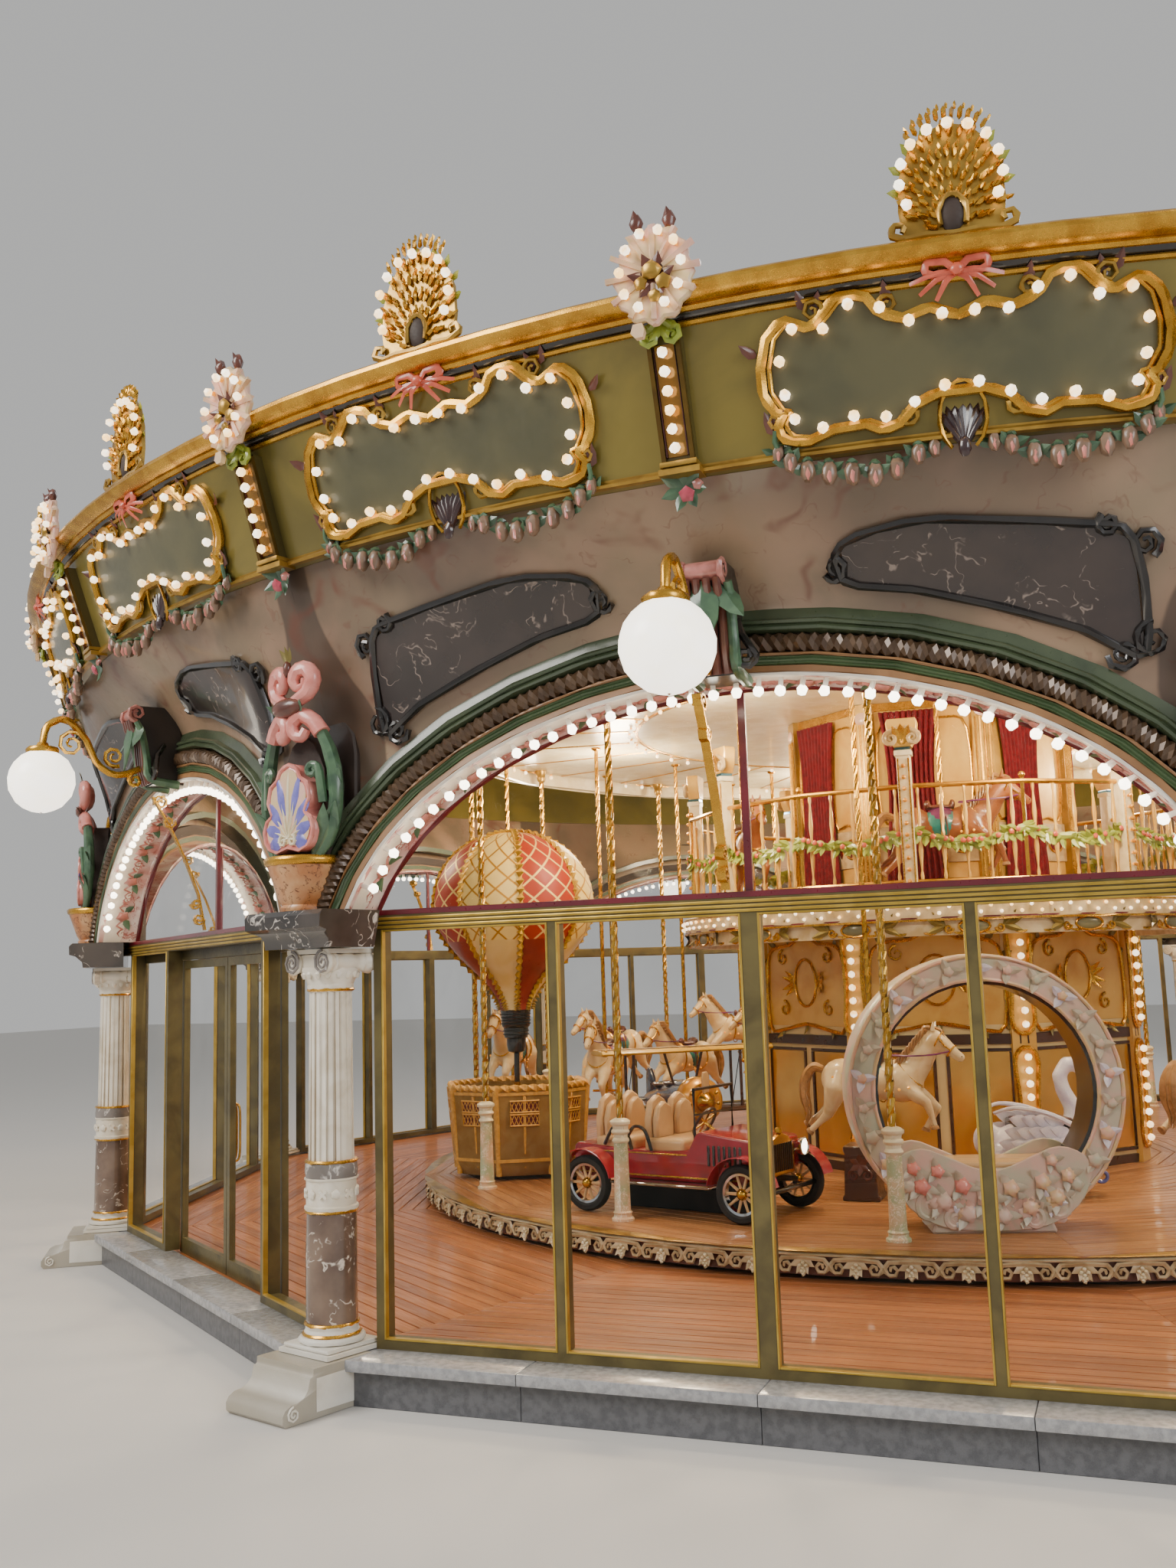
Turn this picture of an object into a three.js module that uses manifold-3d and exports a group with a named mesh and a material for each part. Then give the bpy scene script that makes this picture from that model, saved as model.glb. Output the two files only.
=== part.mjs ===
// Double-deck fairground carousel inside its ten-sided glazed pavilion.
// Millimetres, +Z up, origin on the ground at the centre of the pavilion.
// Bay 0 faces -Y; azimuths are degrees from -Y, positive towards -X.

import * as THREE from 'three';
import { mergeVertices } from 'three/addons/utils/BufferGeometryUtils.js';
import Module from 'manifold-3d';

const wasm = await Module();
wasm.setup();

// Driving dimensions of the pavilion
const SIDES = 10;
const BAY_ANGLE = 360 / SIDES;
const HALF_BAY = BAY_ANGLE / 2;
const GAP = 0.3;
const GLAZING_APOTHEM = 7386;
const FLOOR_TOP = 220;
const COPING_TOP = 246;
const COPING_OUTER = 7671;
const RISER_OUTER = 7614;
const CURB_INNER = 7350;
const RISER_TOP = 186;
const TRANSOM_BOTTOM = 2518;
const TRANSOM_TOP = 2630;
const FRAME_INNER = 7308.3;
const FRAME_OUTER = 7421;
const JAMB_INSET = 206;
const BAR_WIDTH = 50;
const CENTRE_BAR_WIDTH = 90;
const GLASS_THICKNESS = 8;
const DOOR_BAY = 1;
const FRAMES = { frame_front: [8, 10], frame_door: [1, 1], frame_left: [2, 4], frame_back: [5, 7] };
const LOWER_GLASS = { lower_glass_front: [8, 10.5], lower_glass_back: [1.5, 7] };
const DOOR_HALF_WIDTH = 1115;
const DOOR_TOP = 2440;

// Driving dimensions of the columns, walls and lamps
const COLUMN_RADIUS = 7875;
const PLINTH_INNER = 7800;
const PLINTH_HALF_WIDTH = 240;
const IMPOST_BOTTOM = 2420;
const CORNER_RADIUS = 7862;
const WALL_APOTHEM = 7640;
const WALL_THICKNESS = 80;
const WALL_TOP = 4570;
const WALL_TOP_RADIUS = 8180;
const COVE_START = 3450;
const ARCH_CENTRE_Z = 2260;
const ARCH_HALF_WIDTH = 2270;
const ARCH_HEIGHT = 1430;
const SOFFIT_BACK = 7356;
const ARCHIVOLT_FACE = 7710;
const LUNETTE_TOP = 3800;
const NICHE_RADIUS = 215;
const NICHE_TOP = 3540;
const GLOBE_RADIUS = 220;
const GLOBE_REACH = 8600;
const GLOBE_Z = 3662;

// Driving dimensions of the cornice and roof
const PANELS = 20;
const PANEL_ANGLE = 360 / PANELS;
const CORNICE_TOP = 5380;
const CORNICE_FOOT_RADIUS = 8250;
const CORNICE_HEAD_RADIUS = 8600;
const ROOF_RADIUS = 8360;
const ROOF_APEX = 7000;

// Driving dimensions of the carousel
const PLATFORM_RADIUS = 5200;
const PLATFORM_TOP = 420;
const PLATFORM_UNDERSIDE = 330;
const RIM_BOTTOM = 255;
const BORE_RADIUS = 300;
const MAST_RADIUS = 160;
const CORE_RADIUS = 1850;
const CORE_TOP = 2699.7;
const CORE_SIDES = 8;
const CORE_PHASE = 17;
const DECK_RADIUS = 2520;
const DECK_TOP = 2760;
const UPPER_CORE_RADIUS = 1400;
const RAIL_RADIUS = 2470;
const RAIL_LOW = 2930;
const RAIL_HIGH = 3745;
const CANOPY_UNDERSIDE = 4700;
const CANOPY_TOP = 4960;
const CANOPY_RADIUS = 5000;
const POSTS = 14;
const POST_RADIUS = 4760;
const POST_PHASE = -2.6;
const POLE_RADIUS = 24;
const BUSH_RADIUS = 25.2;
const HORSE_POLE_TOP = 5060;
const HORSE_SCALE = 0.88;

// Places of the riders: azimuth and distances out of each row of horses, then plan position and heading
const HORSE_ROWS = [
  { azimuth: 84, radii: [3520, 4560], belly: 1160 },
  { azimuth: 112, radii: [3360, 4480], belly: 1080 },
  { azimuth: 138, radii: [3360, 4480], belly: 1200 },
  { azimuth: 190, radii: [3360, 4480], belly: 1100 },
  { azimuth: 242, radii: [3360, 4480], belly: 1180 },
  { azimuth: 316, radii: [3450, 4480], belly: 1140 },
  { azimuth: 5.5, radii: [2720], belly: 1130 },
];
const UPPER_HORSES = [60, 180, 350];
const UPPER_HORSE_RADIUS = 1980;
const PROPELLER_START = 471;
const BALLOON = { azimuth: 60, radius: 4300 };
const CAR_PLACE = [-1500, -3800, -14.7];
const PLANE_PLACE = [-1950, -2550, -50];
const RING_PLACE = [730, -4130, 16];
const SWAN_PLACE = [1050, -2740, 21];
const STEP_PLACE = [-310, -3080, 0];

// Colours of the finishes
const COLOURS = {
  granite: 0x5a5a5c,
  planks: 0x9a5a30,
  bronze: 0x6e6238,
  glass: 0xbfd4d2,
  marble: 0x8f7a68,
  white: 0xe8e4da,
  gold: 0xc79a3a,
  olive: 0x6f6a35,
  roof: 0x59625e,
  cream: 0xe2d2a2,
  brass: 0xd2a94a,
  wicker: 0xb98a45,
  red: 0xb32233,
  navy: 0x1f2c49,
  pink: 0xcfae9f,
  walnut: 0x4a2d1c,
  chestnut: 0x8a5330,
};

const radians = THREE.MathUtils.degToRad;
const at = (x, y, z) => new THREE.Matrix4().makeTranslation(x, y, z);
const turned = (degrees) => new THREE.Matrix4().makeRotationZ(radians(degrees));
const spun = (azimuth) => turned(-azimuth);

// Turns a closed three.js geometry into a solid, dropping the zero-area triangles at its poles.
function solid(geometry, matrix = null) {
  const bare = geometry.clone();
  bare.deleteAttribute('normal');
  bare.deleteAttribute('uv');
  if (matrix) bare.applyMatrix4(matrix);
  const merged = mergeVertices(bare, 1e-3);
  const position = merged.attributes.position;
  const corner = [new THREE.Vector3(), new THREE.Vector3(), new THREE.Vector3()];
  const triangles = [];
  let volume = 0;
  for (let i = 0; i < merged.index.count; i += 3) {
    const ids = [0, 1, 2].map((k) => merged.index.getX(i + k));
    if (new Set(ids).size < 3) continue;
    ids.forEach((id, k) => corner[k].fromBufferAttribute(position, id));
    volume += corner[0].dot(corner[1].clone().cross(corner[2]));
    triangles.push(ids);
  }
  const outward = volume < 0 ? triangles.map(([a, b, c]) => [a, c, b]) : triangles;
  return new wasm.Manifold(new wasm.Mesh({
    numProp: 3,
    vertProperties: Float32Array.from(position.array),
    triVerts: Uint32Array.from(outward.flat()),
  }));
}

function joined(pieces) {
  return pieces.reduce((whole, piece) => whole.add(piece));
}

function cut(body, tools) {
  return tools.reduce((rest, tool) => rest.subtract(tool), body);
}

function geometryOf(body) {
  const mesh = body.getMesh();
  const geometry = new THREE.BufferGeometry();
  geometry.setAttribute('position', new THREE.BufferAttribute(mesh.vertProperties, mesh.numProp));
  geometry.setIndex(new THREE.BufferAttribute(mesh.triVerts, 1));
  geometry.computeVertexNormals();
  return geometry;
}

// A box given by its low and high corners.
function block(low, high) {
  const size = low.map((value, i) => high[i] - value);
  const centre = low.map((value, i) => (high[i] + value) / 2);
  return solid(new THREE.BoxGeometry(...size), at(...centre));
}

// A solid of revolution about Z from [radius, height] points; the profile closes on itself or the axis.
function revolved(points, segments, azimuth = 0) {
  const profile = points.map(([radius, height]) => new THREE.Vector2(radius, height));
  const lathe = new THREE.LatheGeometry(profile, segments);
  lathe.rotateX(Math.PI / 2);
  return solid(lathe, spun(azimuth));
}

// A closed ring profile becomes a ring with flat sides whose apothem is the profile's first coordinate.
function polygonRing(points, sides, azimuth) {
  const stretch = 1 / Math.cos(Math.PI / sides);
  const profile = [...points, points[0]].map(([apothem, height]) => [apothem * stretch, height]);
  return revolved(profile, sides, azimuth);
}

function ring(points, segments, azimuth = 0) {
  return revolved([...points, points[0]], segments, azimuth);
}

function rod(radius, low, high, sides, x = 0, y = 0) {
  const cylinder = new THREE.CylinderGeometry(radius, radius, high - low, sides);
  cylinder.rotateX(Math.PI / 2);
  return solid(cylinder, at(x, y, (low + high) / 2));
}

function ellipsoid(radii, centre, across = 8, down = 5) {
  const sphere = new THREE.SphereGeometry(1, across, down);
  sphere.scale(...radii);
  return solid(sphere, at(...centre));
}

// A round bar between two points, tapering from one radius to the other.
function limb(start, end, radiusStart, radiusEnd, sides = 5) {
  const from = new THREE.Vector3(...start);
  const to = new THREE.Vector3(...end);
  const along = to.clone().sub(from);
  const bar = new THREE.CylinderGeometry(radiusEnd, radiusStart, along.length(), sides);
  const turn = new THREE.Quaternion().setFromUnitVectors(new THREE.Vector3(0, 1, 0), along.clone().normalize());
  const middle = from.clone().add(to).multiplyScalar(0.5);
  return solid(bar, new THREE.Matrix4().compose(middle, turn, new THREE.Vector3(1, 1, 1)));
}

function outline(points) {
  return new THREE.Shape(points.map(([x, y]) => new THREE.Vector2(x, y)));
}

function ellipseOutline(halfWidth, halfHeight, segments) {
  const curve = new THREE.EllipseCurve(0, 0, halfWidth, halfHeight);
  return new THREE.Shape(curve.getPoints(segments).slice(0, segments));
}

// Extrudes an outline drawn across the bay (x, z) between two distances out from the centre.
function facing(shape, inner, outer, z = 0) {
  const body = new THREE.ExtrudeGeometry(shape, { depth: outer - inner, bevelEnabled: false });
  body.rotateX(Math.PI / 2);
  return solid(body, at(0, -inner, z));
}

// Extrudes an outline drawn in the radial plane (distance out, z) to a width centred on the bay.
function sideOn(points, width) {
  const body = new THREE.ExtrudeGeometry(outline(points), { depth: width, bevelEnabled: false });
  body.rotateX(Math.PI / 2);
  body.rotateZ(-Math.PI / 2);
  return solid(body, at(width / 2, 0, 0));
}

// Extrudes a plan outline (x, y) from one height to another.
function upright(points, low, high) {
  const body = new THREE.ExtrudeGeometry(outline(points), { depth: high - low, bevelEnabled: false });
  return solid(body, at(0, 0, low));
}

const model = new THREE.Group();

function add(name, body, colour, parent = model, metalness = 0, roughness = 0.5) {
  const material = new THREE.MeshStandardMaterial({ color: colour, roughness, metalness });
  const mesh = new THREE.Mesh(geometryOf(body), material);
  mesh.name = name;
  parent.add(mesh);
  return mesh;
}

function groupAt(azimuth) {
  const group = new THREE.Group();
  group.rotation.z = radians(-azimuth);
  model.add(group);
  return group;
}

// Floor slab and the stone curb that rings it
function makeFloor() {
  const corner = (CURB_INNER - GAP) / Math.cos(radians(HALF_BAY));
  return revolved([[0, 0], [corner, 0], [corner, FLOOR_TOP], [0, FLOOR_TOP]], SIDES, HALF_BAY);
}

function makeCurb() {
  const body = polygonRing([
    [CURB_INNER, 0], [RISER_OUTER, 0], [RISER_OUTER, RISER_TOP], [COPING_OUTER, RISER_TOP],
    [COPING_OUTER, COPING_TOP], [CURB_INNER, COPING_TOP],
  ], SIDES, HALF_BAY);
  const seats = [];
  for (let i = 0; i < SIDES; i += 1) {
    const reach = PLINTH_HALF_WIDTH + GAP;
    const seat = block([-reach, -CORNER_RADIUS - 600, -10], [reach, -PLINTH_INNER + GAP, COPING_TOP + 10]);
    seats.push(seat.transform([...spun(HALF_BAY + i * BAY_ANGLE).elements]));
  }
  return cut(body, seats);
}

// One corner column: scrolled plinth, moulded base, two-stage shaft, capital, impost, vase and palmette
function makeColumn() {
  const plinth = sideOn([
    [PLINTH_INNER, 0], [8390, 0], [8400, 60], [8350, 105], [8250, 130], [8200, 250], [PLINTH_INNER, 250],
  ], 2 * PLINTH_HALF_WIDTH);
  const base = block([-180, -8055, COPING_TOP + GAP], [180, -7695, 300]);
  const shaft = revolved([
    [0, 299], [178, 299], [178, 340], [140, 405], [138, 985], [150, 1000], [148, 1245], [126, 1262],
    [122, 2180], [148, 2300], [0, 2300],
  ], 8, 22.5).translate([0, -COLUMN_RADIUS, 0]);
  const capital = block([-185, -COLUMN_RADIUS - 170, 2299], [185, -COLUMN_RADIUS + 170, IMPOST_BOTTOM + 1]);
  const impost = block([-330, -8140, IMPOST_BOTTOM], [330, -7803.5 - 18, TRANSOM_TOP]);
  const vase = revolved([[0, 2629], [105, 2629], [185, 2925], [185, 2960], [0, 2960]], 8, 22.5)
    .translate([0, -CORNER_RADIUS - 15, 0]);
  const palmette = facing(ellipseOutline(150, 265, 10), CORNER_RADIUS + 40, CORNER_RADIUS + 130, 3250);
  const backing = facing(outline([[-175, 2955], [175, 2955], [190, 3300], [110, 3500], [-110, 3500], [-190, 3300]]),
    CORNER_RADIUS, CORNER_RADIUS + 60);
  const front = block([-600, -9000, 2600], [600, -CORNER_RADIUS - GAP, 3600]);
  const crown = joined([vase, palmette, backing]).intersect(front);
  return joined([plinth, base, shaft, capital, impost, crown]);
}

// Distance out of the wall's outer face at an azimuth within the bay and a height: flat-sided below, round above
function wallRadius(azimuth, z) {
  const flat = Math.min(WALL_APOTHEM / Math.cos(radians(azimuth)), CORNER_RADIUS);
  const rise = THREE.MathUtils.smoothstep(z, COVE_START, WALL_TOP + 350);
  const full = THREE.MathUtils.smoothstep(WALL_TOP, COVE_START, WALL_TOP + 350);
  return THREE.MathUtils.lerp(flat, WALL_TOP_RADIUS, rise / full);
}

// The coved wall of one bay, as a slab of box cells bent to the plan
function makeCovedWall() {
  const columns = 6;
  const heights = [TRANSOM_TOP + GAP, COVE_START, 3950, WALL_TOP];
  const slab = new THREE.BoxGeometry(1, 1, 1, columns, 1, heights.length - 1);
  const position = slab.attributes.position;
  const edge = HALF_BAY - 0.001;
  for (let i = 0; i < position.count; i += 1) {
    const azimuth = position.getX(i) * 2 * edge;
    const z = heights[Math.round((position.getZ(i) + 0.5) * (heights.length - 1))];
    const thickness = position.getY(i) > 0 ? WALL_THICKNESS : 0;
    const radius = wallRadius(azimuth, z) - thickness;
    position.setXYZ(i, radius * Math.sin(radians(azimuth)), -radius * Math.cos(radians(azimuth)), z);
  }
  return solid(slab);
}

// Hanging lamp: curled bracket from the keystone, and globe
function makeLamp() {
  const route = new THREE.CatmullRomCurve3([
    [7870, 3800], [8090, 3730], [8230, 3800], [8320, 3980], [8450, 4100], [8570, 4050], [GLOBE_REACH, 3850],
  ].map(([out, z]) => new THREE.Vector3(0, -out, z)));
  const section = new THREE.Shape(new THREE.EllipseCurve(0, 0, 24, 24).getPoints(4).slice(0, 4));
  const neck = solid(new THREE.ExtrudeGeometry(section, { steps: 7, extrudePath: route, bevelEnabled: false }));
  const globe = ellipsoid([GLOBE_RADIUS, GLOBE_RADIUS, GLOBE_RADIUS], [0, -GLOBE_REACH, GLOBE_Z], 8, 5);
  return neck.add(globe);
}

// One bay: coved wall with an elliptical arch cut through, stepped archivolt, keystone and hanging lamp
function makeBay() {
  const arch = (extra) => ellipseOutline(ARCH_HALF_WIDTH + extra, ARCH_HEIGHT + extra, 22);
  const archivolt = facing(arch(345), SOFFIT_BACK, ARCHIVOLT_FACE, ARCH_CENTRE_Z);
  const hole = facing(arch(0), SOFFIT_BACK - 50, 8300, ARCH_CENTRE_Z);
  const reach = 9500;
  const edge = radians(HALF_BAY - 0.001);
  const wedge = upright(
    [[0, 0], [-reach * Math.sin(edge), -reach * Math.cos(edge)], [reach * Math.sin(edge), -reach * Math.cos(edge)]],
    TRANSOM_TOP + GAP, WALL_TOP);
  const niches = [-HALF_BAY, HALF_BAY].map((azimuth) => {
    const arc = new THREE.EllipseCurve(0, 0, NICHE_RADIUS, NICHE_RADIUS, Math.PI, 2 * Math.PI).getPoints(4);
    const half = arc.map((point) => [point.x, point.y - CORNER_RADIUS]);
    const deep = [...half, [NICHE_RADIUS, -CORNER_RADIUS + 0.001]];
    return upright(deep, TRANSOM_TOP - 5, NICHE_TOP).transform([...spun(azimuth).elements]);
  });
  const keystone = sideOn([
    [7600, 3655], [7900, 3655], [7950, 3990], [8020, 4080], [8000, 4240], [7700, 4240],
  ], 240);
  const wall = cut(joined([makeCovedWall(), archivolt]), [hole, ...niches]).intersect(wedge);
  return joined([wall, keystone, makeLamp()]);
}

// Glazing frame of some neighbouring bays: transom, jambs, mullions and bottom rails, with the door track in one bay
function bayRange(first, last, bottom, top) {
  const edges = [(first - 0.5) * BAY_ANGLE + 0.001, (last + 0.5) * BAY_ANGLE - 0.001].map(radians);
  const middle = (edges[0] + edges[1]) / 2;
  const reach = 20000;
  const corners = [edges[0], middle, edges[1]].map((edge) => [-reach * Math.sin(edge), -reach * Math.cos(edge)]);
  return upright([[0, 0], ...corners], bottom, top);
}

function makeFrame(first, last) {
  const sector = bayRange(first, last, TRANSOM_BOTTOM - 10, TRANSOM_TOP + 10);
  const transom = polygonRing([
    [FRAME_INNER, TRANSOM_BOTTOM], [FRAME_OUTER, TRANSOM_BOTTOM], [FRAME_OUTER, TRANSOM_TOP], [FRAME_INNER, TRANSOM_TOP],
  ], SIDES, HALF_BAY).intersect(sector);
  const half = GLAZING_APOTHEM * Math.tan(radians(HALF_BAY)) - JAMB_INSET;
  const bar = (x, width) => block(
    [x - width / 2, -FRAME_OUTER, COPING_TOP + GAP], [x + width / 2, -FRAME_INNER, TRANSOM_BOTTOM + 5]);
  const bays = [];
  for (let i = first; i <= last; i += 1) {
    const pieces = [-1, 1].flatMap((side) => [
      bar(side * (half - BAR_WIDTH / 2), BAR_WIDTH),
      bar(side * half / 2, BAR_WIDTH),
    ]);
    const rail = (low, high) => block([low, -FRAME_OUTER, COPING_TOP + GAP], [high, -FRAME_INNER, COPING_TOP + 50]);
    if (i === DOOR_BAY) {
      pieces.push(rail(-half, -half / 2), rail(half / 2, half));
      pieces.push(block([-half, -FRAME_INNER - 5, DOOR_TOP + 6], [half, -7235, TRANSOM_BOTTOM + 40]));
    } else {
      pieces.push(rail(-half, half), bar(0, CENTRE_BAR_WIDTH));
    }
    bays.push(joined(pieces).transform([...spun(i * BAY_ANGLE).elements]));
  }
  return joined([transom, ...bays]);
}

// Lower glass: a sheet over a range of bays, open at the doorway
function makeLowerGlass(first, last) {
  const outer = FRAME_INNER - GAP;
  const inner = outer - GLASS_THICKNESS;
  const sheet = polygonRing([
    [inner, FLOOR_TOP + GAP], [outer, FLOOR_TOP + GAP], [outer, TRANSOM_TOP - 20], [inner, TRANSOM_TOP - 20],
  ], SIDES, HALF_BAY);
  const half = GLAZING_APOTHEM * Math.tan(radians(HALF_BAY)) - JAMB_INSET;
  const doorway = block([-half / 2, -7600, 0], [half / 2, -7000, 3000]);
  const track = block([-half - GAP, -7600, DOOR_TOP + 6 - GAP], [half + GAP, -7000, 3000]);
  const range = sheet.intersect(bayRange(first, last, 0, 3000));
  return cut(range, [doorway, track].map((tool) => tool.transform([...spun(DOOR_BAY * BAY_ANGLE).elements])));
}

// Upper glass: one sheet behind the arches, standing on the transom
function makeLunetteGlass() {
  const outer = SOFFIT_BACK - GAP;
  return polygonRing([
    [outer - GLASS_THICKNESS, TRANSOM_TOP + GAP], [outer, TRANSOM_TOP + GAP], [outer, LUNETTE_TOP],
    [outer - GLASS_THICKNESS, LUNETTE_TOP],
  ], SIDES, HALF_BAY);
}

// One sliding leaf and its pane; side is -1 or 1 along the bay
function makeLeaf(side) {
  const low = side < 0 ? -DOOR_HALF_WIDTH : 5;
  const high = side < 0 ? -5 : DOOR_HALF_WIDTH;
  const rollers = [low + 100, high - 160].map((x) => (
    block([x, -7290, FLOOR_TOP + GAP], [x + 60, -7254, FLOOR_TOP + 20])
  ));
  const body = joined([block([low, -7294, FLOOR_TOP + 6], [high, -7250, DOOR_TOP]), ...rollers]);
  const opening = block([low + 60, -7400, FLOOR_TOP + 116], [high - 60, -7200, DOOR_TOP - 60]);
  const pane = block(
    [low + 60 + GAP, -7276, FLOOR_TOP + 116 + GAP], [high - 60 - GAP, -7268, DOOR_TOP - 60 - GAP]);
  return { leaf: body.subtract(opening), pane };
}

// Cornice ring with its bulb pilasters, shell finials and feather crests
function makeCornice() {
  const segments = 2 * PANELS;
  const body = ring([
    [8100, WALL_TOP + GAP], [CORNICE_FOOT_RADIUS, WALL_TOP + GAP], [8470, 5270], [CORNICE_HEAD_RADIUS, 5330],
    [CORNICE_HEAD_RADIUS - 10, CORNICE_TOP], [ROOF_RADIUS, CORNICE_TOP], [8150, 4680],
  ], segments, 90 / PANELS);
  const extras = [];
  for (let i = 0; i < PANELS; i += 1) {
    const pilaster = sideOn([[8205, 4555], [8300, 4545], [8520, 5180], [8380, 5200]], 170);
    const finial = facing(outline([
      [-90, 5120], [90, 5120], [205, 5420], [90, 5740], [-90, 5740], [-205, 5420],
    ]), 8560, 8680);
    const crest = facing(outline([
      [-250, CORNICE_TOP - 20], [250, CORNICE_TOP - 20], [265, 5700], [0, 6000], [-265, 5700],
    ]), 8470, 8560);
    extras.push(pilaster.add(finial).transform([...spun(i * PANEL_ANGLE).elements]));
    extras.push(crest.transform([...spun((i + 0.5) * PANEL_ANGLE).elements]));
  }
  return joined([body, ...extras]);
}

// Shallow roof cone with its finial
function makeRoof() {
  const shell = ring([
    [ROOF_RADIUS - 60, CORNICE_TOP + GAP], [ROOF_RADIUS + 60, CORNICE_TOP + GAP], [MAST_RADIUS, ROOF_APEX],
    [MAST_RADIUS, ROOF_APEX - 80],
  ], PANELS);
  const finial = revolved([
    [0, ROOF_APEX - 120], [MAST_RADIUS + 20, ROOF_APEX - 120], [MAST_RADIUS + 20, ROOF_APEX + 40], [70, ROOF_APEX + 120],
    [150, ROOF_APEX + 280], [40, ROOF_APEX + 430], [0, ROOF_APEX + 800],
  ], 6);
  return shell.add(finial);
}

// Fixed mast with the collar that the canopy turns on
function makeMast() {
  const slim = MAST_RADIUS - 20;
  return revolved([
    [0, FLOOR_TOP + GAP], [slim, FLOOR_TOP + GAP], [slim, 4560], [450, 4620], [450, CANOPY_UNDERSIDE - GAP],
    [slim, CANOPY_UNDERSIDE - GAP], [slim, ROOF_APEX - 120 - GAP], [0, ROOF_APEX - 120 - GAP],
  ], 10);
}

// Rotating platform with its deep scalloped rim
function makePlatform() {
  return ring([
    [BORE_RADIUS, PLATFORM_UNDERSIDE], [PLATFORM_RADIUS - 90, PLATFORM_UNDERSIDE], [PLATFORM_RADIUS - 90, RIM_BOTTOM],
    [PLATFORM_RADIUS - 20, RIM_BOTTOM], [PLATFORM_RADIUS, PLATFORM_TOP - 40], [PLATFORM_RADIUS, PLATFORM_TOP],
    [BORE_RADIUS, PLATFORM_TOP],
  ], 2 * POSTS, POST_PHASE);
}

// An eight-sided drum with a pilaster on each corner
function makeDrum(radius, low, high, wall, pilasterWidth) {
  const apothem = radius * Math.cos(Math.PI / CORE_SIDES);
  const shell = polygonRing([[apothem - wall, low], [apothem, low], [apothem, high], [apothem - wall, high]],
    CORE_SIDES, CORE_PHASE);
  const pilasters = [];
  for (let i = 0; i < CORE_SIDES; i += 1) {
    const strip = block([-pilasterWidth / 2, -radius - 40, low], [pilasterWidth / 2, -radius + 70, high]);
    pilasters.push(strip.transform([...spun(CORE_PHASE + (i * 360) / CORE_SIDES).elements]));
  }
  return joined([shell, ...pilasters]);
}

// Upper deck with its deep rounding board
function makeUpperDeck() {
  return ring([
    [BORE_RADIUS, CORE_TOP + GAP], [DECK_RADIUS - 130, CORE_TOP + GAP], [DECK_RADIUS - 130, 2470],
    [DECK_RADIUS, 2470], [DECK_RADIUS + 40, 2600], [DECK_RADIUS + 40, DECK_TOP], [BORE_RADIUS, DECK_TOP],
  ], 16, POST_PHASE);
}

// Upper railing: two rails, balusters and eight volute columns
function makeUpperRailing() {
  const rail = (z) => polygonRing([
    [RAIL_RADIUS - 22, z - 22], [RAIL_RADIUS + 22, z - 22], [RAIL_RADIUS + 22, z + 22], [RAIL_RADIUS - 22, z + 22],
  ], 16, POST_PHASE + 11.25);
  const pieces = [rail(RAIL_LOW), rail(RAIL_HIGH)];
  for (let i = 0; i < 16; i += 1) {
    const column = i % 2 === 0;
    const half = column ? 60 : 15;
    const body = block([-half, -RAIL_RADIUS - half, DECK_TOP + GAP], [half, -RAIL_RADIUS + half, column ? 4100 : RAIL_HIGH]);
    const cap = block([-140, -RAIL_RADIUS - 70, 4050], [140, -RAIL_RADIUS + 70, 4330]);
    pieces.push((column ? body.add(cap) : body).transform([...spun(POST_PHASE + i * 22.5).elements]));
  }
  return joined(pieces);
}

// Canopy over the riders with the ring of twisted poles on marbled sleeves
function makeCanopy() {
  const top = ring([
    [BORE_RADIUS, CANOPY_UNDERSIDE], [CANOPY_RADIUS - 60, CANOPY_UNDERSIDE], [CANOPY_RADIUS - 60, 4560],
    [CANOPY_RADIUS, 4560], [CANOPY_RADIUS, CANOPY_TOP - 150], [BORE_RADIUS, CANOPY_TOP],
  ], POSTS, POST_PHASE);
  const pieces = [];
  for (let i = 0; i < POSTS; i += 1) {
    const pole = revolved([
      [0, PLATFORM_TOP + GAP], [58, PLATFORM_TOP + GAP], [48, 990], [68, 1150], [26, 1160],
      [26, CANOPY_UNDERSIDE + 20], [0, CANOPY_UNDERSIDE + 20],
    ], 5).translate([0, -POST_RADIUS, 0]);
    pieces.push(pole.transform([...spun(POST_PHASE + (i * 360) / POSTS).elements]));
  }
  const bushes = HORSE_ROWS.flatMap((row) => row.radii.map((radius) => (
    rod(BUSH_RADIUS, CANOPY_UNDERSIDE - 50, CANOPY_TOP + 50, 4, 0, -radius).transform([...spun(row.azimuth).elements])
  )));
  return cut(joined([top, ...pieces]), bushes);
}

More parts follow.
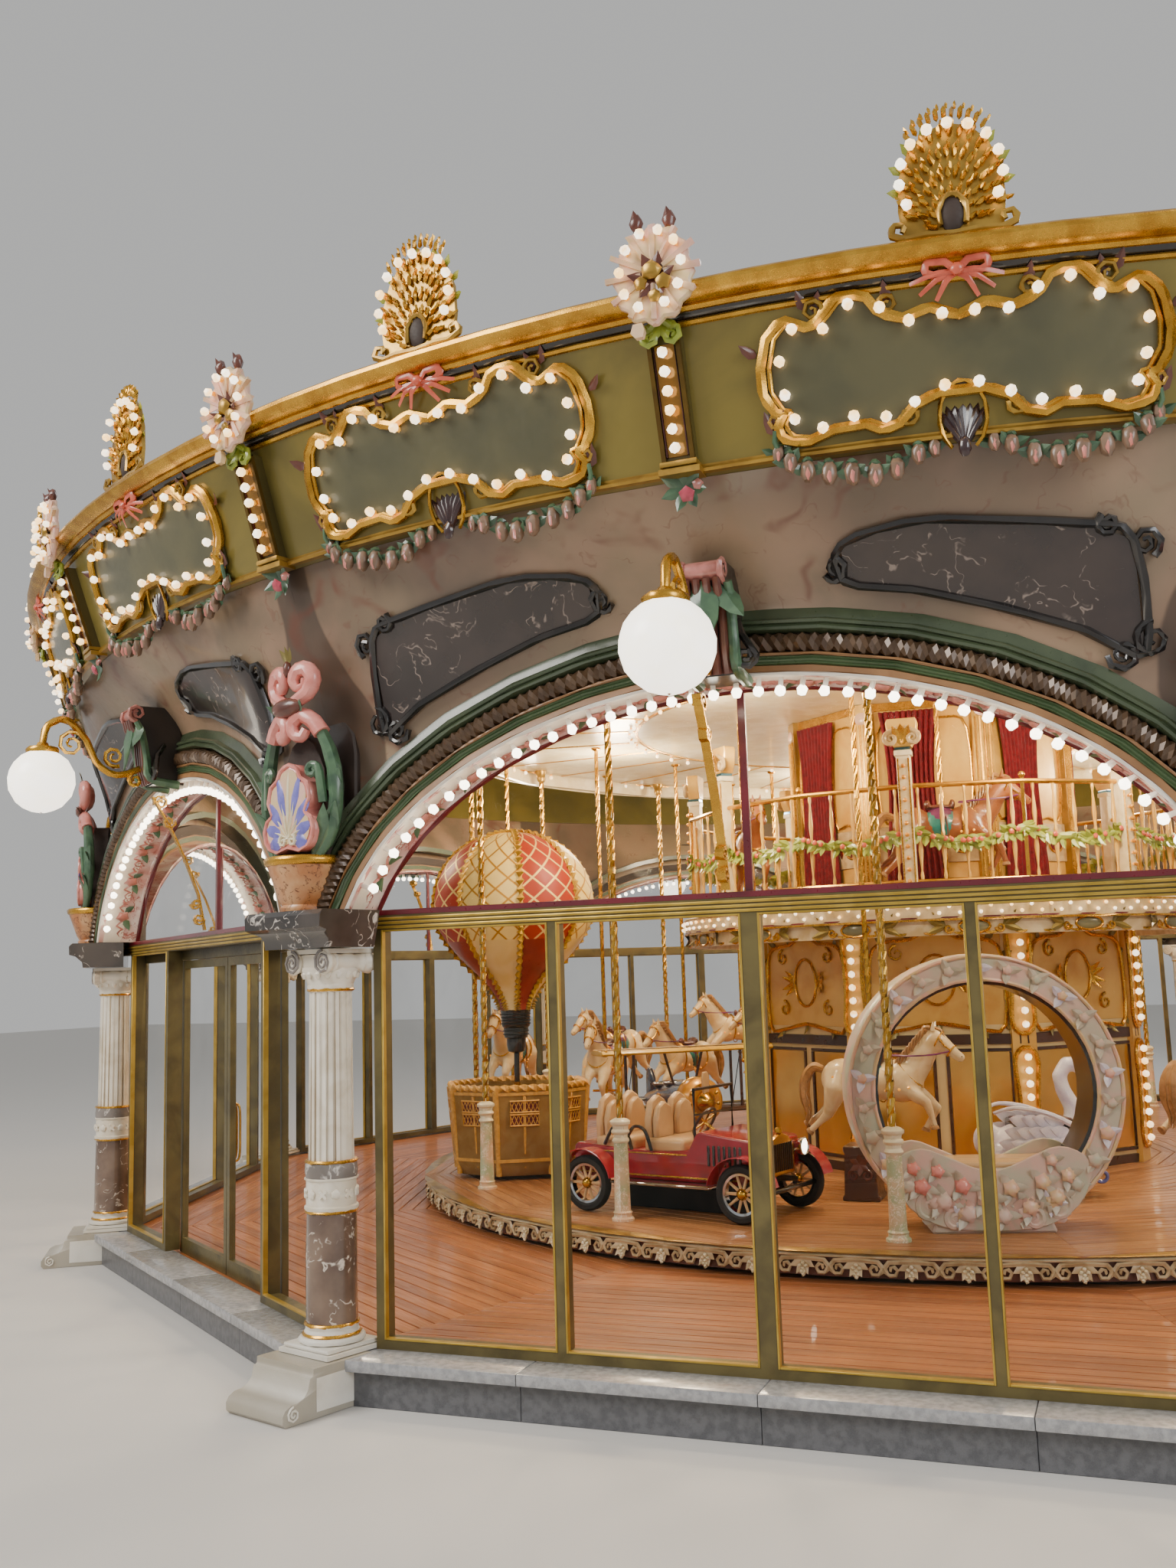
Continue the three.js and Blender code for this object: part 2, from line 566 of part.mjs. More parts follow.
// One carved horse, nose towards +X, hung on a pole at the origin; belly is the height of its girth
function makeHorse(belly, poleLow, poleHigh) {
  const leg = (side, thigh, knee, hoof) => {
    const points = [[thigh[0] - 75, thigh[1]], [knee[0] - 38, knee[1]], [hoof[0] - 36, hoof[1]],
      [hoof[0] + 40, hoof[1]], [knee[0] + 40, knee[1]], [thigh[0] + 75, thigh[1]]];
    const plate = new THREE.ExtrudeGeometry(outline(points), { depth: 72, bevelEnabled: false });
    plate.rotateX(Math.PI / 2);
    return solid(plate, at(0, side * 88 + 36, 0));
  };
  const carving = joined([
    limb([-440, 0, 190], [440, 0, 200], 185, 170, 6),
    limb([330, 0, 210], [600, 0, 580], 160, 85, 4),
    limb([545, 0, 570], [830, 0, 400], 100, 52, 4),
    leg(1, [340, 120], [560, -50], [440, -250]),
    leg(-1, [340, 120], [510, 10], [570, -210]),
    leg(1, [-340, 140], [-480, -80], [-690, -220]),
    leg(-1, [-340, 140], [-420, -100], [-610, -270]),
  ]).scale([HORSE_SCALE, HORSE_SCALE, HORSE_SCALE]).translate([0, 0, belly]);
  return carving.add(rod(POLE_RADIUS, poleLow, poleHigh, 4));
}

// A row of horses, joined above the canopy by the crank bar that lifts them
function makeHorseRow(row) {
  const horses = row.radii.map((radius, i) => {
    const belly = row.belly + 130 * i;
    return makeHorse(belly, belly - 240, HORSE_POLE_TOP).translate([0, -radius, 0]);
  });
  if (row.radii.length === 1) return horses[0];
  const [near, far] = row.radii;
  const bar = block([-30, -far - 40, HORSE_POLE_TOP - 60], [30, -near + 40, HORSE_POLE_TOP]);
  return joined([...horses, bar]);
}

// Balloon envelope with neck, burner and post; the basket below it
function makeEnvelope() {
  return revolved([
    [0, 1255], [28, 1255], [28, 1600], [125, 1640], [150, 1950], [300, 2180], [560, 2450], [740, 2700],
    [790, 2880], [740, 3180], [560, 3430], [300, 3590], [0, 3640],
  ], 12);
}

function makeBasket() {
  const cup = revolved([
    [0, 480], [600, 480], [650, 560], [690, 1240], [620, 1240], [580, 620], [0, 620],
  ], 8, 22.5);
  const pedestal = rod(240, PLATFORM_TOP + GAP, 500, 8);
  const column = rod(45, 600, 1255 - GAP, 6);
  return joined([cup, pedestal, column]);
}

// Open tourer: tub, bonnet, wings, two benches and spoked wheels; nose towards +X
function makeCar() {
  const base = PLATFORM_TOP;
  const body = sideOn([
    [-820, base + 250], [620, base + 250], [760, base + 330], [760, base + 560], [250, base + 620], [180, base + 480],
    [-880, base + 480], [-900, base + 330],
  ], 640);
  const turnedBody = body.transform([...turned(90).elements]);
  const bench = (x) => joined([
    block([x - 60, -310, base + 450], [x + 300, 310, base + 560]),
    block([x - 60, -310, base + 450], [x, 310, base + 880]),
  ]);
  const wheel = (x, y) => {
    const disc = new THREE.CylinderGeometry(210, 210, 90, 12);
    return solid(disc, at(x, y, base + GAP + 210));
  };
  const axle = (x) => limb([x, -440, base + 205], [x, 440, base + 205], 60, 60, 4);
  const strut = (x) => block([x - 40, -300, base + 200], [x + 40, 300, base + 300]);
  const screen = block([200, -280, base + 550], [225, 280, base + 930]);
  return joined([
    turnedBody, bench(-640), bench(-180), screen,
    ...[-690, 690].flatMap((x) => [axle(x), strut(x), wheel(x, -430), wheel(x, 430)]),
  ]);
}

// Small biplane on its pedestal; nose towards +X
function makePlane() {
  const base = PLATFORM_TOP;
  return joined([
    limb([-800, 0, base + 640], [330, 0, base + 720], 90, 190, 8),
    block([-130, -800, base + 1120], [190, 800, base + 1170]),
    block([-130, -760, base + 600], [190, 760, base + 650]),
    limb([30, -500, base + 630], [30, -500, base + 1140], 18, 18, 4),
    limb([30, 500, base + 630], [30, 500, base + 1140], 18, 18, 4),
    block([-860, -300, base + 650], [-680, 300, base + 690]),
    block([-860, -18, base + 600], [-690, 18, base + 950]),
    limb([0, 0, base + GAP], [0, 0, base + 640], 70, 55, 6),
    limb([320, 0, base + 730], [PROPELLER_START - 6, 0, base + 730], 185, 150, 8).subtract(
      limb([PROPELLER_START - 70, 0, base + 730], [PROPELLER_START, 0, base + 730], 20.9, 20.9, 12)),
  ]);
}

function makePropeller() {
  const z = PLATFORM_TOP + 730;
  return joined([
    limb([PROPELLER_START - 60, 0, z], [PROPELLER_START + 10, 0, z], 20, 20, 12),
    limb([PROPELLER_START, 0, z], [PROPELLER_START + 120, 0, z], 90, 30, 8),
    block([PROPELLER_START + 25, -45, z - 250], [PROPELLER_START + 45, 45, z + 250]),
  ]);
}

// Ring coach: a carved hoop seen face on, with a bench through it; the hoop's axis is along Y
function makeRingCoach() {
  const centre = PLATFORM_TOP + 945;
  const outer = 940;
  const inner = 740;
  const hoop = new THREE.LatheGeometry([
    [inner, -260], [outer - 40, -260], [outer, -150], [outer, 250], [inner + 60, 250], [inner, -260],
  ].map(([radius, depth]) => new THREE.Vector2(radius, depth)), 24);
  const base = block([-420, -240, PLATFORM_TOP + GAP], [420, 240, PLATFORM_TOP + 240]);
  const seat = block([-690, -230, PLATFORM_TOP + 330], [690, 230, PLATFORM_TOP + 470]);
  const opening = new THREE.CylinderGeometry(inner + 1, inner + 1, 2000, 24);
  const tub = base.subtract(solid(opening, at(0, 0, centre)));
  return joined([solid(hoop, at(0, 0, centre)), tub, seat]);
}

// Swan coach: boat-shaped body with a curved neck; nose towards +X
function makeSwan() {
  const base = PLATFORM_TOP;
  const route = new THREE.CatmullRomCurve3([
    [330, 380], [470, 580], [440, 780], [500, 920], [610, 890], [650, 780],
  ].map(([x, z]) => new THREE.Vector3(x, 0, base + z)));
  const section = new THREE.Shape(new THREE.EllipseCurve(0, 0, 46, 46).getPoints(5).slice(0, 5));
  const neck = solid(new THREE.ExtrudeGeometry(section, { steps: 8, extrudePath: route, bevelEnabled: false }));
  const hull = ellipsoid([500, 270, 270], [0, 0, base + 330], 10, 6);
  const well = block([-260, -180, base + 330], [210, 180, base + 900]);
  const foot = block([-240, -150, base + GAP], [240, 150, base + 140]);
  return joined([hull.subtract(well), neck, foot]);
}

function makeStep() {
  return sideOn([[-150, PLATFORM_TOP + GAP], [150, PLATFORM_TOP + GAP], [110, PLATFORM_TOP + 420],
    [-110, PLATFORM_TOP + 420]], 320);
}

// Assembly of the pavilion
add('floor', makeFloor(), COLOURS.planks);
add('curb', makeCurb(), COLOURS.granite);
const columnBody = makeColumn();
const bayBody = makeBay();
for (let i = 0; i < SIDES; i += 1) {
  add(`column_${i + 1}`, columnBody, COLOURS.white, groupAt(HALF_BAY + i * BAY_ANGLE));
  add(`arch_bay_${i + 1}`, bayBody, COLOURS.marble, groupAt(i * BAY_ANGLE));
}
Object.entries(FRAMES).forEach(([name, [first, last]]) => {
  add(name, makeFrame(first, last), COLOURS.bronze, model, 0.6);
});
Object.entries(LOWER_GLASS).forEach(([name, [first, last]]) => {
  add(name, makeLowerGlass(first, last), COLOURS.glass);
});
add('lunette_glass', makeLunetteGlass(), COLOURS.glass);
[['left', -1], ['right', 1]].forEach(([name, side]) => {
  const { leaf, pane } = makeLeaf(side);
  const group = groupAt(DOOR_BAY * BAY_ANGLE);
  add(`door_leaf_${name}`, leaf, COLOURS.bronze, group, 0.6);
  add(`door_pane_${name}`, pane, COLOURS.glass, group);
});
add('cornice', makeCornice(), COLOURS.olive);
add('roof', makeRoof(), COLOURS.roof);
add('mast', makeMast(), COLOURS.cream);

// Assembly of the carousel
add('platform', makePlatform(), COLOURS.planks);
add('lower_core', makeDrum(CORE_RADIUS, PLATFORM_TOP + GAP, CORE_TOP, 60, 160), COLOURS.cream);
add('upper_deck', makeUpperDeck(), COLOURS.gold);
add('upper_railing', makeUpperRailing(), COLOURS.brass, model, 0.7);
add('upper_core', makeDrum(UPPER_CORE_RADIUS, DECK_TOP + GAP, CANOPY_UNDERSIDE - GAP, 60, 200), COLOURS.cream);
add('canopy', makeCanopy(), COLOURS.gold);
HORSE_ROWS.forEach((row, i) => {
  add(`horse_row_${i + 1}`, makeHorseRow(row), COLOURS.cream, groupAt(row.azimuth));
});
UPPER_HORSES.forEach((azimuth, i) => {
  const horse = makeHorse(DECK_TOP + 500, DECK_TOP + GAP, CANOPY_UNDERSIDE - GAP);
  add(`upper_horse_${i + 1}`, horse.translate([0, -UPPER_HORSE_RADIUS, 0]), COLOURS.chestnut, groupAt(azimuth));
});

const balloon = groupAt(BALLOON.azimuth);
const balloonPlace = [...at(0, -BALLOON.radius, 0).elements];
add('balloon_envelope', makeEnvelope().transform(balloonPlace), COLOURS.cream, balloon);
add('balloon_basket', makeBasket().transform(balloonPlace), COLOURS.wicker, balloon);

// Places one rider by plan position and heading, in degrees from +X.
function placed(body, [x, y, heading]) {
  return body.transform([...at(x, y, 0).multiply(turned(heading)).elements]);
}
add('tourer_car', placed(makeCar(), CAR_PLACE), COLOURS.red);
add('biplane', placed(makePlane(), PLANE_PLACE), COLOURS.navy);
add('propeller', placed(makePropeller(), PLANE_PLACE), COLOURS.brass);
add('ring_coach', placed(makeRingCoach(), RING_PLACE), COLOURS.pink);
add('swan_coach', placed(makeSwan(), SWAN_PLACE), COLOURS.white);
add('carved_step', placed(makeStep(), STEP_PLACE), COLOURS.walnut);

export default model;
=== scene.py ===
import math
import random

import bmesh
import bpy
from bpy.props import FloatProperty, FloatVectorProperty, PointerProperty
from mathutils import Matrix, Vector


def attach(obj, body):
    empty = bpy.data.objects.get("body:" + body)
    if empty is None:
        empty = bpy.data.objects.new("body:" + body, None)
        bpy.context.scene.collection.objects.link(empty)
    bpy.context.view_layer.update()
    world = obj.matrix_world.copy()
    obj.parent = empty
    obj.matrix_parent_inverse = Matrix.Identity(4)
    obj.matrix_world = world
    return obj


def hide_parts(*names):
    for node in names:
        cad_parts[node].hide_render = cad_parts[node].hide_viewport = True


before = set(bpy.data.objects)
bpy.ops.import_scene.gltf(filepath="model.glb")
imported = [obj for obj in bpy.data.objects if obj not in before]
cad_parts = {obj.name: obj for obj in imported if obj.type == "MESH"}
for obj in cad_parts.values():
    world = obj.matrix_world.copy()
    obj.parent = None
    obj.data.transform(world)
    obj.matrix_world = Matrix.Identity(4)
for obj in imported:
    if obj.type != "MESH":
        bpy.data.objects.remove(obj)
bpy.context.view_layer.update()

bl_info = {
    "name": "Fairground Carousel Pavilion",
    "version": (1, 0, 0),
    "blender": (4, 5, 0),
    "location": "View3D > Sidebar > Carousel",
    "description": "Dresses a double-deck carousel and the glazed ten-sided pavilion around it",
    "category": "Add Mesh",
}

TURN = math.tau
UP = Vector((0, 0, 1))

# Pavilion, in metres
BAYS = 10
HALF_BAY = 18.0
JOINT = 0.004
CURB_INNER = 7.350
COPING_OUTER = 7.671
RISER_OUTER = 7.614
COPING_TOP = 0.246
RISER_TOP = 0.186
FLOOR_TOP = 0.220
FRAME_FACE = 7.421
TRANSOM = (2.518, 2.630)
COLUMN_LINE = 7.875
CORNER_LINE = 7.862
WALL_APOTHEM = 7.640
WALL_TOP = 4.570
WALL_TOP_LINE = 8.180
COVE_START = 3.450
ARCH_Z = 2.260
ARCH_HALF = 2.270
ARCH_RISE = 1.430
ARCH_BAND = 0.345
NICHE_TOP = 3.540
GLOBE_RADIUS = 0.220
PANELS = 20
CORNICE_FOOT = (8.250, 4.5703)
CORNICE_HEAD = (8.470, 5.270)

# Carousel, in metres
DECK_HEIGHT = 0.420
CORE_RADIUS = 1.850
CORE_PHASE = 17
UPPER_CORE_RADIUS = 1.400
UPPER_FLOOR = 2.760
RAIL_RADIUS = 2.470
RAILS = (2.930, 3.745)
CANOPY_BOTTOM = 4.700
POSTS = 14
POST_RADIUS = 4.760
POST_PHASE = -2.6
POLE_TOP = 5.060

# Share of the triangles kept in carved work
KEPT_BAY = 0.38
KEPT_CORNICE = 0.34
KEPT_CARTOUCHES = 0.33
KEPT_DECKS = 0.45
KEPT_CORE = 0.50
KEPT_SMALL = 0.55
KEPT_COACH = 0.60

HORSE_SCALE = 0.88
HORSE_ROWS = (
    (84, (3.52, 4.56), 1.16), (112, (3.36, 4.48), 1.08), (138, (3.36, 4.48), 1.20), (190, (3.36, 4.48), 1.10),
    (242, (3.36, 4.48), 1.18), (316, (3.45, 4.48), 1.14), (5.5, (2.72,), 1.13),
)
UPPER_HORSES = (60, 180, 350)
UPPER_HORSE_RADIUS = 1.98
BALLOON = (60, 4.3)
CAR_PLACE = (-1.500, -3.800, -14.7)
PLANE_PLACE = (-1.950, -2.550, -50)
RING_PLACE = (0.730, -4.130, 16)
SWAN_PLACE = (1.050, -2.740, 21)
STEP_PLACE = (-0.310, -3.080, 0)


def spun(azimuth):
    """Turns a shape drawn facing the front to an azimuth, positive towards the left."""
    return Matrix.Rotation(-math.radians(azimuth), 4, "Z")


def moved(x, y, z):
    return Matrix.Translation((x, y, z))


def turned(axis, degrees):
    return Matrix.Rotation(math.radians(degrees), 4, axis)


def sized(x, y=None, z=None):
    return Matrix.Diagonal((x, x if y is None else y, x if z is None else z, 1))


def placed(x, y, heading):
    return moved(x, y, 0) @ turned("Z", heading)


def around(count, phase=0.0):
    return [spun(phase + i * 360 / count) for i in range(count)]


def facing(origin, direction, up=UP):
    """Places a shape drawn with its face towards +Z at a point, looking along a direction."""
    z = Vector(direction).normalized()
    x = Vector(up).cross(z)
    x = x.normalized() if x.length > 1e-6 else Vector((1, 0, 0))
    y = z.cross(x)
    turn = Matrix((x, y, z)).transposed().to_4x4()
    return Matrix.Translation(Vector(origin)) @ turn


def blended(low, high, share):
    return low + (high - low) * share


def eased(value, low, high):
    share = min(max((value - low) / (high - low), 0), 1)
    return share * share * (3 - 2 * share)


def curve(points, steps, closed=False):
    """Smooth run of points through the given ones."""
    points = [Vector(p) for p in points]
    count = len(points)
    spans = count if closed else count - 1
    line = []
    for i in range(spans):
        near = [points[(i + k) % count] if closed else points[min(max(i + k, 0),
                                                                  count - 1)] for k in (-1, 0, 1, 2)]
        a, b, c, d = near
        for j in range(steps):
            t = j / steps
            line.append(0.5 * (2 * b + (c - a) * t + (2 * a - 5 * b + 4 * c - d) * t * t
                               + (3 * b - a - 3 * c + d) * t ** 3))
    if not closed:
        line.append(points[-1])
    return line


def spiral(centre, outer, inner, start, turns, steps):
    """Flat spiral of (x, z) points running inwards."""
    line = []
    for i in range(steps + 1):
        share = i / steps
        radius = blended(outer, inner, share)
        angle = math.radians(start) + turns * TURN * share
        line.append(Vector((centre[0] + radius * math.cos(angle), centre[1] + radius * math.sin(angle))))
    return line


def circle(radius, count, flat=1.0):
    return [(radius * math.cos(TURN * i / count),
             radius * flat * math.sin(TURN * i / count)) for i in range(count)]


# Shapes: each returns a bmesh that a piece then takes in

def soften(shape, width, segments=1, angle=0.5):
    edges = [e for e in shape.edges if len(e.link_faces) == 2 and e.calc_face_angle() > angle]
    bmesh.ops.bevel(shape, geom=edges, offset=width, affect="EDGES", segments=segments, profile=0.5,
                    material=-1, clamp_overlap=True)
    return shape


def moulded(shape, matrix):
    bmesh.ops.transform(shape, matrix=matrix, verts=shape.verts)
    return shape


def outward(shape):
    bmesh.ops.recalc_face_normals(shape, faces=shape.faces)
    return shape


def block(low, high, bevel=0.0, segments=1):
    shape = bmesh.new()
    low, high = Vector(low), Vector(high)
    size = high - low
    bmesh.ops.create_cube(shape, size=1, matrix=Matrix.Translation((low + high) / 2) @ sized(*size))
    return soften(shape, bevel, segments) if bevel else shape


def ball(centre, radii, across=10, down=6, turn=None):
    shape = bmesh.new()
    radii = (radii,) * 3 if isinstance(radii, (int, float)) else radii
    matrix = Matrix.Translation(Vector(centre)) @ (turn or Matrix()) @ sized(*radii)
    bmesh.ops.create_uvsphere(shape, u_segments=across, v_segments=down, radius=1, matrix=matrix)
    return shape


def bar(start, end, radius, radius_end=None, sides=8, bevel=0.0):
    """Round bar between two points."""
    start, end = Vector(start), Vector(end)
    shape = bmesh.new()
    along = end - start
    turn = Vector((0, 0, 1)).rotation_difference(along).to_matrix().to_4x4()
    bmesh.ops.create_cone(shape, cap_ends=True, cap_tris=False, segments=sides, radius1=radius,
                          radius2=radius if radius_end is None else radius_end, depth=along.length,
                          matrix=Matrix.Translation((start + end) / 2) @ turn)
    return soften(shape, bevel) if bevel else shape


def lathe(profile, steps, closed=False, turn=TURN, start=0.0):
    """Spins an (r, z) profile about Z."""
    shape = bmesh.new()
    verts = [shape.verts.new((r, 0, z)) for r, z in profile]
    pairs = list(zip(verts, verts[1:])) + ([(verts[-1], verts[0])] if closed else [])
    edges = [shape.edges.new(pair) for pair in pairs]
    if start:
        bmesh.ops.rotate(shape, cent=(0, 0, 0), matrix=Matrix.Rotation(start, 3, "Z"), verts=verts)
    full = abs(turn - TURN) < 1e-6
    bmesh.ops.spin(shape, geom=verts + edges, cent=(0, 0, 0), axis=(0, 0, 1), angle=turn, steps=steps,
                   use_merge=full, use_normal_flip=False, use_duplicate=False)
    bmesh.ops.remove_doubles(shape, verts=shape.verts, dist=1e-5)
    if not full:
        bmesh.ops.holes_fill(shape, edges=[e for e in shape.edges if e.is_boundary], sides=0)
    return outward(shape)


def prism(outline, low, high, bevel=0.0, segments=1):
    """Raises an (x, y) outline from one height to another."""
    shape = bmesh.new()
    face = shape.faces.new([shape.verts.new((x, y, low)) for x, y in outline])
    made = bmesh.ops.extrude_face_region(shape, geom=[face], use_keep_orig=True)
    lifted = [g for g in made["geom"] if isinstance(g, bmesh.types.BMVert)]
    bmesh.ops.translate(shape, vec=(0, 0, high - low), verts=lifted)
    outward(shape)
    return soften(shape, bevel, segments) if bevel else shape


# Turns a prism's (x, y) into (across, up) and its height into the distance out of the pavilion
TO_FRONT = Matrix(((1, 0, 0, 0), (0, 0, -1, 0), (0, 1, 0, 0), (0, 0, 0, 1)))
# Turns a prism's (x, y) into (distance out, up) and its height into the distance across
TO_SIDE = Matrix(((0, 0, 1, 0), (-1, 0, 0, 0), (0, 1, 0, 0), (0, 0, 0, 1)))


def plate(outline, inner, outer, bevel=0.0):
    return moulded(prism(outline, inner, outer, bevel), TO_FRONT)


def side_cut(outline, half_width, bevel=0.0, segments=1):
    return moulded(prism(outline, -half_width, half_width, bevel, segments), TO_SIDE)


def sweep(section, path, closed=False, twist=0.0, widths=None, normal=None):
    """Carries a closed (x, y) section along a path, with turns of twist in all and a width at each point."""
    path = [Vector(p) for p in path]
    count = len(path)
    if closed:
        path = path + [path[0]]
    total = len(path)
    places = []
    side = None
    for i, point in enumerate(path):
        if closed:
            ahead = path[(i + 1) % count] - path[(i - 1) % count]
        else:
            ahead = path[min(i + 1, total - 1)] - path[max(i - 1, 0)]
        ahead.normalize()
        if side is None:
            guide = Vector(normal) if normal is not None else (UP if abs(ahead.z) < 0.9
                                                               else Vector((0, 1, 0)))
            side = (guide - ahead * guide.dot(ahead)).normalized()
        else:
            side = (side - ahead * side.dot(ahead)).normalized()
        cross = ahead.cross(side)
        width = widths(i / (total - 1)) if widths else 1.0
        turn = Matrix((side, cross, ahead)).transposed().to_4x4()
        spin = Matrix.Rotation(twist * TURN * i / (total - 1), 4, "Z")
        places.append(Matrix.Translation(point) @ turn @ spin @ sized(width, width, 1))
    shape = bmesh.new()
    ring = [shape.verts.new(places[0] @ Vector((x, y, 0))) for x, y in section]
    edges = [shape.edges.new((ring[i], ring[(i + 1) % len(ring)])) for i in range(len(ring))]
    if not closed:
        shape.faces.new(ring)
    for before, after in zip(places, places[1:]):
        made = bmesh.ops.extrude_edge_only(shape, edges=edges)["geom"]
        ring = [g for g in made if isinstance(g, bmesh.types.BMVert)]
        fresh = set(ring)
        edges = [g for g in made if isinstance(g, bmesh.types.BMEdge) and g.verts[0] in fresh
                 and g.verts[1] in fresh]
        bmesh.ops.transform(shape, matrix=after @ before.inverted(), verts=ring)
    if closed:
        bmesh.ops.remove_doubles(shape, verts=shape.verts, dist=2e-4)
    else:
        bmesh.ops.contextual_create(shape, geom=edges)
    return outward(shape)


def tube(path, radius, sides=6, closed=False, widths=None, flat=1.0):
    return sweep(circle(radius, sides, flat), path, closed=closed, widths=widths)


def tapering(end=0.3):
    return lambda share: blended(1.0, end, share)


def bent_grid(columns, rows, place):
    """Sheet of faces whose points sit where place(u, v) says, for u and v from 0 to 1."""
    shape = bmesh.new()
    bmesh.ops.create_grid(shape, x_segments=columns, y_segments=rows, size=0.5)
    for vert in shape.verts:
        vert.co = place(vert.co.x + 0.5, vert.co.y + 0.5)
    return shape


def leaf(length, width, curl=0.3, cup=0.25, rows=6):
    """Pointed leaf or petal along +Y from the origin, face towards +Z."""
    def place(u, v):
        across = (u - 0.5) * 2
        half = width * math.sin(math.pi * min(0.06 + v * 0.94, 1) ** 0.8) ** 0.9
        rise = curl * length * v * v - cup * abs(across) * half
        return Vector((across * half, length * v, rise))
    shape = bent_grid(2, rows, place)
    made = bmesh.ops.extrude_face_region(shape, geom=list(shape.faces), use_keep_orig=True)
    lower = [g for g in made["geom"] if isinstance(g, bmesh.types.BMVert)]
    bmesh.ops.translate(shape, vec=(0, 0, -0.12 * width), verts=lower)
    bmesh.ops.remove_doubles(shape, verts=shape.verts, dist=1e-4)
    return outward(shape)


def rose(radius):
    """Full bloom facing +Z, in four rows of petals."""
    rows = ((0.55, -0.10, 0), (1.0, 0.12, 0.0), (0.78, 0.40, 0.5), (0.46, 0.52, 0.0), (0.16, 0.50, 0.5))
    shape = bmesh.new()
    rings = []
    for width, height, phase in rows:
        ring = []
        for i in range(10):
            ripple = 1 + 0.16 * math.cos(math.pi * (i + phase * 2))
            angle = TURN * i / 10
            ring.append(shape.verts.new((radius * width * ripple * math.cos(angle),
                                         radius * width * ripple * math.sin(angle), radius * height)))
        rings.append([shape.edges.new((ring[i], ring[(i + 1) % 10])) for i in range(10)])
    for lower, upper in zip(rings, rings[1:]):
        bmesh.ops.bridge_loops(shape, edges=lower + upper)
    bmesh.ops.contextual_create(shape, geom=rings[0])
    bmesh.ops.contextual_create(shape, geom=rings[-1])
    return outward(shape)


def through(mesh, *modifiers):
    """Runs a mesh through modifiers, each a kind and its values, and gives the result as a shape."""
    mass = bpy.data.objects.new("mass", mesh)
    bpy.context.scene.collection.objects.link(mass)
    for kind, values in modifiers:
        modifier = mass.modifiers.new(kind.title(), kind)
        for key, value in values.items():
            setattr(modifier, key, value)
    made = bpy.data.meshes.new_from_object(mass.evaluated_get(bpy.context.evaluated_depsgraph_get()))
    shape = bmesh.new()
    shape.from_mesh(made)
    bpy.data.objects.remove(mass)
    bpy.data.meshes.remove(mesh)
    bpy.data.meshes.remove(made)
    return shape


class Piece:
    """A named piece in the making: shapes in several finishes, joined in one mesh."""

    def __init__(self, name):
        self.name = name
        self.bm = bmesh.new()
        self.finishes = []

    def index(self, finish):
        if finish not in self.finishes:
            self.finishes.append(finish)
        return self.finishes.index(finish)

    def take(self, mesh, places):
        for place in places or (Matrix(),):
            copy = mesh.copy()
            copy.transform(place)
            if place.determinant() < 0:
                copy.flip_normals()
            self.bm.from_mesh(copy)
            bpy.data.meshes.remove(copy)
        bpy.data.meshes.remove(mesh)
        return self

    def add(self, shape, finish, *places):
        """Takes in a shape in one finish, once for each place."""
        number = self.index(finish)
        for face in shape.faces:
            face.material_index = number
        mesh = bpy.data.meshes.new("shape")
        shape.to_mesh(mesh)
        shape.free()
        return self.take(mesh, places)

    def join(self, other, *places):
        """Takes in another piece, once for each place, and leaves it as it is."""
        mesh = bpy.data.meshes.new("shape")
        numbers = [self.index(finish) for finish in other.finishes]
        whole = other.bm.copy()
        for face in whole.faces:
            face.material_index = numbers[face.material_index]
        whole.to_mesh(mesh)
        whole.free()
        return self.take(mesh, places)

    def thin(self, share):
        """Keeps about a share of the triangles, taken where the shape is flattest."""
        mesh = bpy.data.meshes.new("thick")
        self.bm.to_mesh(mesh)
        self.bm.free()
        for finish in self.finishes:
            mesh.materials.append(finish_named(finish))
        self.bm = through(mesh, ("DECIMATE", {"ratio": share}))
        return self

    def object(self, body, slot, replaces=(), angle=38.0):
        """Makes the object, on a body; the slot argument is not used."""
        mesh = bpy.data.meshes.new(self.name)
        self.bm.to_mesh(mesh)
        self.bm.free()
        for finish in self.finishes:
            mesh.materials.append(finish_named(finish))
        mesh.shade_smooth()
        mesh.set_sharp_from_angle(angle=math.radians(angle))
        made = bpy.data.objects.new(self.name, mesh)
        bpy.context.scene.collection.objects.link(made)
        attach(made, body)
        if replaces:
            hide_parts(*replaces)
        return made


def finish_node(name, finish):
    """Gives a carried-over node its finish, and leaves its mesh alone."""
    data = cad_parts[name].data
    data.materials.clear()
    data.materials.append(finish_named(finish))


# Finishes: shared effects as node groups, then one recipe per finish

def node(tree, kind, inputs=None, **settings):
    made = tree.nodes.new(kind)
    for key, value in settings.items():
        setattr(made, key, value)
    for key, value in (inputs or {}).items():
        if isinstance(value, bpy.types.NodeSocket):
            tree.links.new(value, made.inputs[key])
        else:
            made.inputs[key].default_value = value
    return made


def maths(tree, operation, a, b=0.0, clamp=False):
    return node(tree, "ShaderNodeMath", {0: a, 1: b}, operation=operation, use_clamp=clamp).outputs[0]


def mixed(tree, factor, a, b):
    made = node(tree, "ShaderNodeMix", {0: factor, 6: a, 7: b}, data_type="RGBA")
    return made.outputs[2]


def stepped(tree, value, low, high):
    return node(tree, "ShaderNodeMapRange", {0: value, 1: low, 2: high},
                interpolation_type="SMOOTHSTEP").outputs[0]


def colour(code, alpha=1.0):
    """Linear colour of a six-digit code."""
    parts = [int(code[i:i + 2], 16) / 255 for i in (0, 2, 4)]
    return (*[p / 12.92 if p <= 0.04045 else ((p + 0.055) / 1.055) ** 2.4 for p in parts], alpha)


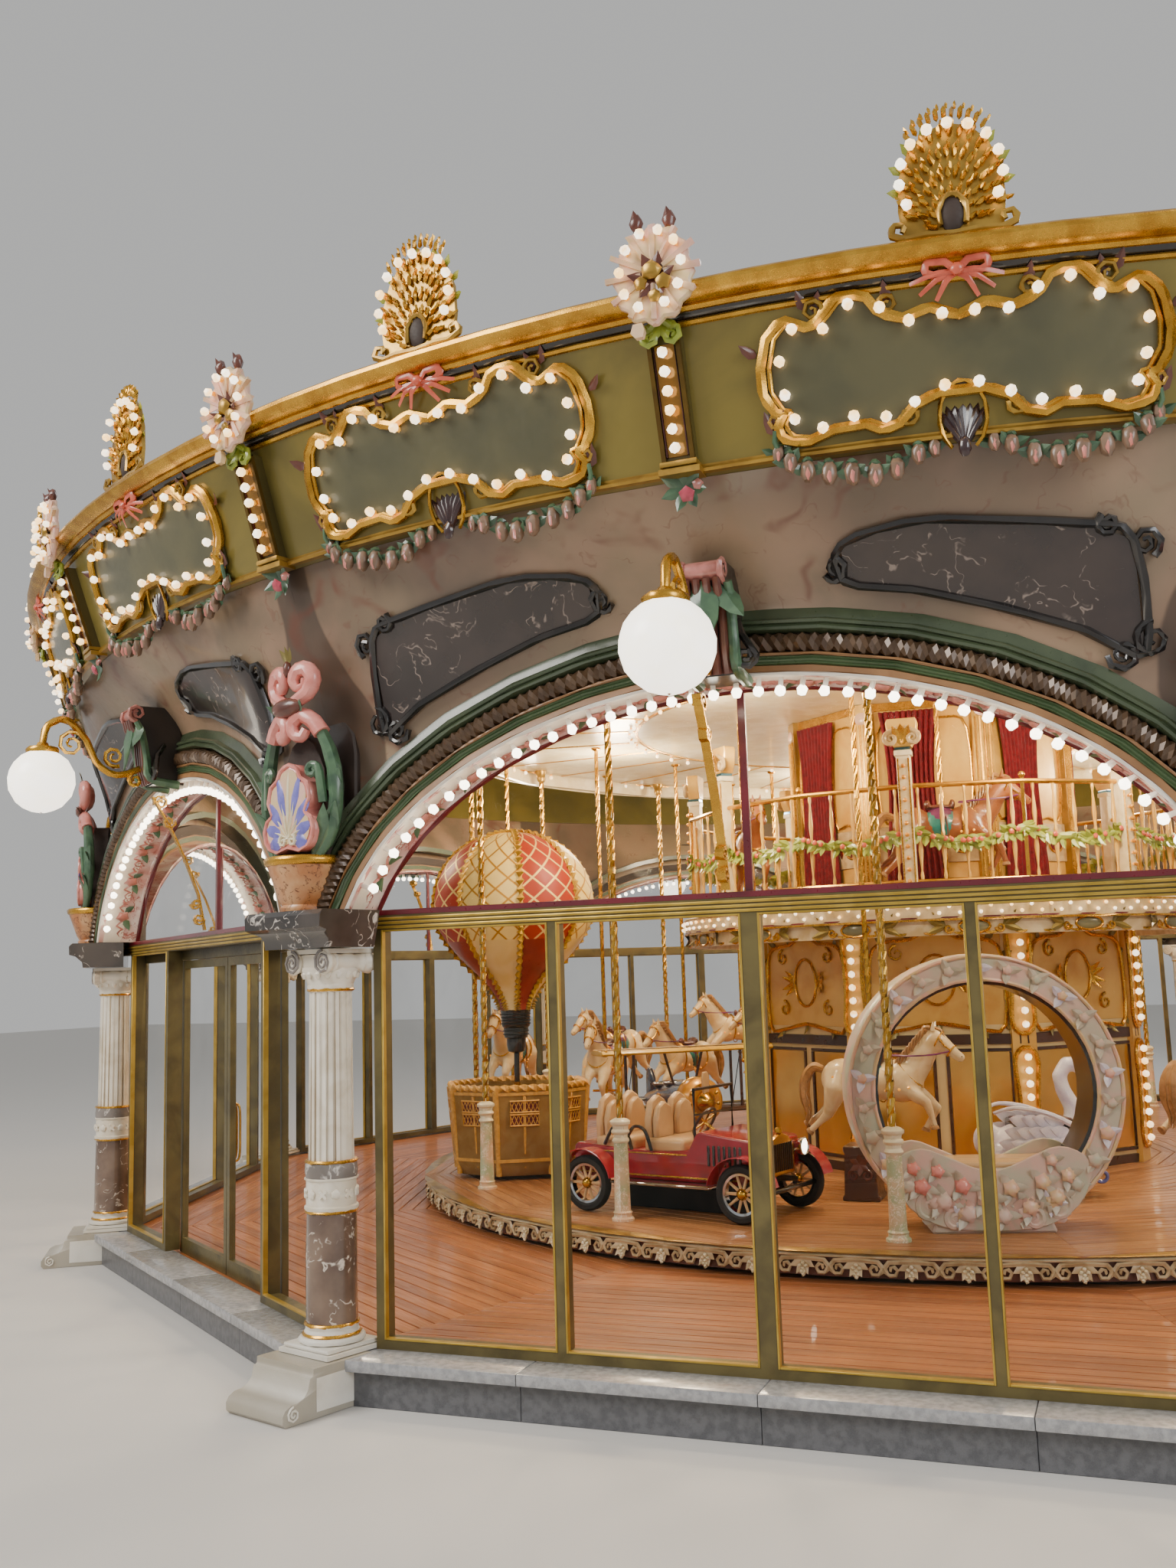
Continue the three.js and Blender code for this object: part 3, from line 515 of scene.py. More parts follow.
def new_group(name, inputs, outputs):
    tree = bpy.data.node_groups.new(name, "ShaderNodeTree")
    for label, kind, value in inputs:
        socket = tree.interface.new_socket(label, in_out="INPUT", socket_type=kind)
        if value is not None:
            socket.default_value = value
    for label in outputs:
        tree.interface.new_socket(label, in_out="OUTPUT", socket_type="NodeSocketFloat")
    return tree, tree.nodes.new("NodeGroupInput").outputs, tree.nodes.new("NodeGroupOutput").inputs


VECTOR, FLOAT = "NodeSocketVector", "NodeSocketFloat"


def make_mottle():
    """Soft clouds for colour and a fine tooth for the bump and the gloss."""
    tree, given, result = new_group("Mottle", [("Vector", VECTOR, None), ("Scale", FLOAT, 4.0)],
                                    ["Cloud", "Tooth"])
    broad = node(tree, "ShaderNodeTexNoise",
                 {"Vector": given[0], "Scale": given[1], "Detail": 5.0, "Distortion": 0.6})
    fine_scale = maths(tree, "MULTIPLY", given[1], 12.0)
    fine = node(tree, "ShaderNodeTexNoise", {"Vector": given[0], "Scale": fine_scale, "Detail": 3.0})
    tree.links.new(stepped(tree, broad.outputs[0], 0.32, 0.68), result[0])
    tree.links.new(fine.outputs[0], result[1])
    return tree


def make_veins():
    """Marble: broad clouds, and thin wandering veins between them."""
    tree, given, result = new_group(
        "Veins", [("Vector", VECTOR, None), ("Scale", FLOAT, 2.0), ("Width", FLOAT, 0.04)],
                                    ["Cloud", "Vein", "Fleck"])
    warp = node(tree, "ShaderNodeTexNoise", {"Vector": given[0], "Scale": given[1], "Detail": 4.0})
    shift = node(tree, "ShaderNodeVectorMath", {0: warp.outputs[1], 1: (0.9, 0.9, 0.9)}, operation="MULTIPLY")
    bent = node(tree, "ShaderNodeVectorMath", {0: given[0], 1: shift.outputs[0]}, operation="ADD")
    lines = node(tree, "ShaderNodeTexNoise", {"Vector": bent.outputs[0], "Scale": given[1], "Detail": 3.0})
    off = maths(tree, "ABSOLUTE", maths(tree, "SUBTRACT", lines.outputs[0], 0.5))
    vein = maths(tree, "SUBTRACT", 1.0, node(
        tree, "ShaderNodeMapRange", {0: off, 1: 0.0, 2: given[2]},
                                             interpolation_type="SMOOTHSTEP").outputs[0])
    broken = node(tree, "ShaderNodeTexNoise",
                  {"Vector": bent.outputs[0], "Scale": maths(tree, "MULTIPLY", given[1], 6.0)})
    tree.links.new(stepped(tree, warp.outputs[0], 0.35, 0.65), result[0])
    tree.links.new(maths(tree, "MULTIPLY", vein, stepped(tree, broken.outputs[0], 0.4, 0.6)), result[1])
    tree.links.new(broken.outputs[0], result[2])
    return tree


def make_grain():
    """Wood grain that runs along X, with a slow change of tone."""
    tree, given, result = new_group("Grain", [("Vector", VECTOR, None), ("Scale", FLOAT, 8.0)],
                                    ["Grain", "Tone"])
    long_way = node(tree, "ShaderNodeMapping", {"Vector": given[0], "Scale": (0.09, 1.0, 1.0)})
    grain = node(tree, "ShaderNodeTexNoise",
                 {"Vector": long_way.outputs[0], "Scale": maths(tree, "MULTIPLY", given[1], 5.0),
                  "Detail": 6.0,
                  "Distortion": 0.8})
    tone = node(tree, "ShaderNodeTexNoise", {"Vector": long_way.outputs[0], "Scale": given[1], "Detail": 1.0})
    tree.links.new(stepped(tree, grain.outputs[0], 0.35, 0.65), result[0])
    tree.links.new(stepped(tree, tone.outputs[0], 0.3, 0.7), result[1])
    return tree


def make_relief():
    """Raised edges that wear and also catch a painted highlight, broken up by noise, and recesses darkened as
    painted shade.
    """
    tree, given, result = new_group("Relief", [("Vector", VECTOR, None)], ["Edge", "Hollow"])
    point = node(tree, "ShaderNodeNewGeometry").outputs["Pointiness"]
    rough = node(tree, "ShaderNodeTexNoise", {"Vector": given[0], "Scale": 25.0, "Detail": 3.0}).outputs[0]
    # Convex places by pointiness: wear and a painted highlight
    tree.links.new(maths(tree, "MULTIPLY", stepped(tree, point, 0.52, 0.62), rough), result[0])
    # Concave places by pointiness: painted shade
    tree.links.new(stepped(tree, maths(tree, "SUBTRACT", 1.0, point), 0.51, 0.60), result[1])
    return tree


GROUPS = {}


def effect(tree, name, inputs):
    """Places a shared effect, building it the first time."""
    if name not in GROUPS:
        GROUPS[name] = {"Mottle": make_mottle, "Veins": make_veins, "Grain": make_grain,
                        "Relief": make_relief}[name]()
    made = node(tree, "ShaderNodeGroup", node_tree=GROUPS[name])
    for key, value in inputs.items():
        if isinstance(value, bpy.types.NodeSocket):
            tree.links.new(value, made.inputs[key])
        else:
            made.inputs[key].default_value = value
    return made.outputs


def started(name):
    material = bpy.data.materials.new(name)
    material.use_nodes = True
    tree = material.node_tree
    return material, tree, tree.nodes["Principled BSDF"], node(tree, "ShaderNodeTexCoord").outputs


def bumped(tree, shader, height, strength=0.3, distance=0.002):
    bump = node(tree, "ShaderNodeBump", {"Height": height, "Strength": strength, "Distance": distance})
    tree.links.new(bump.outputs[0], shader.inputs["Normal"])


def gloss(tree, shader, value, low, high):
    tree.links.new(node(tree, "ShaderNodeMapRange", {0: value, 3: low, 4: high}).outputs[0],
                   shader.inputs["Roughness"])


def paint(name, base, shade, hollow_shade=None, rough=0.32, metallic=0.0, coat=0.0, scale=5.0, bump=0.15, glow=0.0):
    """Paint, gilding or metal: two tones in clouds, recesses darkened with painted shade, raised edges
    lightened for wear and as a painted highlight, and a fine tooth.
    """
    material, tree, shader, where = started(name)
    mottle = effect(tree, "Mottle", {"Vector": where["Object"], "Scale": scale})
    relief = effect(tree, "Relief", {"Vector": where["Object"]})
    tone = mixed(tree, mottle["Cloud"], colour(base), colour(shade))
    # Raised edges go back to the base colour: wear and a painted highlight
    worn_and_highlit = mixed(tree, maths(tree, "MULTIPLY", relief["Edge"], 0.5), tone, colour(base))
    # Recesses darken towards the third colour: painted shade
    deep = mixed(tree, maths(tree, "MULTIPLY", relief["Hollow"], 0.75), worn_and_highlit, colour(hollow_shade or shade))
    tree.links.new(deep, shader.inputs["Base Color"])
    shader.inputs["Metallic"].default_value = metallic
    shader.inputs["Coat Weight"].default_value = coat
    shader.inputs["Coat Roughness"].default_value = 0.12
    gloss(tree, shader, mottle["Tooth"], rough * 0.8, rough * 1.35)
    bumped(tree, shader, mottle["Tooth"], bump)
    # A painted glow, on a finish that is no lamp
    if glow:
        tree.links.new(deep, shader.inputs["Emission Color"])
        shader.inputs["Emission Strength"].default_value = glow
    return material


def marble(name, base, cloud, vein, scale=1.6, width=0.03, rough=0.25, coat=0.4, strength=1.0, bump=0.05):
    """Polished or painted marble."""
    material, tree, shader, where = started(name)
    veins = effect(tree, "Veins", {"Vector": where["Object"], "Scale": scale, "Width": width})
    body = mixed(tree, veins["Cloud"], colour(base), colour(cloud))
    tree.links.new(mixed(tree, maths(tree, "MULTIPLY", veins["Vein"], strength), body, colour(vein)),
                   shader.inputs["Base Color"])
    shader.inputs["Coat Weight"].default_value = coat
    shader.inputs["Coat Roughness"].default_value = 0.1
    gloss(tree, shader, veins["Fleck"], rough * 0.8, rough * 1.4)
    bumped(tree, shader, veins["Fleck"], bump)
    return material


def timber(name, light, dark, scale=7.0, rough=0.4, coat=0.2, source="UV"):
    """Varnished boards, each its own tone where the boards carry their own stretch of the map."""
    material, tree, shader, where = started(name)
    grain = effect(tree, "Grain", {"Vector": where[source], "Scale": scale})
    body = mixed(tree, grain["Tone"], colour(light), colour(dark))
    streak = mixed(tree, maths(tree, "MULTIPLY", grain["Grain"], 0.35), body, colour(dark))
    tree.links.new(streak, shader.inputs["Base Color"])
    shader.inputs["Coat Weight"].default_value = coat
    gloss(tree, shader, grain["Grain"], rough * 0.85, rough * 1.25)
    bumped(tree, shader, grain["Grain"], 0.2, 0.001)
    return material


def coved_marble(name):
    """Painted marble of the walls: tan and grey clouds, darker lobes, fine red-brown cracks, and painted
    shade near each corner.
    """
    material, tree, shader, where = started(name)
    broad = effect(tree, "Veins", {"Vector": where["Object"], "Scale": 0.75, "Width": 0.02})
    fine = effect(tree, "Veins", {"Vector": where["Object"], "Scale": 2.2, "Width": 0.016})
    body = mixed(tree, broad["Cloud"], colour("9a8468"), colour("786653"))
    warm = mixed(tree, maths(tree, "MULTIPLY", fine["Cloud"], 0.45), body, colour("b08a72"))
    lobes = node(tree, "ShaderNodeTexVoronoi", {"Vector": where["Object"], "Scale": 0.8, "Smoothness": 0.25},
                 feature="SMOOTH_F1")
    dark = mixed(tree, maths(tree, "MULTIPLY", stepped(tree, lobes.outputs[0], 0.42, 0.62), 0.55), warm,
                 colour("57483d"))
    cracks = maths(tree, "MAXIMUM", broad["Vein"], maths(tree, "MULTIPLY", fine["Vein"], 0.6))
    # Painted shade: dark brown on the wall either side of each corner, behind the crown, reaching 0.46 m from
    # the corner low down and 0.20 m near the cornice
    x, y, z = node(tree, "ShaderNodeSeparateXYZ", {0: where["Object"]}).outputs
    angle = maths(tree, "SUBTRACT", maths(tree, "ARCTAN2", x, maths(tree, "MULTIPLY", y, -1.0)),
                  math.radians(HALF_BAY))
    aside = maths(tree, "MULTIPLY", maths(tree, "PINGPONG", angle, math.radians(HALF_BAY)), CORNER_LINE)
    aside = maths(tree, "ADD", aside, maths(tree, "MULTIPLY", broad["Cloud"], 0.06))
    narrow = maths(tree, "MULTIPLY", stepped(tree, z, 3.55, 4.35), 0.26)
    reach = maths(tree, "SUBTRACT", maths(tree, "SUBTRACT", 0.46, narrow), aside)
    shade = maths(tree, "MULTIPLY", stepped(tree, reach, -0.012, 0.012), 0.72)
    dark = mixed(tree, shade, dark, colour("40322a"))
    tree.links.new(mixed(tree, maths(tree, "MULTIPLY", cracks, 0.6), dark, colour("6b3a2a")),
                   shader.inputs["Base Color"])
    shader.inputs["Coat Weight"].default_value = 0.35
    shader.inputs["Coat Roughness"].default_value = 0.15
    gloss(tree, shader, fine["Fleck"], 0.28, 0.45)
    bumped(tree, shader, fine["Fleck"], 0.08)
    return material


def lamp_glass(name, code, strength):
    """Lit opal glass, a little warmer and dimmer in clouds."""
    material, tree, shader, where = started(name)
    mottle = effect(tree, "Mottle", {"Vector": where["Object"], "Scale": 9.0})
    light = mixed(tree, mottle["Cloud"], colour(code), colour("fff6e2"))
    tree.links.new(light, shader.inputs["Base Color"])
    tree.links.new(light, shader.inputs["Emission Color"])
    shader.inputs["Emission Strength"].default_value = strength
    gloss(tree, shader, mottle["Tooth"], 0.2, 0.3)
    material.cycles.emission_sampling = "NONE"
    return material


def window_glass(name):
    """Thin clear glass with a faint smear of dust."""
    material, tree, shader, where = started(name)
    mottle = effect(tree, "Mottle", {"Vector": where["Object"], "Scale": 1.2})
    tree.links.new(mixed(tree, mottle["Cloud"], colour("25302d"), colour("303c38")),
                   shader.inputs["Base Color"])
    tree.links.new(node(tree, "ShaderNodeMapRange", {0: mottle["Cloud"], 3: 0.03, 4: 0.06}).outputs[0],
                   shader.inputs["Alpha"])
    gloss(tree, shader, mottle["Tooth"], 0.02, 0.06)
    shader.inputs["IOR"].default_value = 1.45
    return material


def lattice(name, ground, line, glow_line, across, high, metallic=0.3):
    """Fabric or panel with a diagonal lattice drawn on its own map."""
    material, tree, shader, where = started(name)
    mottle = effect(tree, "Mottle", {"Vector": where["Object"], "Scale": 6.0})
    parts = node(tree, "ShaderNodeSeparateXYZ", {0: where["UV"]}).outputs
    u = maths(tree, "MULTIPLY", parts[0], across)
    v = maths(tree, "MULTIPLY", parts[1], high)
    lines = []
    for operation in ("ADD", "SUBTRACT"):
        wave = maths(tree, "PINGPONG", maths(tree, operation, u, v), 0.5)
        lines.append(stepped(tree, wave, 0.42, 0.46))
    mesh = maths(tree, "MAXIMUM", *lines)
    body = mixed(tree, mottle["Cloud"], colour(ground), colour(line))
    soft = mixed(tree, 0.85, body, colour(ground))
    tree.links.new(mixed(tree, mesh, soft, colour(glow_line)), shader.inputs["Base Color"])
    tree.links.new(maths(tree, "MULTIPLY", mesh, metallic), shader.inputs["Metallic"])
    gloss(tree, shader, mottle["Tooth"], 0.35, 0.6)
    bumped(tree, shader, mesh, 0.3, 0.003)
    return material


def wicker(name):
    """Over-and-under weave on the piece's own map."""
    material, tree, shader, where = started(name)
    parts = node(tree, "ShaderNodeSeparateXYZ", {0: where["UV"]}).outputs
    rows = maths(tree, "SINE", maths(tree, "MULTIPLY", parts[1], 260.0))
    posts = maths(tree, "SINE", maths(tree, "MULTIPLY", parts[0], 130.0))
    weave = stepped(tree, maths(tree, "MULTIPLY", rows, posts), -0.6, 0.8)
    mottle = effect(tree, "Mottle", {"Vector": where["Object"], "Scale": 9.0})
    body = mixed(tree, mottle["Cloud"], colour("e0bd6a"), colour("c99a45"))
    tree.links.new(mixed(tree, weave, colour("7a5322"), body), shader.inputs["Base Color"])
    gloss(tree, shader, mottle["Tooth"], 0.45, 0.7)
    bumped(tree, shader, weave, 0.8, 0.004)
    return material


# Paint rows give base, second tone, the painted shade of the recesses, roughness, metallic, coat, cloud
# scale, bump and, on the glowing beads, a painted glow.
RECIPES = {
    "wall marble": (coved_marble,),
    "plaque marble": (marble, "2a211f", "3a2e2a", "8a7a70", 2.4, 0.012, 0.22, 0.6),
    "soffit marble": (marble, "e6d6cf", "c98d86", "a8524c", 4.0, 0.05, 0.3, 0.3),
    "shaft marble": (marble, "5a463b", "7d6757", "d8cabb", 3.2, 0.02, 0.2, 0.6),
    "band marble": (marble, "8d8580", "6d6661", "d6cfc8", 3.0, 0.03, 0.3, 0.3),
    "impost marble": (marble, "2f2b29", "4a423d", "cfc6bd", 2.6, 0.014, 0.2, 0.6),
    "pot marble": (marble, "b5713e", "d0a070", "6a3a22", 5.0, 0.05, 0.3, 0.3),
    "sleeve marble": (marble, "e2b892", "a9b48c", "f2e6cc", 6.0, 0.06, 0.35, 0.2),
    "granite": (marble, "9b9b9d", "7f8083", "c8c8c8", 24.0, 0.2, 0.22, 0.3, 0.4),
    "dark granite": (marble, "5c5c5f", "47484b", "7c7c80", 24.0, 0.2, 0.35, 0.1, 0.4),
    "white stone": (paint, "e6e2d8", "cfc8ba", "8f8674", 0.45, 0.0, 0.1, 3.0, 0.25),
    "carved white": (paint, "eee6d6", "d9cdb8", "9c8668", 0.38, 0.0, 0.2, 6.0, 0.2),
    # Dark brown painted as shade in recesses: the arch channel behind the rope, the niche linings, the mouth
    # of the urn and the recess behind the palmette; it also colours the dark centre of each crest.
    "niche": (paint, "3d2f28", "2c211c", "120c0a", 0.6),
    "moulding green": (paint, "47523a", "353f2c", "181e14", 0.28, 0.0, 0.4, 3.0, 0.1),
    "ridge green": (paint, "4f6242", "3e5034", "1f2c1a", 0.28, 0.0, 0.4, 3.0, 0.1),
    "rope bronze": (paint, "5c4632", "443224", "1a110b", 0.28, 0.3, 0.3, 7.0, 0.15),
    "terracotta": (paint, "9c7148", "7f5a38", "40281a", 0.4, 0.0, 0.15, 4.0, 0.1),
    "white edge": (paint, "f0e8dc", "ddd0c0", "a89885", 0.35, 0.0, 0.2, 5.0, 0.1),
    "burgundy": (paint, "6a1424", "52101c", "2a070d", 0.28, 0.0, 0.5, 5.0, 0.08),
    "black lacquer": (paint, "1c1a1a", "2a2624", "0a0909", 0.2, 0.0, 0.6, 6.0, 0.08),
    "gilding": (paint, "d9a63c", "b8842a", "5a3a12", 0.26, 0.85, 0.15, 8.0, 0.25),
    "old gold": (paint, "b8923f", "8f6d2c", "3d2c10", 0.32, 0.7, 0.15, 6.0, 0.25),
    "olive gold": (paint, "8a7a3a", "6d6232", "3a3218", 0.3, 0.35, 0.35, 1.6, 0.1),
    "bare plate": (paint, "8f8a62", "6f7054", "3d3a26", 0.35, 0.0, 0.3, 2.5, 0.08),
    "rose pink": (paint, "c07a70", "8f5a50", "3a1c18", 0.3, 0.0, 0.35, 14.0, 0.15),
    "rose deep": (paint, "c04a5c", "8f3040", "3d1018", 0.3, 0.0, 0.35, 14.0, 0.15),
    "coral": (paint, "d9644a", "b84a36", "5a1c14", 0.3, 0.0, 0.35, 12.0, 0.1),
    "leaf green": (paint, "527052", "3a5540", "16241a", 0.3, 0.0, 0.35, 12.0, 0.15),
    "leaf bright": (paint, "9aa63e", "7a8a30", "2c3c18", 0.3, 0.0, 0.3, 12.0, 0.15),
    "shade brown": (paint, "463830", "372c26", "1a1410", 0.35, 0.0, 0.3, 3.0, 0.08),
    "violet": (paint, "6a6aa8", "4a4a86", "22224a", 0.28, 0.0, 0.4, 12.0, 0.1),
    "cream": (paint, "f0e6c8", "e0d0a4", "8f7a4c", 0.34, 0.0, 0.25, 5.0, 0.12),
    "cream carved": (paint, "e9dcb8", "cdb988", "7a6236", 0.4, 0.0, 0.15, 7.0, 0.3),
    "grey carved": (paint, "cfc7b4", "aca28c", "5e5442", 0.42, 0.0, 0.15, 7.0, 0.3),
    "shell violet": (paint, "3a2626", "2a1c20", "0e0a0c", 0.22, 0.0, 0.6, 9.0, 0.1),
    "shell pink": (paint, "e6b6a6", "d8c08a", "8a5a44", 0.32, 0.0, 0.3, 9.0, 0.15),
    "bud brown": (paint, "6a3a2c", "4d2820", "1c0e0a", 0.3, 0.0, 0.4, 10.0, 0.15),
    "bronze frame": (paint, "766a42", "5a5034", "231f12", 0.36, 0.55, 0.1, 4.0, 0.1),
    "frame gold": (paint, "c7a648", "a8882f", "54421a", 0.3, 0.6, 0.1, 6.0, 0.08),
    "roof sheet": (paint, "59625e", "474f4d", "2c3130", 0.45, 0.5, 0.0, 1.5, 0.2),
    "brass": (paint, "e0b048", "c08f30", "5a3f14", 0.2, 0.95, 0.0, 9.0, 0.06),
    "chrome": (paint, "dadbdc", "b9bbbe", "4c4d50", 0.1, 1.0, 0.0, 6.0, 0.03),
    "iron": (paint, "2b2b2d", "1f1f21", "0c0c0d", 0.4, 0.6, 0.0, 8.0, 0.15),
    "tyre": (paint, "201f1f", "2b2a29", "0d0c0c", 0.7, 0.0, 0.0, 18.0, 0.4),
    "red enamel": (paint, "b01e2c", "8f1522", "3c070d", 0.2, 0.0, 0.7, 5.0, 0.05),
    "navy enamel": (paint, "1f2f55", "172342", "080d1c", 0.24, 0.0, 0.6, 5.0, 0.05),
    "amber": (paint, "e0a030", "c47f20", "6a3c0c", 0.28, 0.3, 0.4, 7.0, 0.1),
    # Glows faintly: a painted glow on bulb collars and horse studs, which are no lamps
    "glowing amber bead": (paint, "ffb940", "f09a20", "a05a10", 0.2, 0.2, 0.4, 12.0, 0.1, 0.6),
    "yellow enamel": (paint, "e6b838", "cf9c28", "7a5412", 0.28, 0.0, 0.4, 5.0, 0.08),
    "horse cream": (paint, "f0ddb2", "dcbf8a", "8a6a3c", 0.28, 0.0, 0.5, 6.0, 0.1),
    "horse chestnut": (paint, "a8683a", "8a4f28", "3d200e", 0.28, 0.0, 0.5, 6.0, 0.1),
    "horse mane": (paint, "b08350", "86602f", "3a2410", 0.4, 0.0, 0.3, 20.0, 0.4),
    "horse teal": (paint, "2f8a86", "246c6e", "0d2e30", 0.28, 0.0, 0.5, 9.0, 0.1),
    "horse plum": (paint, "7a2f6a", "5c2250", "250c20", 0.28, 0.0, 0.5, 9.0, 0.1),
    "swan white": (paint, "eceaf2", "cfc8e0", "7a7090", 0.26, 0.0, 0.5, 7.0, 0.12),
    "beak orange": (paint, "e08a2c", "c46f1c", "5c300c", 0.3, 0.0, 0.4, 9.0, 0.08),
    "hoop stone": (paint, "dcb8aa", "b9c0a8", "7a5c50", 0.4, 0.0, 0.2, 4.0, 0.3),
    "mirror": (paint, "e8d9a4", "f2ead0", "8f7a3c", 0.05, 1.0, 0.0, 1.5, 0.02),
    "blue mirror": (paint, "7fb0d6", "5a8fc0", "24415c", 0.06, 0.9, 0.0, 6.0, 0.02),
    "ceiling cream": (paint, "ecd8a0", "dcc68c", "9a8248", 0.4, 0.0, 0.2, 2.0, 0.1),
    "panel gold": (paint, "e6bd62", "cf9a3e", "7a5018", 0.3, 0.15, 0.4, 3.0, 0.15),
    "swag brown": (paint, "8a6e58", "5f4a3a", "20150f", 0.35, 0.0, 0.35, 12.0, 0.15),
    "carved tan": (paint, "cdb68c", "9a7d50", "3a2a16", 0.4, 0.0, 0.2, 9.0, 0.3),
    "wicker gold": (paint, "d6a248", "b5822e", "5a3c10", 0.42, 0.0, 0.2, 30.0, 0.5),
    "petal violet": (paint, "7d78c8", "5a58a8", "2c2a5c", 0.28, 0.0, 0.4, 12.0, 0.1),
    "petal pink": (paint, "e8968a", "d0786c", "6e3430", 0.28, 0.0, 0.45, 10.0, 0.1),
    "gore plain": (paint, "f4e0a4", "e8cc80", "8f6c2c", 0.3, 0.0, 0.4, 3.0, 0.05),
    "gore red": (paint, "a02c14", "86240f", "3c0f06", 0.28, 0.0, 0.4, 3.0, 0.05),
    "amber panel": (paint, "e6b458", "cf943c", "6a4818", 0.14, 0.65, 0.4, 2.4, 0.08),
    "curtain": (paint, "8f1a28", "6c101c", "2c060b", 0.75, 0.0, 0.0, 20.0, 0.35),
    "floor boards": (timber, "b56f3c", "8a4f28"),
    "deck boards": (timber, "b8814e", "8c5a32"),
    "pale wood": (timber, "dcb888", "c09868", 2.0, 0.35, 0.35, "Object"),
    "walnut": (timber, "5a3826", "382015", 2.4, 0.32, 0.4, "Object"),
    "yellow planks": (timber, "e2b640", "c7962c", 2.0, 0.32, 0.3, "Object"),
    "basket weave": (wicker,),
    "gore cream": (lattice, "f4dc8c", "e8c868", "c08c28", 2.6, 3.0),
    "gore brick": (lattice, "a83014", "8a2610", "f0d080", 2.6, 3.0),
    "bulb": (lamp_glass, "ffcc78", 2.8),
    "cool bulb": (lamp_glass, "fff4dc", 7.0),
    "globe": (lamp_glass, "fff8ec", 2.6),
    "glass": (window_glass,),
}
MADE = {}


def finish_named(name):
    if name not in MADE:
        recipe, *values = RECIPES[name]
        MADE[name] = recipe(name.replace(" ", "_"), *values)
    return MADE[name]


# Pavilion

def mitred(shape, half_angle=HALF_BAY):
    """Cuts a shape back to its own bay and closes the cuts."""
    angle = math.radians(half_angle)
    for side in (-1, 1):
        everything = list(shape.verts) + list(shape.edges) + list(shape.faces)
        bmesh.ops.bisect_plane(shape, geom=everything, plane_co=(0, 0, 0), clear_outer=True,
                               plane_no=(side * math.cos(angle), math.sin(angle), 0))
        bmesh.ops.holes_fill(shape, edges=[e for e in shape.edges if e.is_boundary], sides=0)
    return shape


def run(profile, place, steps):
    """Carries a closed profile along; place(share, a, b) says where each of its points goes."""
    shape = bmesh.new()
    number = shape.verts.layers.int.new("number")
    ring = []
    for i, (a, b) in enumerate(profile):
        vert = shape.verts.new(place(0, a, b))
        vert[number] = i
        ring.append(vert)
    edges = [shape.edges.new((ring[i], ring[(i + 1) % len(ring)])) for i in range(len(ring))]
    shape.faces.new(ring)
    for step in range(1, steps + 1):
        made = bmesh.ops.extrude_edge_only(shape, edges=edges)["geom"]
        fresh = {g for g in made if isinstance(g, bmesh.types.BMVert)}
        edges = [g for g in made if isinstance(g, bmesh.types.BMEdge) and g.verts[0] in fresh
                 and g.verts[1] in fresh]
        for vert in fresh:
            vert.co = place(step / steps, *profile[vert[number]])
    bmesh.ops.contextual_create(shape, geom=edges)
    return outward(shape)


def lay_boards(piece, finish, sectors, phase, inner, outer, width, top, seed):
    """Boards parallel to each side, mitred between the sides, with a row of screws across."""
    draw = random.Random(seed)
    slope = math.tan(math.pi / sectors)
    rows = round((outer - inner) / width)
    width = (outer - inner) / rows
    for turn in around(sectors, phase):
        shape = bmesh.new()
        faces = []
        for k in range(rows):
            near, far = inner + k * width + JOINT, inner + (k + 1) * width - JOINT
            corners = ((-near * slope, -near), (near * slope, -near), (far * slope, -far),
                       (-far * slope, -far))
            faces.append(shape.faces.new([shape.verts.new((x, y, top - 0.012)) for x, y in corners]))
        made = bmesh.ops.extrude_face_region(shape, geom=faces, use_keep_orig=True)["geom"]
        bmesh.ops.translate(shape, vec=(0, 0, 0.010),
                            verts=[g for g in made if isinstance(g, bmesh.types.BMVert)])
        outward(shape)
        tops = [g for g in made if isinstance(g, bmesh.types.BMFace)]
        bmesh.ops.inset_individual(shape, faces=tops, thickness=0.0050, depth=0.004)
        layer = shape.loops.layers.uv.new("UVMap")
        shifts = [(draw.uniform(0, 40), draw.uniform(0, 40)) for _ in range(rows)]
        for face in shape.faces:
            k = min(int((-face.calc_center_median().y - inner) / width), rows - 1)
            for loop in face.loops:
                loop[layer].uv = (loop.vert.co.x + shifts[k][0], loop.vert.co.y + shifts[k][1])
        piece.add(shape, finish, turn)
        spots = []
        for k in range(rows):
            middle = inner + (k + 0.5) * width
            reach = int(middle * slope / 0.55)
            spots += [turn @ moved(0.55 * i, -middle + side * 0.3 * width, top)
                      for i in range(-reach, reach + 1) for side in (-1, 1)]
        piece.add(bar((0, 0, -0.002), (0, 0, 0.0012), 0.006, 0.005, 4), "brass", *spots)


def make_floor(sizes):
    piece = Piece("plank_floor")
    corner = (CURB_INNER - 0.0003) / math.cos(math.radians(HALF_BAY))
    slab = lathe([(0, 0), (corner, 0), (corner, FLOOR_TOP - 0.013), (0, FLOOR_TOP - 0.013)], BAYS,
                 start=math.radians(90 + HALF_BAY))
    piece.add(slab, "walnut")
    lay_boards(piece, "floor boards", BAYS, 0, 4.6, CURB_INNER - 0.001, sizes.board_width, FLOOR_TOP, 11)
    piece.object("pavilion", "plank_floor", ("floor",))


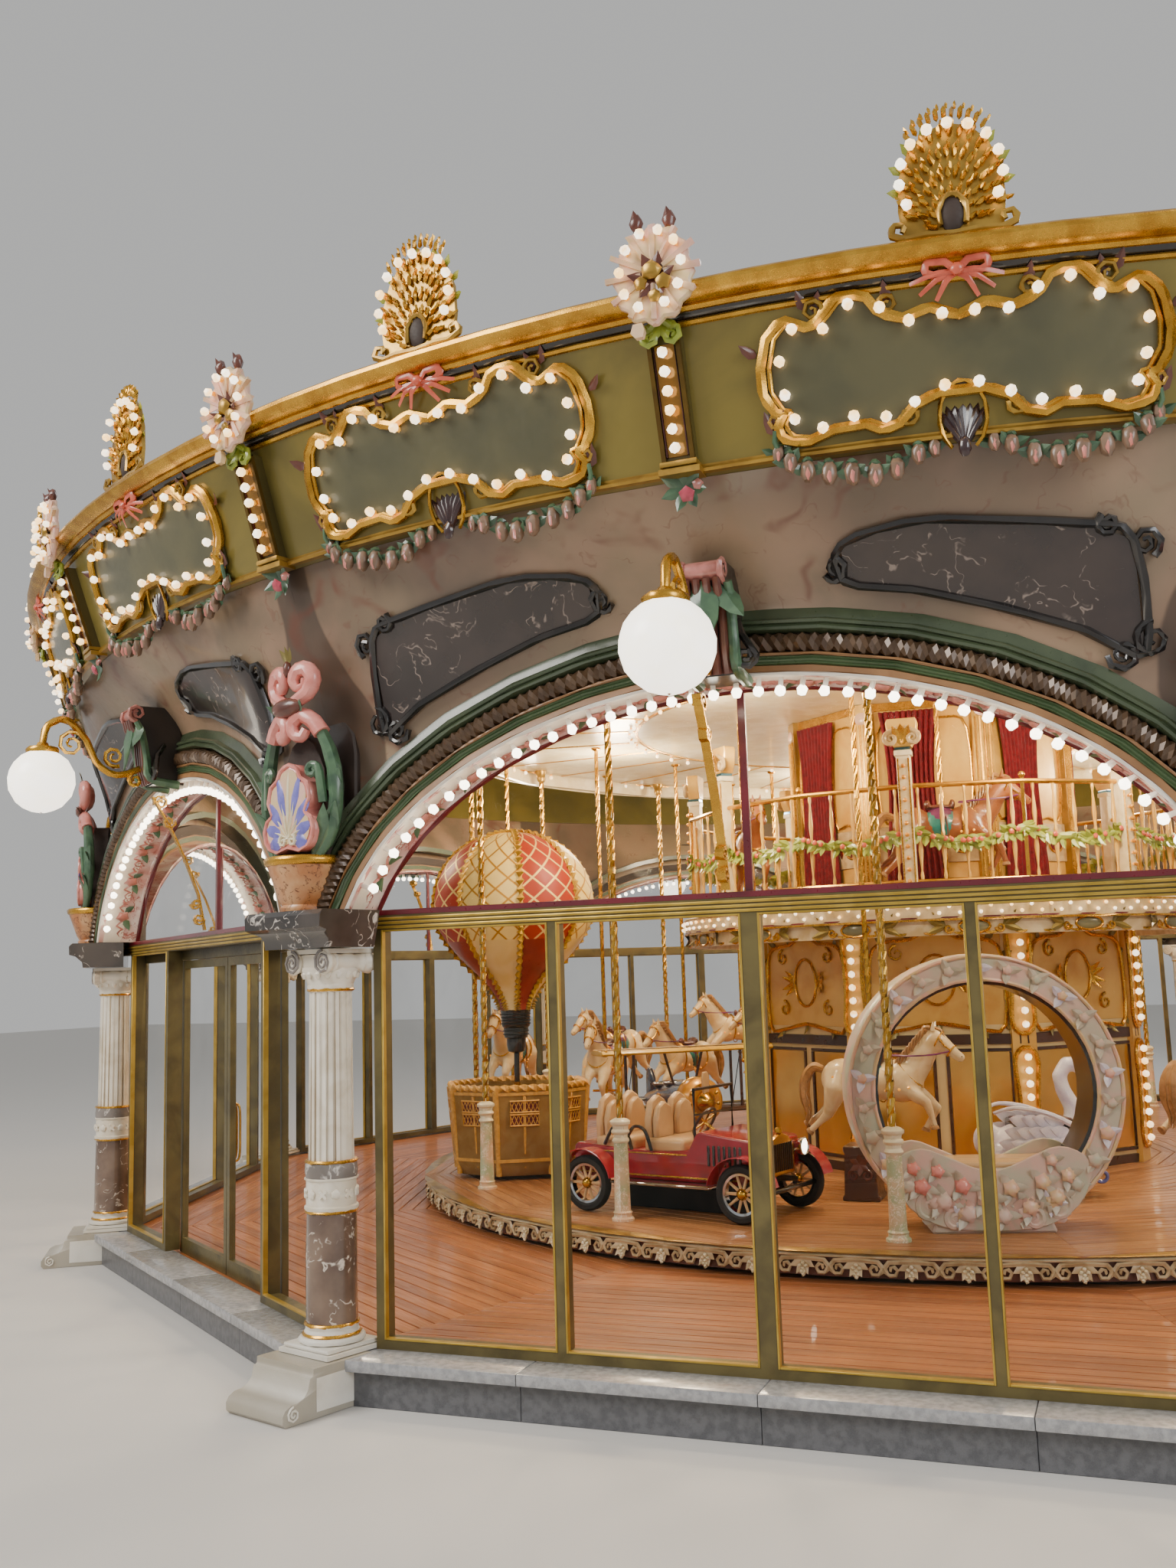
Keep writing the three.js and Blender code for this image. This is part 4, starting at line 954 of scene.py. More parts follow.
def make_curb():
    piece = Piece("granite_curb")
    half = COPING_OUTER * math.tan(math.radians(HALF_BAY)) + 0.01
    stones = 4
    for i in range(stones):
        low, high = -half + 2 * half * i / stones, -half + 2 * half * (i + 1) / stones
        coping = block((low + 0.0015, -COPING_OUTER, RISER_TOP),
                       (high - 0.0015, -CURB_INNER - 0.002, COPING_TOP), 0.006, 2)
        riser = block((low + 0.001, -RISER_OUTER, 0),
                      (high - 0.001, -CURB_INNER - 0.01, RISER_TOP - 0.001), 0.003)
        piece.add(mitred(coping), "granite", *around(BAYS))
        piece.add(mitred(riser), "dark granite", *around(BAYS))
    piece.object("pavilion", "granite", ("curb",))


def make_glazing():
    """Finishes the frames, glass and doors, and adds the gilt beads and the ribbed transom."""
    for name, finish in (("lower_glass_front", "glass"), ("lower_glass_back", "glass"),
                         ("lunette_glass", "glass"), ("door_pane_left", "glass"),
                         ("door_pane_right", "glass"), ("door_leaf_left", "bronze frame"),
                         ("door_leaf_right", "bronze frame"), ("frame_front", "bronze frame"),
                         ("frame_door", "bronze frame"), ("frame_left", "bronze frame"),
                         ("frame_back", "bronze frame"), ("mast", "cream")):
        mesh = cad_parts[name].data
        mesh.materials.clear()
        mesh.materials.append(finish_named(finish))
    trim = Piece("glazing_beads")
    reach = FRAME_FACE * math.tan(math.radians(HALF_BAY))
    rib_heights = (2.524, 2.548, 2.572)
    for z in rib_heights:
        rib = block((-reach, -FRAME_FACE - 0.008, z), (reach, -FRAME_FACE + 0.004, z + 0.016), 0.004, 2)
        trim.add(mitred(rib), "frame gold", *around(BAYS))
    line = block((-reach, -FRAME_FACE - 0.003, 2.600), (reach, -FRAME_FACE + 0.004, 2.6295), 0.001)
    trim.add(mitred(line), "burgundy", *around(BAYS))
    panes = ((-2.1439, -1.1219), (-1.0719, -0.045), (0.045, 1.0719), (1.1219, 2.1439))
    for i, turn in enumerate(around(BAYS)):
        for low, high in (panes[0], panes[3]) if i == 1 else panes:
            bead = 0.011
            top, bottom, face = TRANSOM[0], 0.2963, -FRAME_FACE - 0.005
            for a, b in (((low, bottom), (low + bead, top)), ((high - bead, bottom), (high, top)),
                         ((low + bead, bottom), (high - bead, bottom + bead)),
                         ((low + bead, top - bead), (high - bead, top))):
                trim.add(block((a[0], face, a[1]), (b[0], -FRAME_FACE + 0.03, b[1]), 0.002), "frame gold",
                         turn)
    trim.object("pavilion", "bronze_frame")
    for name, side in (("left", -1), ("right", 1)):
        pull = Piece(f"door_pull_{name}")
        x = side * 0.036
        grip = [(x, -7.249, 1.0), (x, -7.215, 1.03), (x, -7.21, 1.2), (x, -7.215, 1.37), (x, -7.249, 1.4)]
        pull.add(tube(curve(grip, 5), 0.009, 8), "brass", spun(36))
        for z in (1.0, 1.4):
            pull.add(bar((x, -7.2505, z), (x, -7.244, z), 0.017, 0.014, 12), "brass", spun(36))
        pull.object(f"door_{name}", "bronze_frame")


def arch_place(share, extra, out):
    """Point of a moulding that stands off the arch opening by extra, at a distance out of the pavilion."""
    start = math.asin((TRANSOM[1] + 0.0006 - ARCH_Z) / (ARCH_RISE + extra))
    angle = blended(start, math.pi - start, share)
    return Vector(((ARCH_HALF + extra) * math.cos(angle), -out,
                   ARCH_Z + (ARCH_RISE + extra) * math.sin(angle)))


def wall_line(x, z):
    """Distance out of the wall's face: flat below, coved above the arch."""
    azimuth = x / 7.9
    flat = min(WALL_APOTHEM / math.cos(azimuth), CORNER_LINE)
    half = ARCH_HALF + ARCH_BAND
    crown = ARCH_Z + (ARCH_RISE + ARCH_BAND) * math.sqrt(max(1 - (x / half) ** 2, 0))
    start = max(COVE_START, crown - 0.12)
    full = eased(WALL_TOP, start, WALL_TOP + 0.35)
    return flat + (WALL_TOP_LINE - flat) * eased(z, start, WALL_TOP + 0.35) / full


def on_wall(x, z, proud=0.0):
    out = wall_line(x, z) + proud
    return Vector((out * math.sin(x / 7.9), -out * math.cos(x / 7.9), z))


def make_wall_sheet():
    """Coved wall of a bay, cut away behind the arch mouldings and at the corner niches."""
    columns, rows = 64, 26
    edge = math.radians(HALF_BAY - 0.001) * 7.9
    niche = edge - math.asin(0.215 / CORNER_LINE) * 7.9
    low = TRANSOM[1] + 0.0003
    niche_row = round((NICHE_TOP - low) / (WALL_TOP - low) * rows)

    def place(u, v):
        i, j = round(u * columns), round(v * rows)
        x = {0: -edge, 1: -niche, columns - 1: niche,
             columns: edge}.get(i, blended(-niche, niche, (i - 1) / (columns - 2)))
        z = NICHE_TOP if j == niche_row else blended(low, WALL_TOP, v)
        return Vector((x, z, 0))

    shape = bent_grid(columns, rows, place)
    gone = []
    for face in shape.faces:
        x, z, _ = face.calc_center_median()
        inside = (x / (ARCH_HALF + 0.15)) ** 2 + ((z - ARCH_Z) / (ARCH_RISE + 0.15)) ** 2 < 1
        if inside or (abs(x) > niche and z < NICHE_TOP):
            gone.append(face)
    bmesh.ops.delete(shape, geom=gone, context="FACES")
    made = bmesh.ops.extrude_face_region(shape, geom=list(shape.faces), use_keep_orig=True)["geom"]
    back = {g for g in made if isinstance(g, bmesh.types.BMVert)}
    for vert in shape.verts:
        vert.co = on_wall(vert.co.x, vert.co.y, -0.07 if vert in back else 0.0)
    return outward(shape)


def make_plaque(piece):
    """Dark marbled plaque in a scrolled frame on each spandrel."""
    lower = [(2.00, 3.60), (1.72, 3.74), (1.36, 3.89), (1.00, 4.01), (0.66, 4.09)]
    upper = [(1.95, 4.10), (1.70, 4.19), (1.36, 4.25), (1.00, 4.29), (0.66, 4.24)]
    for side in (-1, 1):
        def place(u, v):
            k = u * (len(lower) - 1)
            i = min(int(k), len(lower) - 2)
            a = [blended(lower[i][n], lower[i + 1][n], k - i) for n in (0, 1)]
            b = [blended(upper[i][n], upper[i + 1][n], k - i) for n in (0, 1)]
            return Vector((side * blended(a[0], b[0], v), blended(a[1], b[1], v), 0))

        sheet = bent_grid(16, 6, place)
        made = bmesh.ops.extrude_face_region(sheet, geom=list(sheet.faces), use_keep_orig=True)["geom"]
        back = {g for g in made if isinstance(g, bmesh.types.BMVert)}
        for vert in sheet.verts:
            vert.co = on_wall(vert.co.x, vert.co.y, 0.004 if vert in back else 0.022)
        piece.add(outward(sheet), "plaque marble")
        rim = [on_wall(side * x, z, 0.024) for x, z in
               [(p[0], p[1]) for p in curve([(x, z, 0) for x, z in lower + upper[::-1]], 4, closed=True)]]
        piece.add(tube(rim, 0.022, 6, closed=True), "black lacquer")
        for centre, start, size in (((2.03, 3.66), 90, 0.085), ((1.90, 3.60), 180, 0.075),
                                    ((2.0, 4.08), -60, 0.07),
                                    ((0.62, 4.15), 200, 0.06), ((1.84, 4.17), 120, 0.05)):
            coil = spiral(centre, size, 0.012, start, 1.6, 22)
            piece.add(tube([on_wall(side * p.x, p.y, 0.03) for p in coil], 0.018, 6, widths=tapering(0.5)),
                      "black lacquer")


def make_archivolt(piece):
    """Mouldings round the arch, from the wall inwards, then the soffit and the twisted rope."""
    back = 7.40
    bands = (
        ("moulding green", ((0.345, back), (0.345, 7.668), (0.310, 7.682), (0.285, 7.688), (0.285, back))),
        ("moulding green",
         ((0.287, 7.6), (0.287, 7.700), (0.276, 7.714), (0.262, 7.712), (0.256, 7.700), (0.250, 7.704),
                            (0.243, 7.716), (0.228, 7.716), (0.218, 7.702), (0.212, 7.690), (0.212, 7.6))),
        # Dark channel behind the rope, painted as shade
        ("niche", ((0.212, 7.5), (0.212, 7.672), (0.107, 7.672), (0.107, 7.5))),
        ("terracotta", ((0.112, 7.5), (0.112, 7.708), (0.104, 7.714), (0.098, 7.706), (0.098, 7.5))),
        ("ridge green",
         ((0.098, 7.5), (0.098, 7.700), (0.090, 7.711), (0.082, 7.701), (0.074, 7.711), (0.064, 7.700),
                         (0.056, 7.708), (0.050, 7.696), (0.050, 7.5))),
        ("terracotta",
         ((0.050, 7.5), (0.050, 7.692), (0.046, 7.702), (0.016, 7.706), (0.012, 7.694), (0.012, 7.5))),
        ("white edge",
         ((0.014, 7.5), (0.014, 7.700), (0.008, 7.710), (-0.004, 7.706), (-0.008, 7.690), (0.0, 7.5))),
        ("soffit marble", ((0.022, 7.357), (-0.004, 7.357), (-0.004, 7.400), (0.004, 7.410), (0.004, 7.650),
                           (-0.006, 7.660), (-0.006, 7.694), (0.022, 7.694))),
        ("burgundy", ((0.004, 7.357), (-0.016, 7.357), (-0.018, 7.372), (-0.010, 7.388), (0.004, 7.388))),
    )
    for finish, profile in bands:
        piece.add(run(profile, arch_place, 60), finish)
    path = [arch_place(i / 300, 0.160, 7.690) for i in range(301)]
    lobed = [(0.047 * (1 + 0.13 * math.cos(3 * TURN * i / 9)) * math.cos(TURN * i / 9),
              0.047 * (1 + 0.13 * math.cos(3 * TURN * i / 9)) * math.sin(TURN * i / 9)) for i in range(9)]
    piece.add(sweep(lobed, path, twist=36, normal=(0, 1, 0)), "rope bronze")


def soffit_frame(angle, extra, out):
    """Place on the soffit whose +Z looks in towards the middle of the arch."""
    point = Vector(((ARCH_HALF + extra) * math.cos(angle), -out,
                    ARCH_Z + (ARCH_RISE + extra) * math.sin(angle)))
    inwards = Vector((-math.cos(angle) / (ARCH_HALF + extra), 0, -math.sin(angle) / (ARCH_RISE + extra)))
    return facing(point, inwards, (0, 1, 0))


def arch_angles(count, half, rise, low):
    """Angles that space points evenly along an ellipse above a height."""
    start = math.asin(low / rise)
    fine = [blended(start, math.pi - start, i / 600) for i in range(601)]
    points = [Vector((half * math.cos(a), rise * math.sin(a))) for a in fine]
    runs = [0.0]
    for a, b in zip(points, points[1:]):
        runs.append(runs[-1] + (b - a).length)
    angles, k = [], 0
    for i in range(count):
        goal = runs[-1] * (i + 0.5) / count
        while runs[k] < goal:
            k += 1
        angles.append(fine[k])
    return angles


def make_soffit_details(piece):
    bulbs = []
    for angle in arch_angles(42, 2.153, 1.26, 0.275 + 0.06):
        bulbs.append(facing((2.153 * math.cos(angle), -7.66, 2.355 + 1.26 * math.sin(angle)),
                            (-math.cos(angle), 0, -math.sin(angle)), (0, 1, 0)))
    piece.add(ball((0, 0, 0), 0.029, 8, 6), "cool bulb", *bulbs)
    piece.add(bar((0, 0, -0.10), (0, 0, -0.02), 0.014, 0.018, 6), "white edge", *bulbs)
    places = [soffit_frame(a, -0.004, 7.53) for a in arch_angles(13, ARCH_HALF, ARCH_RISE, 0.42)]
    piece.add(rose(0.05), "rose pink", *places)
    curls = Piece("curls")
    for side in (-1, 1):
        coil = [(side * x, z) for x, z in spiral((0.17, 0.02), 0.045, 0.008, 180, 1.3, 14)]
        stem = [(side * 0.05, 0.0), (side * 0.09, -0.04)]
        path = [Vector((x, z, 0.006)) for x, z in stem + coil]
        curls.add(tube(path, 0.010, 5, widths=tapering(0.5)), "rose pink")
        curls.add(leaf(0.10, 0.03), "leaf green", turned("Z", side * 60) @ moved(0, 0.04, 0.004))
    for place in places:
        piece.join(curls, place)


def make_keystone(piece):
    """Ribbed keystone with its leaf and curls, the lamp on its bracket, and the brace below."""
    core = [(7.60, 3.66), (7.87, 3.66), (7.91, 3.80), (7.93, 3.98), (8.00, 4.07), (7.99, 4.22), (7.72, 4.22)]
    piece.add(side_cut(core, 0.112, 0.012, 2), "shade brown")
    for x in (-0.078, -0.026, 0.026, 0.078):
        rib = [(x, -7.885, 3.67), (x, -7.925, 3.80), (x, -7.945, 3.97), (x, -8.01, 4.06), (x, -8.03, 4.12)]
        piece.add(tube(curve(rib, 4), 0.026, 7, widths=tapering(0.8)), "bud brown")
    for x in (-0.125, 0.125):
        side = [(x, -7.70, 3.66), (x, -7.90, 3.70), (x, -7.925, 3.85), (x, -7.96, 4.02), (x, -8.00, 4.10)]
        piece.add(tube(curve(side, 4), 0.032, 8, widths=tapering(0.7)), "leaf green")
    for x in (-0.10, 0.10):
        coil = spiral((7.99, 4.165), 0.062, 0.012, -90, 1.6, 22)
        piece.add(tube([Vector((x, -p.x, p.y)) for p in coil], 0.018, 6, widths=tapering(0.6)), "rose pink")
    piece.add(bar((-0.10, -7.99, 4.165), (0.10, -7.99, 4.165), 0.05, 0.05, 14, 0.01), "rose pink")
    droop = facing((0, -8.02, 4.11), (0, -1, 0.35), (0, 0, -1))
    piece.add(leaf(0.34, 0.085, -0.25, 0.35, 8), "leaf green", droop)
    for side in (-1, 1):
        piece.add(leaf(0.22, 0.06, 0.3, 0.3), "leaf green",
                  facing((side * 0.09, -8.0, 4.09), (side * 0.5, -1, 0.2), (side * 0.5, 0, -1)))
        coil = spiral((side * 0.17, 3.74), 0.055, 0.012, 90 - side * 90, side * -1.4, 18)
        piece.add(tube([Vector((side * 0.11, -7.80, 3.95)), Vector((side * 0.15, -7.86, 3.86))]
                       + [Vector((p.x, -7.89, p.y)) for p in coil], 0.02, 6, widths=tapering(0.5)),
                  "black lacquer")
    neck = [(0, -7.90, 3.80), (0, -8.09, 3.73), (0, -8.23, 3.80), (0, -8.32, 3.98), (0, -8.45, 4.10),
            (0, -8.57, 4.05),
            (0, -8.60, 3.92)]
    piece.add(tube(curve(neck, 6), 0.024, 8), "gilding")
    for centre, outer, start, turns in (((8.41, 3.93), 0.095, 140, -1.7), ((8.12, 3.86), 0.075, -120, 1.6),
                                        ((7.97, 3.70), 0.05, 60, -1.3)):
        coil = spiral(centre, outer, 0.015, start, turns, 26)
        piece.add(tube([Vector((0, -p.x, p.y)) for p in coil], 0.015, 6, widths=tapering(0.5)), "gilding")
    piece.add(ball((0, -8.60, 3.662), GLOBE_RADIUS, 24, 16), "globe")
    cap = lathe([(0, 3.93), (0.03, 3.93), (0.045, 3.905), (0.10, 3.895), (0.112, 3.875), (0.105, 3.855),
                 (0.06, 3.862),
                 (0, 3.865)], 20)
    piece.add(cap, "gilding", moved(0, -8.60, 0))
    piece.add(ball((0, -8.60, 3.455), (0.02, 0.02, 0.014), 10, 6), "gilding")
    flat = [(-0.024, -0.006), (0.024, -0.006), (0.024, 0.006), (-0.024, 0.006)]
    strut = curve([(-0.11, -7.432, 2.64), (-0.11, -7.50, 2.95), (-0.11, -7.66, 3.32),
                   (-0.11, -7.82, 3.60)], 6)
    piece.add(sweep(flat, strut, normal=(1, 0, 0)), "gilding")
    for centre, outer, start, turns in (((7.475, 2.72), 0.045, 180, 1.5), ((7.50, 2.83), 0.04, 0, -1.5),
                                        ((7.76, 3.56), 0.055, -20, 1.6), ((7.70, 3.42), 0.05, 160, 1.5)):
        coil = spiral(centre, outer, 0.01, start, turns, 20)
        piece.add(sweep(flat, [Vector((-0.11, -p.x, p.y)) for p in coil], normal=(1, 0, 0)), "gilding")
    piece.add(block((-0.022, -7.385, 2.6306), (0.022, -7.357, 3.688), 0.006, 2), "burgundy")


def make_bays():
    master = Piece("bay")
    master.add(make_wall_sheet(), "wall marble")
    make_plaque(master)
    make_archivolt(master)
    make_soffit_details(master)
    make_keystone(master)
    master.thin(KEPT_BAY)
    for i, turn in enumerate(around(BAYS)):
        Piece(f"marbled_bay_{i + 1}").join(master, turn).object("pavilion", "fascia_marble",
                                                                (f"arch_bay_{i + 1}",))
    master.bm.free()


def make_column_shaft(piece):
    """Base, marble shaft, relief band, fluted shaft and scrolled capital."""
    here = moved(0, -COLUMN_LINE, 0)
    base = [(0, 0.299), (0.172, 0.299), (0.182, 0.306), (0.184, 0.318), (0.176, 0.330), (0.163, 0.334),
            (0, 0.334)]
    piece.add(lathe(base, 32), "white stone", here)
    for z, radius in ((0.341, 0.161), (0.392, 0.150), (0.985, 0.146), (1.252, 0.146), (2.192, 0.131)):
        ring = [(radius - 0.03, z - 0.009), (radius - 0.003, z - 0.009), (radius + 0.004, z),
                (radius - 0.003, z + 0.009),
                (radius - 0.03, z + 0.009)]
        piece.add(lathe(ring, 32, closed=True), "gilding", here)
    piece.add(lathe([(0, 0.334), (0.158, 0.334), (0.146, 0.358), (0.144, 0.372), (0.150, 0.388),
                     (0.146, 0.396),
                     (0, 0.396)], 32), "white stone", here)
    piece.add(lathe([(0, 0.396), (0.140, 0.396), (0.142, 0.55), (0.141, 0.80), (0.137, 0.985), (0, 0.985)],
                    32),
              "shaft marble", here)
    piece.add(lathe([(0, 0.985), (0.140, 0.985), (0.150, 1.0), (0.150, 1.012), (0.138, 1.018), (0.138, 1.150),
                     (0.148, 1.156), (0.148, 1.166), (0, 1.166)], 32), "carved white", here)
    piece.add(lathe([(0, 1.166), (0.143, 1.166), (0.146, 1.205), (0.143, 1.245), (0, 1.245)], 32),
              "band marble", here)
    band = [here @ spun(k * 30) @ facing((0, -0.138, 1.084), (0, -1, 0)) for k in range(12)]
    piece.add(rose(0.030), "carved white", *band[::2])
    cross = block((-0.030, -0.009, -0.002), (0.030, 0.009, 0.012), 0.003)
    piece.add(cross, "carved white", *[p @ turned("Z", a) for p in band[1::2] for a in (45, -45)])
    shaft = bmesh.new()
    bmesh.ops.create_cone(shaft, cap_ends=True, segments=40, radius1=0.126, radius2=0.119, depth=0.92,
                          matrix=moved(0, -COLUMN_LINE, 1.720))
    sides = sorted((f for f in shaft.faces if len(f.verts) == 4),
                   key=lambda f: math.atan2(f.calc_center_median().y + COLUMN_LINE, f.calc_center_median().x))
    bmesh.ops.inset_individual(shaft, faces=sides[::2], thickness=0.003, depth=-0.012)
    piece.add(shaft, "carved white")
    piece.add(lathe([(0, 2.18), (0.122, 2.18), (0.132, 2.205), (0.128, 2.222), (0.145, 2.262), (0.166, 2.300),
                     (0.166, 2.318), (0, 2.318)], 32), "carved white", here)
    eggs = [here @ spun(k * 22.5) @ moved(0, -0.150, 2.280) for k in range(16)]
    piece.add(ball((0, 0, 0), (0.020, 0.016, 0.028), 8, 5), "carved white", *eggs)
    for side in (-1, 1):
        roll = lathe([(0, -0.168), (0.062, -0.168), (0.070, -0.155), (0.060, -0.135), (0.052, -0.11),
                      (0.058, -0.10),
                      (0.050, -0.09), (0.043, -0.05), (0.050, -0.02), (0.050, 0.02), (0.043, 0.05),
                      (0.050, 0.09),
                      (0.058, 0.10), (0.052, 0.11), (0.060, 0.135), (0.070, 0.155), (0.062, 0.168),
                      (0, 0.168)], 16)
        piece.add(roll, "carved white", here @ moved(side * 0.132, 0, 2.345) @ turned("X", 90))
        for face in (-1, 1):
            coil = [Vector((side * (0.132 + p.x), face * 0.172, 2.345 + p.y))
                    for p in spiral((0, 0), 0.066, 0.008, 90, 2.4, 34)]
            piece.add(tube(coil, 0.009, 6, widths=tapering(0.6)),
                      "band marble" if face < 0 else "carved white", here)
    piece.add(block((-0.132, -COLUMN_LINE - 0.15, 2.315), (0.132, -COLUMN_LINE + 0.15, 2.392), 0.012, 2),
              "carved white")
    piece.add(block((-0.182, -COLUMN_LINE - 0.168, 2.390), (0.182, -COLUMN_LINE + 0.168, 2.4205), 0.008,
                    2), "carved white")


def make_crown(piece):
    """Impost, dark niche, marbled pot, palmette and the two pairs of scrolls above it."""
    impost = [(7.790, 2.4205), (8.120, 2.4205), (8.125, 2.470), (8.155, 2.500), (8.175, 2.515),
              (8.225, 2.530),
              (8.228, 2.600), (8.205, 2.6298), (7.790, 2.6298)]
    slab = side_cut(impost, 0.328, 0.006)
    for vert in slab.verts:
        if vert.co.z < 2.505:
            vert.co.x *= 0.86
    piece.add(slab, "impost marble")
    # Niche lining in dark brown: painted shade, matched to the shade painted on the wall
    lining = [(0.2148, 2.6304), (0.234, 2.6304), (0.234, NICHE_TOP + 0.02), (0, NICHE_TOP + 0.02),
              (0, NICHE_TOP - 0.002),
              (0.2148, NICHE_TOP - 0.002)]
    piece.add(lathe(lining, 16, closed=True, turn=math.pi), "niche", moved(0, -CORNER_LINE, 0))
    here = moved(0, -8.035, 0)
    pot = [(0, 2.630), (0.150, 2.630), (0.155, 2.650), (0.145, 2.665), (0.165, 2.700), (0.192, 2.780),
           (0.220, 2.860),
           (0.228, 2.885), (0, 2.885)]
    piece.add(lathe(pot, 32), "pot marble", here)
    rim = [(0.200, 2.880), (0.228, 2.880), (0.243, 2.892), (0.246, 2.918), (0.232, 2.932), (0.200, 2.930)]
    piece.add(lathe(rim, 32, closed=True), "gilding", here)
    # Mouth of the urn in dark brown: painted shade
    piece.add(lathe([(0, 2.915), (0.205, 2.915), (0.205, 2.926), (0, 2.926)], 32), "niche", here)
    # Recess behind the palmette in dark brown: painted shade
    recess = [(-0.205, 2.90), (0.205, 2.90), (0.215, 3.20), (0.185, 3.42), (0.10, 3.58), (0, 3.64),
              (-0.10, 3.58),
              (-0.185, 3.42), (-0.215, 3.20)]
    piece.add(plate(recess, 7.94, 8.070, 0.010), "niche")
    # Dark board behind the palmette and stems: a sheet of painted shade
    board = [(-0.222, 2.640), (0.222, 2.640), (0.240, 3.00), (0.245, 3.36), (0.232, 3.60), (0.150, 3.72),
             (0, 3.76),
             (-0.150, 3.72), (-0.232, 3.60), (-0.245, 3.36), (-0.240, 3.00)]
    piece.add(plate([(p.x, p.y) for p in curve([(x, z, 0) for x, z in board], 3, closed=True)], 7.74,
                    7.890, 0.012), "shade brown")
    half = [(0, 2.975), (0.075, 2.955), (0.140, 2.985), (0.170, 3.060), (0.155, 3.135), (0.115, 3.175),
            (0.142, 3.250),
            (0.128, 3.335), (0.082, 3.375), (0.055, 3.430), (0, 3.458)]
    half = [(1.28 * x, z) for x, z in half]
    whole = half + [(-x, z) for x, z in half[-2:0:-1]]
    rim = [(p.x, p.y) for p in curve([(x, z, 0) for x, z in whole], 4, closed=True)]
    piece.add(plate(rim, 8.065, 8.170, 0.008), "petal pink")
    piece.add(tube([(x * 0.97, -8.172, 3.20 + (z - 3.20) * 0.97) for x, z in rim], 0.012, 6, closed=True),
              "petal pink")
    piece.add(plate([(x * 0.86, 3.20 + (z - 3.20) * 0.88) for x, z in rim], 8.165, 8.176, 0.003),
              "shell pink")
    root = Vector((0, -8.172, 3.035))
    for angle, size, width in ((-102, 0.165, 0.044), (-70, 0.205, 0.038), (-40, 0.275, 0.036),
                               (-15, 0.360, 0.032),
                               (15, 0.360, 0.032), (40, 0.275, 0.036), (70, 0.205, 0.038),
                               (102, 0.165, 0.044)):
        direction = Vector((math.sin(math.radians(angle)), 0, math.cos(math.radians(angle))))
        turn = turned("Y", angle)
        piece.add(ball(root + direction * size * 0.66, (width, 0.012, size * 0.34), 10, 7, turn),
                  "petal violet")
        piece.add(ball(root + direction * size * 0.30, (0.009, 0.016, size * 0.34), 6, 6, turn), "cream")
    piece.add(ball(root + Vector((0, 0, 0.19)), (0.012, 0.016, 0.19), 8, 8), "cream")
    for side in (-1, 1):
        piece.add(tube([Vector((side * p.x, -8.180,
                                p.y)) for p in spiral((0.040, 3.020), 0.034, 0.008, 90, -1.2, 14)], 0.011, 6,
                       widths=tapering(0.6)), "cream")

    def place(x, z, proud=0.035):
        out = wall_line(7.9 * math.radians(HALF_BAY), z) - 0.32 * abs(x) + proud
        return Vector((x, -max(out, 8.135 - 0.30 * abs(x) + proud), z))

    for side in (-1, 1):
        stem = [(0.19, 2.93), (0.265, 3.04), (0.300, 3.22), (0.290, 3.40), (0.240, 3.56), (0.165, 3.68),
                (0.085, 3.725),
                (0.030, 3.685), (0.035, 3.625), (0.085, 3.605), (0.115, 3.645)]
        path = [place(side * p.x, p.y) for p in curve([(x, z, 0) for x, z in stem], 5)]
        cut = len(path) * 4 // 9
        piece.add(tube(path[:cut + 1], 0.034, 8, widths=lambda s: 0.7 + 0.6 * math.sin(math.pi * s * 0.8)),
                  "leaf green")
        piece.add(tube(path[cut:], 0.050, 9, widths=tapering(0.62)), "petal pink")
        curl = spiral((0.185, 3.40), 0.040, 0.012, 0, 1.2, 14)
        piece.add(tube([place(side * 0.24, 3.22, 0.06), place(side * 0.235, 3.33, 0.07)]
                       + [place(side * p.x, p.y, 0.075) for p in curl], 0.026, 7, widths=tapering(0.6)),
                  "leaf green")
        for (x, z), angle, size in (((0.17, 2.93), 22, 0.30), ((0.215, 3.02), 34, 0.24),
                                    ((0.245, 3.30), 50, 0.15)):
            blade = facing(place(side * x, z, 0.05), (side * 0.3, -1, 0),
                           (0, 0, 1)) @ turned("Z", -side * angle)
            piece.add(leaf(size, 0.060, 0.25, 0.3, 8), "leaf green", blade)
        upper = [(0.02, 3.79), (0.075, 3.815), (0.140, 3.86), (0.165, 3.93), (0.130, 3.985),
                 (0.070, 3.985), (0.040, 3.935),
                 (0.062, 3.885), (0.105, 3.895), (0.110, 3.935)]
        path = [place(side * p.x, p.y, 0.045) for p in curve([(x, z, 0) for x, z in upper], 5)]
        piece.add(tube(path, 0.046, 9,
                       widths=lambda s: 0.70 + 0.45 * math.sin(math.pi * min(s * 1.2, 1)) - 0.25 * s),
                  "petal pink")
        piece.add(leaf(0.16, 0.04, 0.4, 0.3), "leaf green",
                  facing(place(side * 0.02, 3.70, 0.05), (side * 0.2, -1, 0),
                         (0, 0, 1)) @ turned("Z", -side * 50))
    piece.add(ball(place(0, 3.775, 0.05), (0.125, 0.045, 0.055), 14, 8), "bud brown")
    piece.add(ball(place(0, 4.00, 0.045), (0.026, 0.026, 0.050), 10, 7), "bud brown")
    for angle in (-28, 0, 28):
        sprout = facing(place(0, 4.03, 0.05), (0, -1, 0), (0, 0, 1)) @ turned("Z", angle)
        piece.add(leaf(0.10, 0.022, 0.2, 0.3), "olive gold", sprout)


